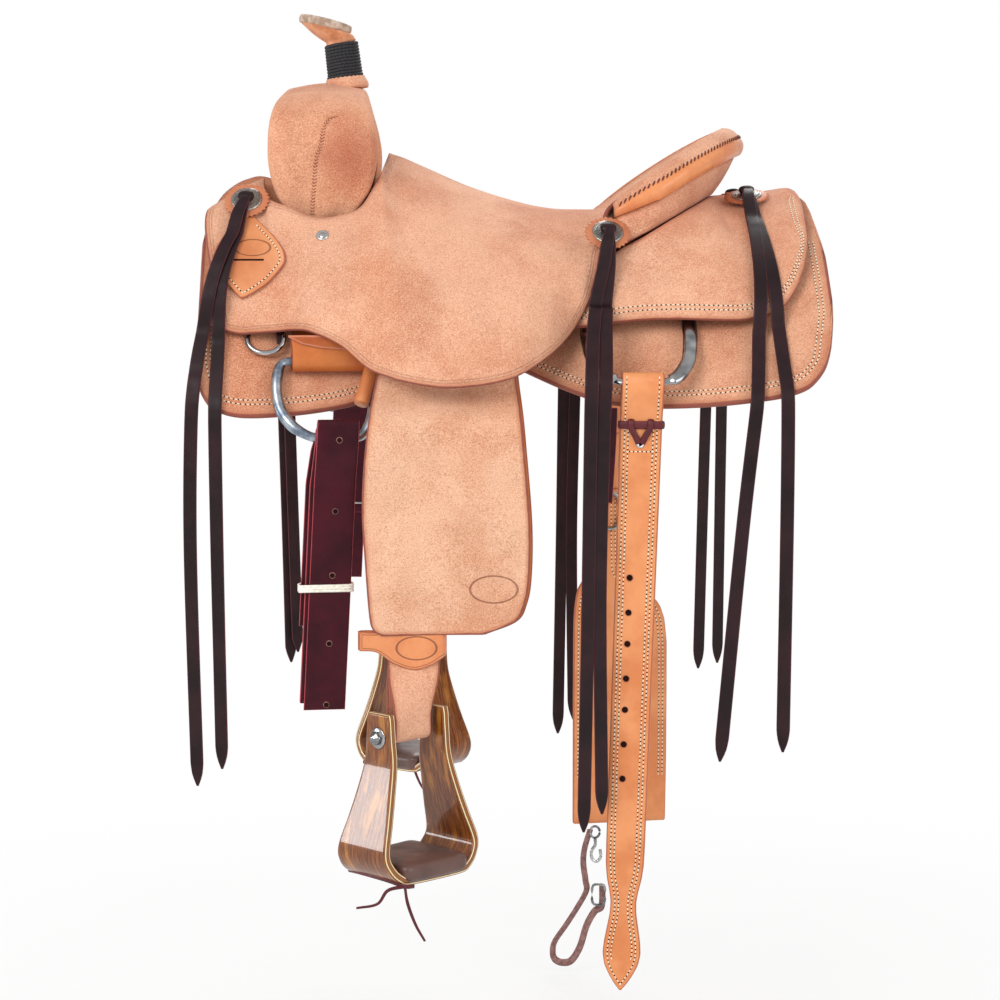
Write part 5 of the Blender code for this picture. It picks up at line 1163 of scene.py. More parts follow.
LOBES_FROM = 0.008
SLEEVE = ((0.0165, WRAP_LIFT), (0.0182, WRAP_LIFT + 0.004), (0.0172, 0.03), (0.0168, 0.049))
verts, faces = closed_tube(neck_tube(SLEEVE, 48), flip=True)
sleeve = put("horn_sleeve", verts, faces, wrap_rubber, "saddle")
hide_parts("horn_wrap")
FOOT = ((0.0205, 0.0055), (0.0210, 0.0090), (0.0222, 0.0088), (0.0234, 0.0064), (0.0246, 0.0040),
        (0.0256, 0.0016), (0.0256, -0.0010), (0.0250, -0.0040), (0.0205, -0.0040))
put("horn_collar", *closed_tube(neck_tube(FOOT, 144, 13, 0.0011)), nap_bare, "saddle")
print("horn:", WRAP_TURNS, "turns of rope")

# %% [markdown]
# ## Straps
# A strap is a narrow sheet carried along a path. The path's points are rows of place and width,
# read off a smooth curve at even steps of its real length, with a few close rows at both ends
# for the rounded edge.

# %% One function for every strap
def along(keys, at, ease=1.0, soft=0, dense=900):
    """Rows of (x, y, z, width, ...) at shares of the path's real length; returns them and it.
    soft rounds the corners: so many times each millimetre's point moves to its neighbours' mean."""
    line = glide(keys, np.linspace(0, 1, dense), ease)
    run = measured(line[:, :3])
    if soft:
        even = np.linspace(0, run[-1], int(run[-1] / 0.001))
        line = np.stack([np.interp(even, run, column) for column in line.T], 1)
        for _ in range(soft):
            line[1:-1] = (line[:-2] + 2 * line[1:-1] + line[2:]) / 4
        run = measured(line[:, :3])
    return np.stack([np.interp(at * run[-1], run, column) for column in line.T], 1), run[-1]


def strap(name, keys, across, thick, finish, body, replaces=(), step=0.004, ease=1.0, columns=7,
          facing=None, soft=0, turns=None):
    """P(u, v) = path(u) + across(u) * (v - 1/2) * width(u); across may turn about Z on the way."""
    keys = np.asarray(keys, float)
    if turns is not None:
        keys = np.concatenate([keys, np.asarray(turns, float)[:, None]], 1)
    length = along(keys, np.zeros(1), ease, soft)[1]
    at = rows(length, thick, max(int(length / step), 6))
    row = along(keys, at, ease, soft)[0]
    path, width = row[:, :3], row[:, 3]
    across = unit(np.asarray(across, float))
    if turns is not None:
        c, s = np.cos(row[:, 4]), np.sin(row[:, 4])
        across = np.stack([across[0] * c - across[1] * s, across[0] * s + across[1] * c,
                           c * 0 + across[2]], 1)
    v = rows(width.max(), thick, columns)
    P = path[:, None] + np.broadcast_to(across, path.shape)[:, None] * ((v - 0.5)[None, :, None]
                                                                       * width[:, None, None])
    raw = grid_normals(P)
    facing = raw[0, 0] if facing is None else np.asarray(facing, float)
    sign = np.sign((raw[0] * facing).sum() or 1)
    N = raw * sign
    verts, faces, rim, ply, outer, N = sheet_arrays(P, thick, N, N=N)
    uv = np.stack([np.repeat(at * length, len(v)), np.tile(v * width.max(), len(at))], 1)
    inner = ~border(*P.shape[:2]).ravel()
    uv = np.concatenate([uv, uv[inner]])
    thing = put(name, verts, faces, finish, body, uv=uv, rim=rim, ply=ply)
    if replaces:
        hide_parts(*replaces)
    return thing, outer, N


print("strap maker ready")

# %% [markdown]
# ## Fenders and stirrup leathers
# The fender guards the rider's leg. It is a broad rough leather, lined with smooth leather that
# shows as an orange edge behind. Below it the doubled stirrup leather turns 43 degrees, so that
# the stirrup faces the rider's foot, passes round the stirrup's bolt and goes up again behind
# itself. The hobble strap holds both layers together.

# %% Fenders
# each row: z, x
FENDER_LEFT = np.array(((-0.100, -0.112), (-0.120, -0.133), (-0.145, -0.142), (-0.205, -0.151),
                        (-0.270, -0.155), (-0.331, -0.152), (-0.385, -0.148), (-0.402, -0.144),
                        (-0.4090, -0.134)))
FENDER_RIGHT = np.array(((-0.100, -0.018), (-0.120, 0.006), (-0.145, 0.012), (-0.205, 0.018),
                         (-0.288, 0.0245), (-0.345, 0.024), (-0.375, 0.019), (-0.394, 0.008),
                         (-0.4080, -0.026)))
FENDER_TOP_Y, FENDER_OUT_Y, FENDER_THICK, LINING = -0.2554, -0.2850, 0.0050, 0.0017


def fender_y(z):
    """The outer face's depth: a smooth step outwards between z = -0.145 and -0.185."""
    share = np.clip((-0.145 - z) / 0.040, 0, 1)
    return FENDER_TOP_Y + (FENDER_OUT_Y - FENDER_TOP_Y) * share * share * (3 - 2 * share)


def fender_grid(side, depth, wider):
    """x between the left and right outlines, read at each height; y from fender_y."""
    u = rows(0.31, 0.004, 74)
    left, right = glide(FENDER_LEFT, u), glide(FENDER_RIGHT, u)
    v = rows(0.17, 0.004, 40)
    x = left[:, None, 1] + (right[:, None, 1] + wider - left[:, None, 1]) * v[None, :]
    z = left[:, None, 0] + (right[:, None, 0] - left[:, None, 0]) * v[None, :]
    bow = 0.0025 * np.sin(np.pi * v)[None, :] * np.clip((-z - 0.2) / 0.1, 0, 1)
    return np.stack([x, -side * (fender_y(z) + depth + bow - 0.0012), z], -1)


for side, word in SIDES:
    body = "fender_leg_" + word
    outer_thick = FENDER_THICK - LINING
    sheet("fender_leather_" + word, fender_grid(side, outer_thick / 2, 0.0), outer_thick,
          (0, side, 0), nap_fender, body, ["fender_" + word])
    sheet("fender_lining_" + word, fender_grid(side, outer_thick + LINING / 2, 0.0028), LINING,
          (0, side, 0), russet_rig, body)
print("fenders: leather", round(outer_thick * 1000, 1), "mm on a lining of", LINING * 1000, "mm")

# %% Stirrup leathers and hobble straps
TURN, BOLT = np.radians(43), np.array((-0.106, -0.2950, -0.512))
LEG_THICK, LEG_WIDTH, LOOP_R, LEG_GAP = 0.0034, 0.056, 0.0069, 0.0045
LEG_Y = FENDER_OUT_Y + FENDER_THICK + 0.0004 + 0.0016
LEG_TURNS = (0, 0, 0.02, 0.36, 0.76, 1, 1, 1, 1, 1, 1, 1, 0.76, 0.36, 0.02, 0)
LEG_WIDTHS = (1, 1, 1, 0.99, 0.97, 0.95, 0.94, 0.94, 0.94, 0.94, 0.94, 0.94, 0.95, 0.97, 1, 1)
HALF_TURN = np.radians((0, 45, 90, 135, 180))


def stirrup_axes(side):
    """The stirrup's centre, its own X along the bolt and its own Y along the foot."""
    angle = TURN if side == NEAR else -TURN
    c, s = np.cos(angle), np.sin(angle)
    return BOLT * (1, -side, 1), np.array((c, s, 0)), np.array((-s, c, 0))


def leg_route(side):
    """Down to the bolt, half round it and up again behind itself: rows of (x, y, z, width)."""
    centre, _, foot = stirrup_axes(side)
    away, flip = foot * side, -side
    low = np.array((-0.100, flip * LEG_Y, -0.440))
    behind = low + (0, flip * LEG_GAP, 0)
    landing = centre + away * LOOP_R + up * 0.020
    leaving = centre - away * (LOOP_R - 0.0012) + up * 0.020
    arc = [centre + away * LOOP_R * np.cos(a) - up * LOOP_R * np.sin(a) for a in HALF_TURN]
    fall, climb = landing - low, leaving - behind
    path = [low + up * 0.110, low + up * 0.035, low, low + fall * 0.33, low + fall * 0.66, landing, *arc,
            leaving, behind + climb * 0.66, behind + climb * 0.33, behind, behind + up * 0.035]
    return np.column_stack([path, np.array(LEG_WIDTHS) * LEG_WIDTH])


HOBBLE_THICK = 0.0026
HOBBLE_OUT, HOBBLE_IN = LEG_Y - LEG_THICK / 2 - 0.0006 - HOBBLE_THICK / 2, LEG_Y + LEG_GAP + 0.0036
HOBBLE_MID = (HOBBLE_OUT + HOBBLE_IN) / 2
# each row: x, y, z, width
HOBBLE = np.array((
    (-0.1585, HOBBLE_OUT, -0.4150, 0.0210), (-0.140, HOBBLE_OUT, -0.4160, 0.0225),
    (-0.121, HOBBLE_OUT, -0.4195, 0.0400), (-0.101, HOBBLE_OUT, -0.4210, 0.0505),
    (-0.083, HOBBLE_OUT, -0.4190, 0.0460), (-0.0695, HOBBLE_OUT, -0.4170, 0.0330),
    (-0.0660, HOBBLE_MID, -0.4160, 0.0280), (-0.0695, HOBBLE_IN, -0.4160, 0.0240),
    (-0.100, HOBBLE_IN, -0.4160, 0.0220), (-0.150, HOBBLE_IN, -0.4150, 0.0210),
    (-0.1600, HOBBLE_MID + 0.001, -0.4150, 0.0208)))
for side, word in SIDES:
    body, flip = "fender_leg_" + word, -side
    strap("stirrup_leather_leg_" + word, leg_route(side), (1, 0, 0), LEG_THICK, nap, body,
          ["stirrup_leg_" + word], step=0.0028, columns=14, turns=np.array(LEG_TURNS) * TURN * flip,
          facing=(0, side, 0))
    strap("hobble_band_" + word, HOBBLE * (1, flip, 1, 1), (0, 0, 1), HOBBLE_THICK, russet_hobble, body,
          ["hobble_strap_" + word], step=0.0022, columns=12, facing=(0, side, 0))
print("stirrup leathers turn", round(np.degrees(TURN)), "degrees on their way down")

# %% [markdown]
# ## Stirrups
# A stirrup is bent from thin layers of wood glued round a form. The board is a sheet along the
# route of the U, narrow at the neck and broad at the floor, and it keeps its square edges, where
# the layers show as stripes. The tread is a pad of dark leather sewn round the floor.

# %% Stirrup boards and treads
HALF_NECK, HALF_FLOOR, RISE, DROP = 0.039, 0.064, 0.026, 0.148
NECK_WIDE, FLOOR_WIDE, WOOD, BEND_R = 0.036, 0.088, 0.009, 0.030


def board_route():
    """Down one leg, round the bend, and the mirror image up the other leg."""
    angle = np.radians((30, 60, 90))
    bend = np.stack([-HALF_FLOOR + BEND_R * (1 - np.cos(angle)), -DROP + BEND_R * (1 - np.sin(angle))], 1)
    leg = np.array(((-HALF_NECK, RISE), (-HALF_NECK, 0.0), (-HALF_NECK - 0.0005, -0.028),
                    (-0.0475, -0.062), (-HALF_FLOOR + 0.009, -0.088), (-HALF_FLOOR, -DROP + BEND_R)))
    half = np.concatenate([leg, bend])
    return np.concatenate([half, half[::-1] * (-1, 1)])


def superoval(centre, axes, size, power, segments=48, rings_count=24):
    """size * (c(a)^p c(b)^p, c(a)^p s(b)^p, s(a)^p): a ball that nears a box as p nears 0."""
    b = around(segments)[None]
    out_a, up_a = squared(np.linspace(-np.pi / 2, np.pi / 2, rings_count)[1:-1, None], power[1])
    cos_b, sin_b = squared(b, power[0])
    x, y, z = (part[..., None] for part in (out_a * cos_b, out_a * sin_b, up_a + 0 * b))
    return centre + (x * size[0] * axes[0] + y * size[1] * axes[1] + z * size[2] * axes[2])


def turned(name, profile, centre, axis, finish, body, segments=24, cogs=None):
    """Rings of (radius, height) round an axis; cogs is (count, depth) and waves the radius."""
    axis = unit(np.asarray(axis, float))
    side = unit(np.cross(axis, (0.31, 0.42, 0.85)))
    other = np.cross(axis, side)
    turn = around(segments)
    smooth = np.ones(segments)
    wave = 1 + cogs[1] * (np.abs((turn * cogs[0] / np.pi) % 2 - 1) - 0.5) if cogs else smooth
    spokes = side * np.cos(turn)[:, None] + other * np.sin(turn)[:, None]
    rings = [centre + axis * h + spokes * r * (wave if r > profile[0][0] * 1.2 else smooth)[:, None]
             for r, h in profile]
    verts, faces = closed_tube(np.array(rings))
    high = np.array([h for r, h in profile])
    share = np.repeat((high - high.min()) / max(np.ptp(high), 1e-9), segments)
    return put(name, verts, faces, finish, body, rim=np.concatenate([share, share[:1], share[-1:]]))


PAD, PAD_POWER = (HALF_FLOOR - BEND_R + 0.013, FLOOR_WIDE / 2 + 0.004, 0.0140), (0.22, 0.55)
PAD_DIP, PAD_HALF = 0.002, 0.046
board = board_route()
for side, word in SIDES:
    body = "stirrup_set_" + word
    centre, cross, foot = stirrup_axes(side)
    flat_board = np.stack([board[:, 0], 0 * board[:, 0], board[:, 1]], 1)
    route = along(flat_board, rows(0.53, WOOD, 150))[0]
    drop = np.clip((RISE - route[:, 2]) / (RISE + DROP), 0, 1) ** 1.5
    width = NECK_WIDE + (FLOOR_WIDE - NECK_WIDE) * drop
    neck = np.clip((route[:, 2] - RISE + 0.010) / 0.010, 0, 1)
    width = width * (1 - 0.10 * neck ** 2)
    v = rows(0.06, WOOD, 16)
    along_foot = (v - 0.5)[None, :] * width[:, None]
    grid = centre + route[:, :1, None] * cross + route[:, 2:, None] * up + along_foot[..., None] * foot
    uv = np.stack([np.broadcast_to((measured(route))[:, None], along_foot.shape), along_foot], -1)
    wood, _, _ = sheet("stirrup_wood_" + word, grid, WOOD, cross, stirrup_wood, body,
                       ["stirrup_" + word], uv=uv, rounding=0.0014)
    floor = centre - up * (DROP - WOOD / 2 - 0.0035)
    pad = superoval(floor, (cross, foot, up), PAD, PAD_POWER, 72, 26)
    dip = 1 - ((pad - floor) @ cross / PAD_HALF) ** 2
    pad[..., 2] -= np.clip(dip, 0, 1) * PAD_DIP * (pad[..., 2] > floor[2])
    verts, faces = closed_tube(pad[::-1])
    tread = put("stirrup_tread_" + word, verts, faces, tread_leather, body, rim=np.full(len(verts), 0.02))
    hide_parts("tread_" + word)
print("stirrups:", len(wood.data.polygons), "faces in each board")

# %% [markdown]
# A bolt goes through both legs of the stirrup and through the leather's loop; it ends in a
# washer and a six-sided nut on each side. A thin red lace ties the tread to the board, and its
# two tails hang out at the end towards the horse's tail.

# %% Bolts and laces
WASHER = ((0.001, 0.0018), (0.0062, 0.0018), (0.0108, 0.0014), (0.0116, 0.0008), (0.0112, 0.0001),
          (0.0062, 0.0))
NUT = ((0.001, 0.0094), (0.0040, 0.0092), (0.0042, 0.0068), (0.0058, 0.0066), (0.0070, 0.0052),
       (0.0072, 0.0022), (0.0068, 0.0015), (0.001, 0.0015))
LACE = np.array(((-0.046, 0.0455, -0.1500), (-0.0520, 0.020, -0.1475), (-0.0530, -0.020, -0.1478),
                 (-0.0480, -0.0462, -0.1512), (-0.036, -0.0475, -0.1530)))
TAILS = {"a": ((0, 0, 0), (-0.018, -0.002, -0.004), (-0.029, -0.003, -0.018), (-0.051, -0.004, -0.022)),
         "b": ((0, 0, 0), (0.003, -0.002, -0.018), (0.011, -0.003, -0.040), (0.021, -0.004, -0.058))}
for side, word in SIDES:
    body = "stirrup_set_" + word
    centre, cross, foot = stirrup_axes(side)
    for end, letter in ((-1, "a"), (1, "b")):
        face = centre + cross * end * (HALF_NECK + WOOD / 2)
        turned(f"bolt_washer_{word}_{letter}", WASHER, face, cross * end, polished_with_painted_reflection, body, 40)
        nut = turned(f"bolt_nut_{word}_{letter}", NUT, face, cross * end, polished_with_painted_reflection, body, 36, cogs=(6, 0.12))
    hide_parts("stirrup_bolt_" + word)
    path = centre + LACE[:, :1] * cross + LACE[:, 1:2] * foot * -side + LACE[:, 2:] * up
    rope("stirrup_lace_" + word, glide(path, np.linspace(0, 1, 40)), 0.0015, lace_red, body, 8,
         flat=(1.5, 0.7))
    start = path[-2]
    for tail, reach in TAILS.items():
        path = glide(start + np.array(reach) * (1, -side, 1), np.linspace(0, 1, 30))
        rope(f"stirrup_lace_{word}_{tail}", path, 0.0018 * np.linspace(1, 0.6, 30), lace_red, body, 8,
             flat=(1.2, 0.6))
print("bolts:", len(nut.data.polygons), "faces in each nut")

# %% [markdown]
# ## Front rigging
# A russet leather is folded round the top bar of the big galvanised dee and runs up between the
# skirt and the jockey, where screws hold it. A second, darker leather laps over it with a curved
# edge. A small dee for a breast collar hangs in front of it.

# %% Dees, rigging leathers and breast dees
RIG_X, RIG_LENGTH, RIG_THICK, RIG_LIFT, DEE_R = -0.193, 0.080, 0.0034, SKIRT_LIFT + 0.0036, 0.0052
DEE = np.array(((-0.046, 0), (-0.016, 0), (0.016, 0), (0.045, 0), (0.0515, 0.011), (0.0520, 0.030),
                (0.0510, 0.052), (0.0465, 0.076), (0.036, 0.090), (0.018, 0.090), (0, 0.090),
                (-0.016, 0.090), (-0.036, 0.078), (-0.050, 0.058), (-0.055, 0.034), (-0.0535, 0.010)))
DEE_SIDE, DEE_BAR, FOLD_R = 1.22, 0.97, 0.0087


def ring_line(keys, count, ease=0.8):
    """A closed curve through its keys, count points round."""
    keys = np.asarray(keys, float)
    loop = np.concatenate([keys[-1:], keys, keys[:2]])
    at = (np.linspace(0, len(keys), count, endpoint=False) + 1) / (len(keys) + 2)
    return glide(loop, at, ease)


def rig_frame(side):
    """The middle of the dee's top bar, the way it runs, the way out and the way down."""
    centre = np.array((-0.1928, side * 0.2164, -0.118))
    run = np.array((0.9932, -side * 0.1167, 0))
    return centre, run, np.array((0.1167, side * 0.9932, 0)), np.array((0, side * 0.4911, -0.8711))


def flap_point(x, z, side, lift=0.0):
    """A place on the fold's outer face, a plane that leans in towards the jockey above."""
    centre = rig_frame(side)[0]
    lean = np.interp(z, (-0.090, -0.070), (0.0, 0.005))
    y = side * (abs(centre[1]) + FOLD_R + RIG_THICK / 2 + lift - lean) - side * 0.1175 * (x - RIG_X)
    return np.stack([x, y, z], -1)


SLEEVE_LINE = np.array(((0.0490, -0.0060), (0.0475, 0.006), (0.0440, 0.022), (0.0392, 0.040),
                        (0.0362, 0.051)))
FOLD_UP, FOLD_DOWN, FOLD_IN = (-0.058, -0.068, -0.086, -0.102), (-0.096, -0.089), 0.014


def fold_grid(side):
    """From behind the jockey down the skirt, round the dee's bar and up again to the screws."""
    centre, run, out, _ = rig_frame(side)
    v = rows(RIG_LENGTH, RIG_THICK, 30)
    bar = (v - 0.5)[:, None] * RIG_LENGTH
    net = [on_side(RIG_X + bar[:, 0] * run[0], z, RIG_LIFT, side) for z in FOLD_UP]
    net += [centre + run * bar - out * FOLD_R * np.cos(a) - up * FOLD_R * np.sin(a) for a in HALF_TURN]
    net += [centre + run * bar + out * FOLD_R + up * FOLD_IN]
    net += [flap_point(centre[0] + run[0] * bar[:, 0], z + 0 * v, side, -RIG_THICK / 2) for z in FOLD_DOWN]
    return glide(np.array(net), rows(0.14, RIG_THICK, 60), 0.85)


LAP_START, LAP_LENGTH, LAP_TOP, LAP_THICK = -0.2345, 0.082, -0.0885, 0.0028
LAP_LOW = ((-0.235, -0.231, -0.219, -0.199, -0.170, -0.152),
           (-0.0905, -0.0925, -0.0985, -0.1025, -0.1050, -0.1068))


def lap_grid(side):
    """A narrow band on the fold's face; its lower edge is read from the lap's outline."""
    x = LAP_START + LAP_LENGTH * rows(0.09, 0.002, 34)
    low = np.interp(x, *LAP_LOW)
    z = LAP_TOP + (low - LAP_TOP)[:, None] * rows(0.02, 0.002, 14)[None]
    return flap_point(np.broadcast_to(x[:, None], z.shape), z, side, 0.0016)


for side, word in SIDES:
    centre, run, out, down = rig_frame(side)
    ring = ring_line(DEE, 150)
    bars = np.exp(-(ring[:, 1] / 0.010) ** 2) + np.exp(-((ring[:, 1] - 0.090) / 0.008) ** 2)
    path = centre + ring[:, :1] * run + ring[:, 1:] * down
    thick = DEE_R * (DEE_SIDE - (DEE_SIDE - DEE_BAR) * np.clip(bars, 0, 1))
    dee = rope("front_dee_ring_" + word, path, thick, zinc, "front_ring_" + word, 16, closed=True)
    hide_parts("front_dee_" + word)
    sleeve = glide(SLEEVE_LINE, np.linspace(0, 1, 26))
    path = centre + sleeve[:, :1] * run + sleeve[:, 1:] * down + out * 0.0045
    rope("dee_sleeve_" + word, path, 0.0082 - 0.0006 * np.linspace(-1, 1, 26) ** 8, russet,
         "front_ring_" + word, 20)
    sheet("rigging_fold_" + word, fold_grid(side), RIG_THICK, (0, -side, 0), russet_rig, "saddle",
          ["rigging_leather_" + word])
    sheet("rigging_lap_" + word, lap_grid(side), LAP_THICK, (0, side, 0), russet_dark, "saddle")
    turn = around(72)
    z = -0.0775 - 0.0155 * (1 - np.sin(turn))
    spot = on_side(-0.262, z, SKIRT_LIFT + 0.0036, side)
    free = np.interp(z, (-0.092, -0.084), (1.0, 0.0))
    y = spot[:, 1] + side * (0.004 * free - 0.0012 * (1 - free))
    path = np.stack([-0.261 + 0.0200 * np.cos(turn), y, z], 1)
    small = rope("breast_dee_ring_" + word, path, 0.0022 + 0.0008 * free, polished_with_painted_reflection,
                 "breast_ring_" + word, 12, closed=True)
    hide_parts("breast_dee_" + word)
    tab = on_side(np.array((-0.247, -0.2455, -0.244)), np.array((-0.070, -0.084, -0.099)),
                  SKIRT_LIFT + 0.0105, side)
    strap("breast_dee_tab_" + word, np.concatenate([tab, np.full((3, 1), 0.0095)], 1), (1, 0, 0), 0.0026,
          string_leather, "saddle", facing=(0, side, 0))
print("front rigging:", len(dee.data.polygons), "faces in each dee")

# %% [markdown]
# ## Latigo and off billet
# The latigo is a long burgundy strap. It goes over the dee, hangs down, turns up and passes over
# the dee again, so that three layers lie on each other with bright red edges, and a white waxed
# cord ties them. The off billet on the other side is the same leather, doubled and shorter.

# %% Small round fittings
def studs(name, spots, normals, profile, finishes, body, band=(), segments=16):
    """The same turned profile at many places; band gives each ring's finish."""
    spots, n = np.atleast_2d(spots), unit(np.atleast_2d(np.asarray(normals, float)))
    n = np.broadcast_to(n, spots.shape)
    side = unit(np.cross(n, (0.31, 0.42, 0.85)))
    other = np.cross(n, side)
    turn = around(segments)
    spokes = side[:, None] * np.cos(turn)[None, :, None] + other[:, None] * np.sin(turn)[None, :, None]
    shape = np.array(profile)
    rings = (spots[:, None, None] + n[:, None, None] * shape[None, :, 1, None, None]
             + spokes[:, None] * shape[None, :, 0, None, None])
    count = len(shape) * segments
    ends = np.stack([spots + n * shape[0, 1], spots + n * shape[-1, 1]], 1)
    verts = np.concatenate([rings.reshape(len(spots), count, 3), ends], 1)
    one = closed_tube(rings[0])[1]
    faces = [[index + k * (count + 2) for index in face] for k in range(len(spots)) for face in one]
    per = np.repeat(list(band) or [0] * (len(shape) - 1), segments)
    ends_which = [per[0]] * segments + [per[-1]] * segments
    which = np.tile(np.concatenate([per, ends_which]), len(spots))
    return put(name, verts.reshape(-1, 3), faces, finishes, body, which=which,
               rim=np.full(verts.size // 3, 0.5))


def path_at(outer, N, share, across=0.5):
    """A place on a strap's outer face at a share of its rows and of its width, and its normal."""
    i = np.rint(np.asarray(share) * (len(outer) - 1)).astype(int)
    j = int(round(across * (outer.shape[1] - 1)))
    return outer[i, j], N[i, j]


HOLE = ((0.0004, 0.0003), (0.0025, 0.0003), (0.0027, 0.0005), (0.0031, 0.0005), (0.0036, -0.0002),
        (0.0036, -0.0010), (0.0004, -0.0010))
BAR_DROP, LATIGO_WIDTH, LATIGO_THICK, PITCH, HUG = 0.090, 0.045, 0.0036, 0.0048, 0.0083
LATIGO_LEAN, LATIGO_START, LATIGO_SLANT, LATIGO_LOW = 0.0028, 0.0105, 0.052, -0.492
LATIGO_PUNCHED, LAST_LAYER = np.array((-0.195, -0.276, -0.346, -0.420, -0.486)), 128
TIE_Z, TIE_PITCH, TIE_R = -0.3595, 0.0031, 0.0016
KEEPER_Z = -0.317
OVER_BAR = np.radians((0, 30, 60, 90, 120, 150, 180))
pale_ring = plain_finish("hole_rim", rgb(150, 104, 98), rgb(104, 62, 60), 300, 0.5)


def slide(bar, z):
    """How far along the bar the strap's middle has slanted at a height."""
    return LATIGO_START - LATIGO_SLANT * (bar[2] - z)


def hung_route(bar, side):
    """Rows of (depth, z, shift in mm): up behind, over the bar and down, near side turned up again."""
    neck, join = bar[2] - 0.014, bar[2] - 0.050
    over = [(-HUG * np.cos(a), bar[2] + HUG * np.sin(a), 0) for a in OVER_BAR] + [(HUG, neck, 0)]
    if side == OFF:
        return ([(-0.5 * PITCH, -0.330, 0), (-0.5 * PITCH, join, 0), (-HUG, neck, 0)] + over
                + [(0.5 * PITCH, join, 0), (0.5 * PITCH, -0.414, 0)])
    low, far = LATIGO_LOW, HUG + PITCH
    return ([(-1.5 * PITCH, -0.402, -8), (-1.5 * PITCH, join, -8), (-HUG, neck, -4)] + over
            + [(-0.5 * PITCH, join, -4), (-0.5 * PITCH, low + 0.009, -4), (0.0, low + 0.0066, -4),
               (0.5 * PITCH, low + 0.009, -4), (0.5 * PITCH, join, -4), (far, neck, -2), (far, -0.180, 0),
               (far + PITCH / 2, -0.1776, 0), (far + PITCH, -0.180, 0), (far + PITCH, neck, 0),
               (1.5 * PITCH, join, 0), (1.5 * PITCH, low, 0)])


for side, word in SIDES:
    centre, run, out, down = rig_frame(side)
    bar = centre + down * BAR_DROP
    flat_bar = np.array((bar[0], bar[1], 0))
    name, node, body = (("latigo_strap", "latigo_near", "latigo") if side == NEAR
                        else ("off_billet_strap", "off_billet", "off_side_billet"))
    keys = []
    for depth, z, shift in hung_route(bar, side):
        depth -= LATIGO_LEAN * np.clip((-0.25 - z) / 0.12, 0, 1) * (side == NEAR)
        spot = flat_bar + out * depth + up * z + run * (slide(bar, z) + shift / 1000)
        keys.append((*spot, LATIGO_WIDTH))
    hung, outer, N = strap(name, keys, run, LATIGO_THICK, burgundy, body, [node], step=0.0024,
                           ease=0.0, soft=6, columns=12, facing=-out)
    if side == OFF:
        middle = flat_bar + run * slide(bar, KEEPER_Z)
        loop = square_loop(middle, (run, out), (0.0262, 0.0072), 0.3) + up * KEEPER_Z
        rope("off_billet_keeper", loop, 0.0020, polished_with_painted_reflection, "off_side_billet", 10, flat=(1.0, 2.2),
             closed=True)
        continue
    front, front_N = outer[-LAST_LAYER:, 1:-1], N[-LAST_LAYER:, 1:-1]
    shares = [np.abs(front[:, 5, 2] - z).argmin() / (LAST_LAYER - 1) for z in LATIGO_PUNCHED]
    spots, ns = path_at(front, front_N, shares, 0.5)
    outward = ns * np.sign((ns @ out))[:, None]
    # The holes' dark centres are painted shade inside each punched hole; their pale rims are the leather's
    # cut edge.
    studs("latigo_holes", spots + outward * 0.0002, outward, HOLE, [hole_painted_shade, pale_ring], "latigo",
          (0, 0, 1, 1, 1, 1))
    middle = flat_bar + run * (slide(bar, TIE_Z) - 0.0040) - out * LATIGO_LEAN * 0.9
    for k in range(3):
        loop = square_loop(middle, (run, out), (LATIGO_WIDTH / 2 + 0.0062, 0.0105), 0.28, 64)
        height = TIE_Z + (k - 1) * TIE_PITCH + 0.0006 * np.sin(around(64) + k)
        rope(f"latigo_tie_{k + 1}", loop + up * height[:, None], TIE_R, tie_white, "latigo", 8, closed=True)
print("latigo:", len(hung.data.polygons), "faces in the off billet")

# %% [markdown]
# ## Rear rigging
# The rear dees are flat chromed steel. From the near one hangs the long flank billet, two russet
# leathers sewn together, with a shaped tip and a row of holes. The flank cinch hangs from the
# off dee; it is folded double and sewn round, and a thin strap with a snap joins it to the front
# cinch when the saddle is on a horse.

# %% Rear dees and flank billets
REAR_BAR, REAR_HALF, REAR_R = np.array((0.146, 0.2680, -0.137)), 0.056, 0.0050
REAR_DEE = np.array(((-1, 0), (-0.5, 0), (0, 0), (0.5, 0), (1, 0), (1, 0.20), (1, 0.40), (0.92, 0.70),
                     (0.70, 0.92), (0.46, 1.0), (0.15, 1.0), (-0.15, 1.0), (-0.46, 1.0), (-0.70, 0.92),
                     (-0.92, 0.70), (-1, 0.40), (-1, 0.20))) * (REAR_HALF, 1)
BILLET_THICK, BILLET_SLANT, BILLET_HUG = 0.0042, 0.032, 0.0081


def slanted(n, z, side):
    """The billet's middle line: it leans to the front as it goes down."""
    return (REAR_BAR[0] - BILLET_SLANT * (REAR_BAR[2] - z), side * (REAR_BAR[1] + n), z)


# each row: z, width
BILLET_SHAPE = np.array((
    (-0.1805, 0.0453), (-0.230, 0.0450), (-0.300, 0.0445), (-0.380, 0.0440), (-0.460, 0.0435),
    (-0.540, 0.0430), (-0.600, 0.0427), (-0.640, 0.0425), (-0.664, 0.0418), (-0.680, 0.0380),
    (-0.693, 0.0320), (-0.705, 0.0282), (-0.718, 0.0292), (-0.735, 0.0350), (-0.750, 0.0400),
    (-0.763, 0.0420), (-0.776, 0.0370), (-0.788, 0.0250), (-0.798, 0.0120), (-0.804, 0.0018)))
BILLET_WIDTH, STITCH_INSET, STITCH_PITCH, CROSS_Z = 0.0455, 0.0052, 0.0046, -0.190


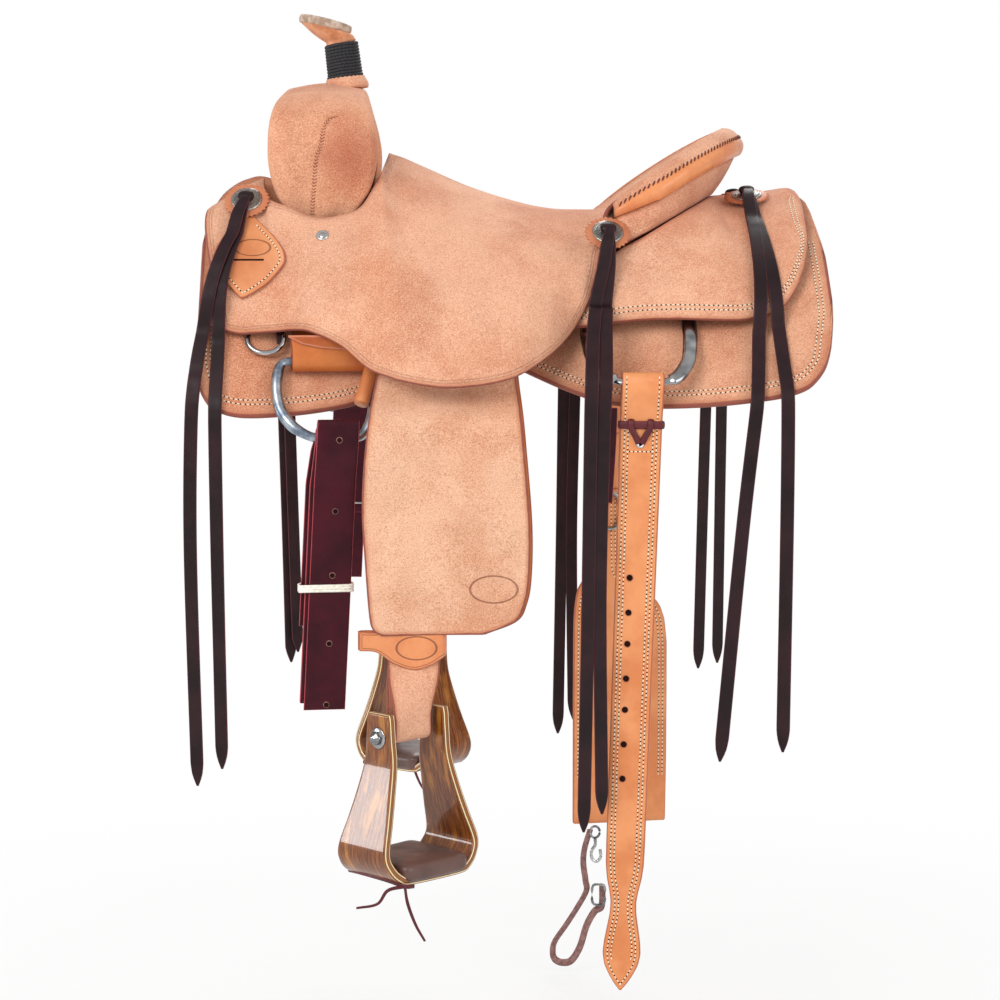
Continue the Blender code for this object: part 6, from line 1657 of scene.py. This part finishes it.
def billet_keys(bar, side):
    """Up behind, over the dee's bar and down in front to the shaped tip, or to the cinch."""
    inner = -BILLET_THICK - 0.0006
    over = [(-BILLET_HUG * np.cos(a), bar[2] + BILLET_HUG * np.sin(a)) for a in OVER_BAR]
    back_run = [(inner, -0.230), (inner, -0.185), (-BILLET_HUG, bar[2] - 0.012)]
    over.append((BILLET_HUG, bar[2] - 0.012))
    keys = [(*slanted(n, z, side), BILLET_WIDTH) for n, z in back_run + over]
    if side == NEAR:
        return keys + [(*slanted(0.0005, z, side), w) for z, w in BILLET_SHAPE]
    return keys + [(*slanted(0.0005, z, side), BILLET_WIDTH) for z in (-0.190, -0.300, -0.425)]


for side, word in SIDES:
    body, bar = "flank_strap_" + word, REAR_BAR * (1, side, 1)
    ends_x = np.array((-1, 1)) * REAR_HALF + REAR_BAR[0]
    ahead, behind = on_side(ends_x, np.array((-0.064, -0.064)), SKIRT_LIFT + REAR_R + 0.001, side)
    run, top = unit(behind - ahead), (ahead + behind) / 2
    ring = ring_line(REAR_DEE, 150)
    path = top + ring[:, :1] * run + ring[:, 1:] * (bar - top)
    seen = 1 - 0.4 * np.exp(-((ring[:, 1] - 1.0) / 0.05) ** 2) * (np.abs(ring[:, 0]) < 0.03)
    flat = unit(np.cross(unit(np.roll(path, -1, 0) - np.roll(path, 1, 0)), np.cross(run, bar - top)))
    dee = rope("rear_dee_ring_" + word, path, REAR_R * seen, polished_with_painted_reflection, "saddle", 18,
               flat=(1.66, 0.95), closed=True, broad=flat)
    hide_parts("rear_dee_" + word)
    billet, outer, N = strap("flank_billet_leather_" + word, billet_keys(bar, side), run, BILLET_THICK,
                             russet, body, ["flank_billet_" + word], step=0.0038, ease=0.0, soft=5,
                             columns=16, facing=(0, -side, 0))
    start = int(np.argmax(outer[:, 8, 2])) + 2
    hung, hung_N = outer[start:, :], N[start:, :]
    hung_N = hung_N * np.sign((hung_N * (0, side, 0)).sum())
    end = -2 if side == OFF else -5
    lace_row = int(np.abs(hung[:, 8, 2] - CROSS_Z).argmin())
    inwards = hung[:, 8].mean(0)
    lines = []
    for column in (0, -1):
        lines += edge_rows(hung, hung_N, [hung[:end, column]], (STITCH_INSET,), STITCH_PITCH, inwards)
        if side == NEAR:
            low_edge = hung[lace_row:end - 8, column]
            lines += edge_rows(hung, hung_N, [low_edge], (STITCH_INSET + 0.004,), STITCH_PITCH, inwards)
    ends = hung[lace_row + 6, (0, -1)]
    middle = ends.mean(0)
    cross, cross_N = seat_on(respace(middle + (ends - middle) * 0.60, STITCH_PITCH), hung, hung_N)
    lines.append((cross, unit(np.gradient(cross, axis=0)), cross_N))
    stitches("flank_billet_stitching_" + word, lines, body, 0.0032, 0.0006)
    if side == NEAR:
        billet_face = (hung, hung_N)
print("rear dees and billets:", len(billet.data.polygons), "faces in the off billet")

# %% [markdown]
# Above the billet's stitched part a burgundy lace goes round it and is knotted in front, and its
# two ends meet at a silver eyelet. Seven punched holes take the buckle's tongue.

# %% Lace, eyelet and holes of the flank billet
face, face_N = billet_face
PUNCHED_Z = (-0.350, -0.386, -0.422, -0.458, -0.494, -0.531, -0.567)
rows_at = [np.abs(face[:, 10, 2] - z).argmin() for z in PUNCHED_Z]
spots, ns = face[rows_at, 10], face_N[rows_at, 10]
PUNCHED = ((0.0004, 0.0002), (0.0034, 0.0002), (0.0038, 0.0003), (0.0043, 0.0001), (0.0044, -0.0008),
           (0.0004, -0.0008))
# Each hole's dark centre is painted shade inside the punched hole.
studs("flank_billet_holes", spots, ns, PUNCHED, [hole_painted_shade, rosette_leather], "flank_strap_near",
      (0, 1, 1, 1, 1), 20)
run, out = np.array((0.9841, -0.1775, 0)), np.array((-0.1775, -0.9841, 0))
middle = np.array(slanted(0.0004, -0.1835, NEAR))
rope("billet_lace_band", square_loop(middle, (run, out), (0.0242, 0.0042), 0.3, 60), 0.0042, lace_red,
     "flank_strap_near", 12, flat=(1.0, 0.3), closed=True)
eye = np.array(slanted(0.0004, -0.2040, NEAR)) + out * 0.0024
for k, word in ((-1, "a"), (1, "b")):
    over = middle + run * k * 0.0105
    leg = np.array((over + out * 0.0034 + up * 0.0058, over + out * 0.0060 + up * 0.0030,
                    over + out * 0.0062 - up * 0.0030, (over + eye) / 2 + out * 0.0040 - up * 0.002,
                    eye + run * k * 0.0016 + out * 0.0006 + up * 0.0005))
    rope("billet_lace_end_" + word, glide(leg, np.linspace(0, 1, 24)), 0.0034, lace_red,
         "flank_strap_near", 10, flat=(1.0, 0.35), broad=run)
EYELET = ((0.0004, 0.0004), (0.0018, 0.0004), (0.0022, 0.0016), (0.0036, 0.0018), (0.0046, 0.0010),
          (0.0048, -0.0004), (0.0004, -0.0010))
# The eyelet's dark centre is painted shade inside its hole.
studs("billet_eyelet", eye - out * 0.0004, out, EYELET, [hole_painted_shade, polished_with_painted_reflection], "flank_strap_near",
      (0, 1, 1, 1, 1, 1), 24)
print("flank billet:", len(spots), "holes")

# %% Flank cinch
CINCH_THICK, CINCH_Y, CINCH_TURN = 0.0058, 0.2578, 0.1804
# each row: x, z, width
CINCH_SHAPE = np.array((
    (0.1400, -0.300, 0.040), (0.1396, -0.360, 0.041), (0.1395, -0.404, 0.043), (0.1410, -0.418, 0.056),
    (0.1470, -0.4285, 0.082), (0.1535, -0.4390, 0.1000), (0.1580, -0.4520, 0.1130),
    (0.1605, -0.4700, 0.1205), (0.1620, -0.5000, 0.1240), (0.1620, -0.5600, 0.1245),
    (0.1620, -0.6500, 0.1245), (0.1615, -0.7320, 0.1235)))
off_run, tailwards = np.array((0.9841, 0.1775, 0)), np.array((1.0, 0, 0))


def cinch_point(x, layer):
    """The two layers lie across the y axis and turn with the rear dee."""
    return CINCH_Y + layer * (CINCH_THICK / 2 + 0.0004) + CINCH_TURN * (x - 0.140)


keys = [(x, cinch_point(x, -1), z, w) for x, z, w in CINCH_SHAPE]
keys += [(0.1615, cinch_point(0.1615, 0), -0.7365, 0.1233)]
keys += [(x, cinch_point(x, 1), z, w) for x, z, w in CINCH_SHAPE[::-1]]
cinch, outer, N = strap("flank_cinch_leather", keys, off_run, CINCH_THICK, russet, "flank_strap_off",
                        ["flank_cinch"], step=0.0055, ease=0.0, soft=8, columns=30, facing=(0, -1, 0))
half = int(outer[:, 15, 2].argmin()) - 4
front, front_N = outer[:half], N[:half] * np.sign((N[:half] * (0, -1, 0)).sum())
back, back_N = outer[half + 8:], N[half + 8:] * np.sign((N[half + 8:] * (0, 1, 0)).sum())
lines = []
for cloth, cloth_N in ((front, front_N), (back, back_N)):
    for column in (0, -1):
        for inset in (0.0060, 0.0110):
            edge = cloth[6:-6, column]
            lines.append(edge_row(edge, cloth, cloth_N, inset, 0.0052, cloth[:, 15].mean(0)))
stitches("flank_cinch_stitching", lines, "flank_strap_off", 0.0036, 0.0007)
ends = np.array(((0.152, -0.196), (0.150, -0.250), (0.1455, -0.318)))
keys = np.array([(x, 0.2480 + 0.18 * (x - 0.146), z, 0.0095) for x, z in ends])
strap("cinch_tie_strap", keys, off_run, 0.0026, burgundy, "flank_strap_off", facing=(0, -1, 0))
buckle = square_loop(np.array((0.1375, 0.2505, -0.3285)), (tailwards, up), (0.0215, 0.0230), 0.4)
rope("cinch_buckle", buckle, 0.0024, polished_with_painted_reflection, "flank_strap_off", 10, closed=True)
print("flank cinch:", len(cinch.data.polygons), "faces")

# %% Snap and connector strap
CONNECTOR = np.array((
    (0.124, -0.7445), (0.117, -0.768), (0.1150, -0.788), (0.1180, -0.812), (0.1190, -0.826),
    (0.1060, -0.850), (0.0920, -0.872), (0.0780, -0.893), (0.0755, -0.908), (0.0790, -0.917),
    (0.0885, -0.921), (0.1000, -0.918), (0.1110, -0.900), (0.1195, -0.872), (0.1300, -0.853),
    (0.1390, -0.846), (0.1400, -0.820)))
depth = CINCH_Y + CINCH_TURN * (0.124 - 0.140)
shape = glide(np.array([(x, depth, z) for x, z in CONNECTOR]), np.linspace(0, 1, 120))
inside = np.cross(unit(np.gradient(shape, axis=0)), (0, 1.0, 0))
link = rope("connector_leather", shape, 0.0050, mauve_strap, "connector", 16, flat=(1.0, 0.30),
            broad=unit(inside * 0.8 + np.array((0, 0.6, 0))))
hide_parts("connector_strap")
turn = around(40)
eye = np.stack([0.1300 + 0.0062 * np.cos(turn), 0 * turn + depth, -0.7480 + 0.0075 * np.sin(turn)], 1)
rope("snap_eye", eye, 0.0016, polished_with_painted_reflection, "flank_strap_off", 8, closed=True)
hook = np.array(((0.1300, -0.7560), (0.1300, -0.7640), (0.1255, -0.7720), (0.1262, -0.7820),
                 (0.1322, -0.7860), (0.1372, -0.7800), (0.1366, -0.7700)))
hook = glide(hook, np.linspace(0, 1, 50))
hook = np.stack([hook[:, 0], 0 * hook[:, 0] + depth - 0.0045, hook[:, 1]], 1)
rope("snap_hook", hook, 0.0021, polished_with_painted_reflection, "connector", 10)
buckle = square_loop(np.array((0.1345, depth - 0.0070, -0.8290)), (tailwards, up), (0.0085, 0.0135), 0.5, 40)
rope("connector_buckle", buckle, 0.0017, polished_with_painted_reflection, "connector", 8, closed=True)
print("snap and connector: three steel pieces")

# %% [markdown]
# ## Keepers, conchos and saddle strings
# A kite-shaped keeper with a slot lies under each front concho. Every concho is a domed silver
# disc on a pinked leather rosette, and one long lace passes through it, so that two flat ends
# hang down. The depth of each hanging end is the farthest leather below it: the nearest point of
# each leather's grid, corrected along that point's own plane.

# %% Keepers
jockey_outer = turned_in(sections(REAR_JOCKEY, rows(0.30, JOCKEY_THICK, 92) * (len(REAR_JOCKEY) - 1),
                                  rows(0.22, JOCKEY_THICK, 50), NEAR), 0.0, (0, -1, 1))
LAYERS = {"front": [skirt_outer["near"], (seat_outer, seat_N)],
          "mid": [skirt_outer["near"], (seat_outer, seat_N), jockey_outer],
          "rear": [skirt_outer["near"], jockey_outer]}


def reach_at(x, z, layers):
    """The largest |y| among the layers at each (x, z) of the near side, 0 where there is none."""
    place, best = np.stack([x, z], 1), np.zeros(len(x))
    for outer, N in layers:
        flat, n = outer.reshape(-1, 3), N.reshape(-1, 3)
        seen = n[:, 1] < -0.10
        flat, n = flat[seen], n[seen]
        gap, i = nearest(place, flat[:, (0, 2)])
        y = flat[i, 1] - (n[i, 0] * (x - flat[i, 0]) + n[i, 2] * (z - flat[i, 2])) / n[i, 1]
        best = np.maximum(best, np.where(gap < 0.006, -y, 0))
    return best


KEEPER_LEFT = ((0.040, -0.292), (0.030, -0.3005), (0.016, -0.310), (0.004, -0.317), (-0.006, -0.3195),
               (-0.014, -0.318), (-0.030, -0.3055), (-0.043, -0.294), (-0.049, -0.2885))
KEEPER_RIGHT = ((0.040, -0.276), (0.030, -0.265), (0.016, -0.2505), (0.004, -0.242), (-0.006, -0.2395),
                (-0.014, -0.2420), (-0.032, -0.2575), (-0.044, -0.275), (-0.049, -0.2845))
KEEPER_THICK = 0.0032
u, v = rows(0.09, KEEPER_THICK, 44), rows(0.075, KEEPER_THICK, 40)
left, right = glide(KEEPER_LEFT, u, 0.7), glide(KEEPER_RIGHT, u, 0.7)
x = left[:, None, 1] + (right - left)[:, None, 1] * v
z = left[:, None, 0] + (right - left)[:, None, 0] * v
y = reach_at(x.ravel(), z.ravel(), [(seat_outer, seat_N)]).reshape(x.shape)
cubic = np.polynomial.polynomial.polyvander2d(x, z, (3, 3)).reshape(-1, 16)
smooth_y = cubic @ np.linalg.lstsq(cubic, y.ravel(), rcond=None)[0]
y = smooth_y.reshape(x.shape) + KEEPER_THICK
for side, word in SIDES:
    grid = np.stack([x, side * y, z], -1)
    keeper, outer, N = sheet("keeper_plate_" + word, grid, KEEPER_THICK, (0, side, 0), russet_keeper,
                             "saddle", ["latigo_keeper_" + word])
    lines = [edge_row(path, outer, N, 0.0056, 0.0046, outer.reshape(-1, 3).mean(0))
             for path in (outer[8:-6, 0], outer[8:-6, -1])]
    stitches("keeper_stitching_" + word, lines, "saddle", 0.0031, 0.0006)
    slot = np.stack([np.linspace(-0.3010, -0.2635, 30), 0 * np.arange(30), np.full(30, -0.0075)], 1)
    slot[:, 1] = side * 0.2
    near = nearest(slot[:, (0, 2)], outer.reshape(-1, 3)[:, (0, 2)])[1]
    slot[:, 1] = outer.reshape(-1, 3)[near, 1]
    # The slot is a dark rope painted as the shade inside the cut.
    rope("keeper_slot_" + word, slot, 0.0011, hole_painted_shade, "saddle", 8)
print("keepers:", len(keeper.data.polygons), "faces each")

# %% Conchos, rosettes and screws
CONCHOS = {"front": ((-0.284, 0.134, 0.052), (-0.06, 0.74, 0.67), 0.0072),
           "mid": ((0.1133, 0.173, 0.0142), (0.04, 0.70, 0.71), 0.0090),
           "rear": ((0.281, 0.063, 0.058), (-0.08, 0.33, 0.94), 0.0050)}
CONCHO_R, ROSETTE_R, ROSETTE_LIFT, DOME = 0.0172, 0.0243, 0.0031, 0.0042
SILVER = ((0.0004, DOME + 0.0002), (0.0045, DOME), (0.0090, DOME * 0.86), (0.0118, DOME * 0.70),
          (0.0128, DOME * 0.72), (0.0140, DOME * 0.60), (0.0160, DOME * 0.30), (CONCHO_R, 0.0010),
          (CONCHO_R - 0.0003, 0.0002), (0.0100, 0.0001), (0.0004, 0.0001))
PINKED = ((0.0004, 0.0), (ROSETTE_R * 0.72, 0.0), (ROSETTE_R * 0.94, -0.0002), (ROSETTE_R, -0.0009),
          (ROSETTE_R, -0.0024), (ROSETTE_R * 0.94, -0.0030), (0.0004, -0.0030))
CUP = ((0.0004, 0.0012), (0.0026, 0.0013), (0.0034, 0.0006), (0.0046, 0.0004), (0.0058, 0.0016),
       (0.0068, 0.0013), (0.0074, 0.0002), (0.0074, -0.0010), (0.0004, -0.0010))
for where, (spot, normal, stand) in CONCHOS.items():
    for side, word in SIDES:
        n = unit(np.array(normal) * (1, side, 1))
        place = np.array(spot) * (1, side, 1) + n * (stand + ROSETTE_LIFT)
        turned(f"rosette_{where}_{word}", PINKED, place, n, rosette_leather, "saddle", 104, cogs=(26, 0.10))
        silver = turned(f"concho_{where}_{word}_silver", SILVER, place, n, silver_work, "saddle",
                        72, cogs=(18, 0.03))
        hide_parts(f"concho_{where}_{word}")
for side, word in SIDES:
    x, z = np.array((-0.1995,)), np.array((0.0190,))
    y = reach_at(x, z, [(seat_outer, seat_N)])
    spot = np.stack([x, side * y, z], 1)
    near = nearest(spot * (1, -side, 1), seat_outer.reshape(-1, 3))[1]
    n = seat_N.reshape(-1, 3)[near] * (1, -side, 1)
    studs("seat_screw_" + word, spot + n * 0.0004, n, CUP, [polished_with_painted_reflection], "saddle", segments=28)
print("conchos: 6 on rosettes")

# %% Saddle strings
STRING_ROUTES = {
    "front_near": (((-0.293, 0.022), (-0.300, 0.004), (-0.308, -0.029), (-0.311, -0.070), (-0.312, -0.120),
                    (-0.313, -0.180), (-0.312, -0.329), (-0.309, -0.559)),
                   ((-0.297, 0.024), (-0.308, 0.002), (-0.319, -0.033), (-0.327, -0.078), (-0.334, -0.125),
                    (-0.339, -0.190), (-0.341, -0.330), (-0.336, -0.578))),
    "front_off": (((-0.280, 0.022), (-0.276, 0.002), (-0.270, -0.030), (-0.266, -0.072), (-0.264, -0.120),
                   (-0.262, -0.180), (-0.258, -0.330), (-0.253, -0.510)),
                  ((-0.284, 0.024), (-0.281, 0.002), (-0.277, -0.030), (-0.274, -0.072), (-0.272, -0.120),
                   (-0.270, -0.180), (-0.266, -0.330), (-0.262, -0.524))),
    "mid": (((0.114, -0.012), (0.112, -0.036), (0.109, -0.066), (0.107, -0.110), (0.105, -0.150),
             (0.103, -0.210), (0.100, -0.374), (0.103, -0.605)),
            ((0.109, -0.010), (0.103, -0.036), (0.096, -0.070), (0.092, -0.112), (0.090, -0.150),
             (0.089, -0.210), (0.087, -0.374), (0.083, -0.624))),
    "rear_near": (((0.284, 0.042), (0.288, 0.015), (0.293, -0.025), (0.296, -0.070), (0.298, -0.115),
                   (0.300, -0.165), (0.300, -0.300), (0.298, -0.537)),
                  ((0.280, 0.044), (0.280, 0.016), (0.279, -0.026), (0.276, -0.072), (0.272, -0.115),
                   (0.266, -0.170), (0.252, -0.300), (0.230, -0.547))),
    "rear_off": (((0.284, 0.042), (0.287, 0.015), (0.290, -0.025), (0.292, -0.070), (0.293, -0.115),
                  (0.294, -0.165), (0.293, -0.300), (0.291, -0.532)),
                 ((0.280, 0.044), (0.278, 0.016), (0.277, -0.026), (0.276, -0.072), (0.275, -0.115),
                  (0.274, -0.170), (0.271, -0.300), (0.266, -0.539))),
}
STRING_WIDTH, STRING_THICK, STRING_LIFT, STRING_PITCH = 0.0148, 0.0026, 0.0042, 0.0036
KEEPER_LIFT, DEE_LIFT, TIP, DEE_ROOM = 0.0046, 0.0105, 0.016, 0.0035
KNOT = (0.0090, 0.0068, 0.0046)
BODY_OF = {"front": "front_laces_", "mid": "mid_laces_", "rear": "rear_laces_"}
TWISTS = {"front": 0.30, "mid": -0.22, "rear": 0.26}
string_length = {}


def hanging_reach(xz, where, side, lift):
    """How far out each point hangs: over the farthest leather below it, the keeper and the dee."""
    below = [reach_at(xz[:, 0] + dx, xz[:, 1], LAYERS[where]) for dx in (-0.007, 0, 0.007)]
    reach = np.max(below, 0) + lift
    if where == "front":
        reach += np.where(xz[:, 1] > -0.055, KEEPER_LIFT, 0)
        reach += (side == OFF) * DEE_ROOM * np.clip((-0.050 - xz[:, 1]) / 0.030, 0, 1)
    if where == "mid":
        fall = np.clip((-0.064 - xz[:, 1]) / 0.073, 0, 1)
        over_dee = 0.2140 + 0.0540 * fall + DEE_LIFT + lift
        reach = np.maximum(reach, np.where(xz[:, 1] < -0.060, over_dee, 0))
    return reach


def string_route(route, where, side, place, n, k):
    """Out of the concho, over the rosette's edge and down; it never comes nearer on its way."""
    spot = CONCHOS[where][0]
    downhill = unit(np.array((0, side * n[2], -abs(n[1]))))
    xz = glide(route, np.linspace(0, 1, 150))
    reach = hanging_reach(xz, where, side, STRING_LIFT + k * STRING_PITCH)
    start = place + n * (DOME + 0.0016 + k * STRING_PITCH) + downhill * 0.001 + (0.002 * k, 0, 0)
    edge = place + n * (0.0036 + k * STRING_PITCH) + downhill * (ROSETTE_R + 0.001)
    edge = edge + np.array((xz[0, 0] - spot[0], 0, 0)) * 0.6
    reach = np.maximum.accumulate(np.maximum(reach, abs(edge[1]) + 0.001))
    fall = np.stack([xz[:, 0], side * reach, xz[:, 1]], 1)
    over = np.array((start, start + (edge - start) * 0.55 + n * 0.0012, edge))
    return np.concatenate([glide(over, np.linspace(0, 1, 12)), fall[2:]])


for where, (spot, normal, stand) in CONCHOS.items():
    for side, word in SIDES:
        n = unit(np.array(normal) * (1, side, 1))
        place = np.array(spot) * (1, side, 1) + n * (stand + ROSETTE_LIFT)
        routes = STRING_ROUTES.get(where + "_" + word) or STRING_ROUTES[where]
        for k, route in enumerate(routes):
            line = string_route(route, where, side, place, n, k)
            run = measured(line)
            string_length[f"{where}_{word}_{k + 1}"] = run[-1]
            width = STRING_WIDTH * np.clip((run[-1] - run) / TIP, 0.10, 1) ** 0.8
            width *= np.interp(run, (0, 0.012, 0.03), (0.62, 0.85, 1.0))
            turns = TWISTS[where] * side * np.clip((run - 0.16) / 0.35, 0, 1) ** 1.2 * (1 - 0.25 * k)
            strap(f"string_{where}_{word}_{k + 1}", np.concatenate([line, width[:, None]], 1), (1, 0, 0),
                  STRING_THICK, string_leather, BODY_OF[where] + word,
                  [f"strings_{where}_{word}"] if k else (), step=0.0055, ease=0.0, soft=8, columns=5,
                  facing=(0, side, 0.3), turns=turns)
        downhill = unit(np.array((0, side * n[2], -abs(n[1]))))
        knot = place + n * (DOME + 0.0030) + downhill * 0.001
        ball = superoval(knot, (unit(np.cross(downhill, n)), downhill, n), KNOT, (0.8, 0.9), 24, 14)
        verts, faces = closed_tube(ball[::-1])
        put(f"string_knot_{where}_{word}", verts, faces, string_leather, BODY_OF[where] + word,
            rim=np.full(len(verts), 0.02))
print("strings:", {key: round(value, 3) for key, value in string_length.items()})

# %% [markdown]
# ## Whip-stitching and the fork's welt
# The cantle's roll is closed by a dark whip-stitch along its seam. The fork's leather is drawn
# together in front by a welt that runs from the horn's foot down each side, laced in a herringbone.

# %% Dark stitches
line = respace(seam_line[3:-3], 0.0062)
out_of = unit(line - roll_middle[nearest(line, roll_middle)[1]])
whip = [(line, unit(np.gradient(line, axis=0)), out_of)]
stitches("cantle_whip_stitching", whip, "saddle", 0.0072, 0.0010, dark_thread, holes=False, slant=0.75)
WELT = np.array(((-0.1857, 0.1504), (-0.1932, 0.1468), (-0.1986, 0.1378), (-0.2018, 0.1188),
                 (-0.2073, 0.1023), (-0.2098, 0.0749), (-0.2126, 0.0431)))
xz = glide(WELT, np.linspace(0, 1, 90))
near_half = [part[:80] for part in (fork_outer, fork_N)]
y = -reach_at(xz[:, 0], xz[:, 1], [near_half])
line = np.stack([xz[:, 0], y, xz[:, 1]], 1)
across = np.array((1.0, 0, 0.15))
for side, word in SIDES:
    rows_of = []
    for shift, slant in ((-0.0013, 1.2), (0.0013, -1.2)):
        moved = respace((line + across * shift) * (1, -side, 1), 0.0036)
        flat = [part.reshape(-1, 3) * (1, -side, 1) for part in near_half]
        spots, ns = seat_on(moved, *flat)
        rows_of.append((spots, unit(np.gradient(spots, axis=0)), ns, slant))
    for index, (spots, run, ns, slant) in enumerate(rows_of):
        stitches(f"fork_welt_{word}_{index + 1}", [(spots, run, ns)], "saddle", 0.0036, 0.0005, welt_thread,
                 holes=False, slant=slant)
print("dark stitches:", len(whip[0][0]), "round the cantle")

# %% [markdown]
# ## Tree and ground seat
# The wooden tree, the steel horn inside its wrap, the ground seat and the upper stirrup leathers
# keep their solids, because their shapes are already right and only their edges can be seen.

# %% Finishes for the solids that stay
ground = plain_finish("ground_seat_leather", rgb(112, 48, 44), rgb(84, 34, 32), 80, 0.6)
KEPT = {"tree_fork": bare_wood, "tree_cantle": bare_wood, "tree_horn": zinc,
        "ground_seat": ground}
for name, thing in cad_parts.items():
    if not thing.hide_render:
        finish = next((KEPT[key] for key in KEPT if name.startswith(key)), russet_rig)
        for index in range(len(thing.material_slots)):
            thing.material_slots[index].material = finish
print("solids that stay:", [name for name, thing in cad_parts.items() if not thing.hide_render])

# %% [markdown]
# ## Stage
# A pale floor and a pale backdrop in soft light. Seen by the camera, or mirrored in metal, both
# are plain white; the floor keeps the saddle's shadow.

# %% Light, floor and backdrop
FLOOR_Z, FLOOR_HALF = -0.935, 6


def paper(name, strength):
    """White where the camera or a reflection sees it, plain pale grey for everything else."""
    p = Paint(name, 0.9)
    p.shader.inputs["Base Color"].default_value = (0.80, 0.80, 0.80, 1.0)
    path = p.node("ShaderNodeLightPath")
    camera_ray, glossy, through = (Flow(p, path.socket.node.outputs[key]) for key in
                                   ("Is Camera Ray", "Is Glossy Ray", "Is Transmission Ray"))
    seen = p.node("ShaderNodeMath", {"operation": "MAXIMUM"}, {0: camera_ray, 1: glossy + through})
    glow = p.node("ShaderNodeEmission", None, {"Color": (1, 1, 1, 1), "Strength": 1.0})
    x, y = p.axes()[:2]
    fade = p.step((x * x + y * y) ** 0.5, 0.35, 1.5, strength, 1.0)
    mixed = p.node("ShaderNodeMixShader", None, {0: seen * fade, 2: glow})
    p.tree.links.new(p.shader.outputs[0], mixed.socket.node.inputs[1])
    output = next(n for n in p.tree.nodes if n.type == "OUTPUT_MATERIAL")
    p.tree.links.new(mixed.socket, output.inputs["Surface"])
    return p.material


def panel(name, corners, finish):
    """One square of floor or backdrop."""
    mesh = bpy.data.meshes.new(name)
    mesh.from_pydata(corners, [], [(0, 1, 2, 3)])
    mesh.materials.append(finish)
    thing = bpy.data.objects.new(name, mesh)
    bpy.context.scene.collection.objects.link(thing)
    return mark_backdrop(thing)


def lamp(name, place, aim, size, power):
    """A soft square light that faces the saddle."""
    data = bpy.data.lights.new(name, "AREA")
    data.shape, data.size, data.energy = "SQUARE", size, power
    thing = bpy.data.objects.new(name, data)
    thing.location = place
    thing.rotation_euler = (Vector(aim) - Vector(place)).to_track_quat("-Z", "Y").to_euler()
    bpy.context.scene.collection.objects.link(thing)


panel("floor", [(x * FLOOR_HALF, y * FLOOR_HALF, FLOOR_Z) for x, y in ((-1, -1), (1, -1), (1, 1), (-1, 1))],
      paper("pale_floor", 0.7))
lamp("key", (-1.8, -2.6, 1.6), (0, 0, -0.25), 1.8, 60)
lamp("fill", (2.2, -2.2, 0.9), (0, 0, -0.3), 2.0, 30)
lamp("rim", (0.6, 2.4, 1.8), (0, 0, -0.2), 1.8, 40)
lamp("side", (-2.6, -0.1, -0.22), (0, -0.3, -0.5), 0.5, 12)
SKY_LIGHT = 0.62
world = bpy.data.worlds.new("studio")
world.use_nodes = True
tree = world.node_tree
light_path, seen, level = (tree.nodes.new("ShaderNode" + kind) for kind in ("LightPath", "Math", "MapRange"))
seen.operation = "MAXIMUM"
for index, ray in enumerate(("Is Camera Ray", "Is Transmission Ray")):
    tree.links.new(light_path.outputs[ray], seen.inputs[index])
level.inputs["To Min"].default_value, level.inputs["To Max"].default_value = SKY_LIGHT, 1.0
tree.links.new(seen.outputs[0], level.inputs["Value"])
sky = tree.nodes["Background"]
sky.inputs["Color"].default_value = (1, 1, 1, 1)
tree.links.new(level.outputs[0], sky.inputs["Strength"])
bpy.context.scene.world = world
bpy.context.scene.view_settings.view_transform = "Standard"
print("stage ready")
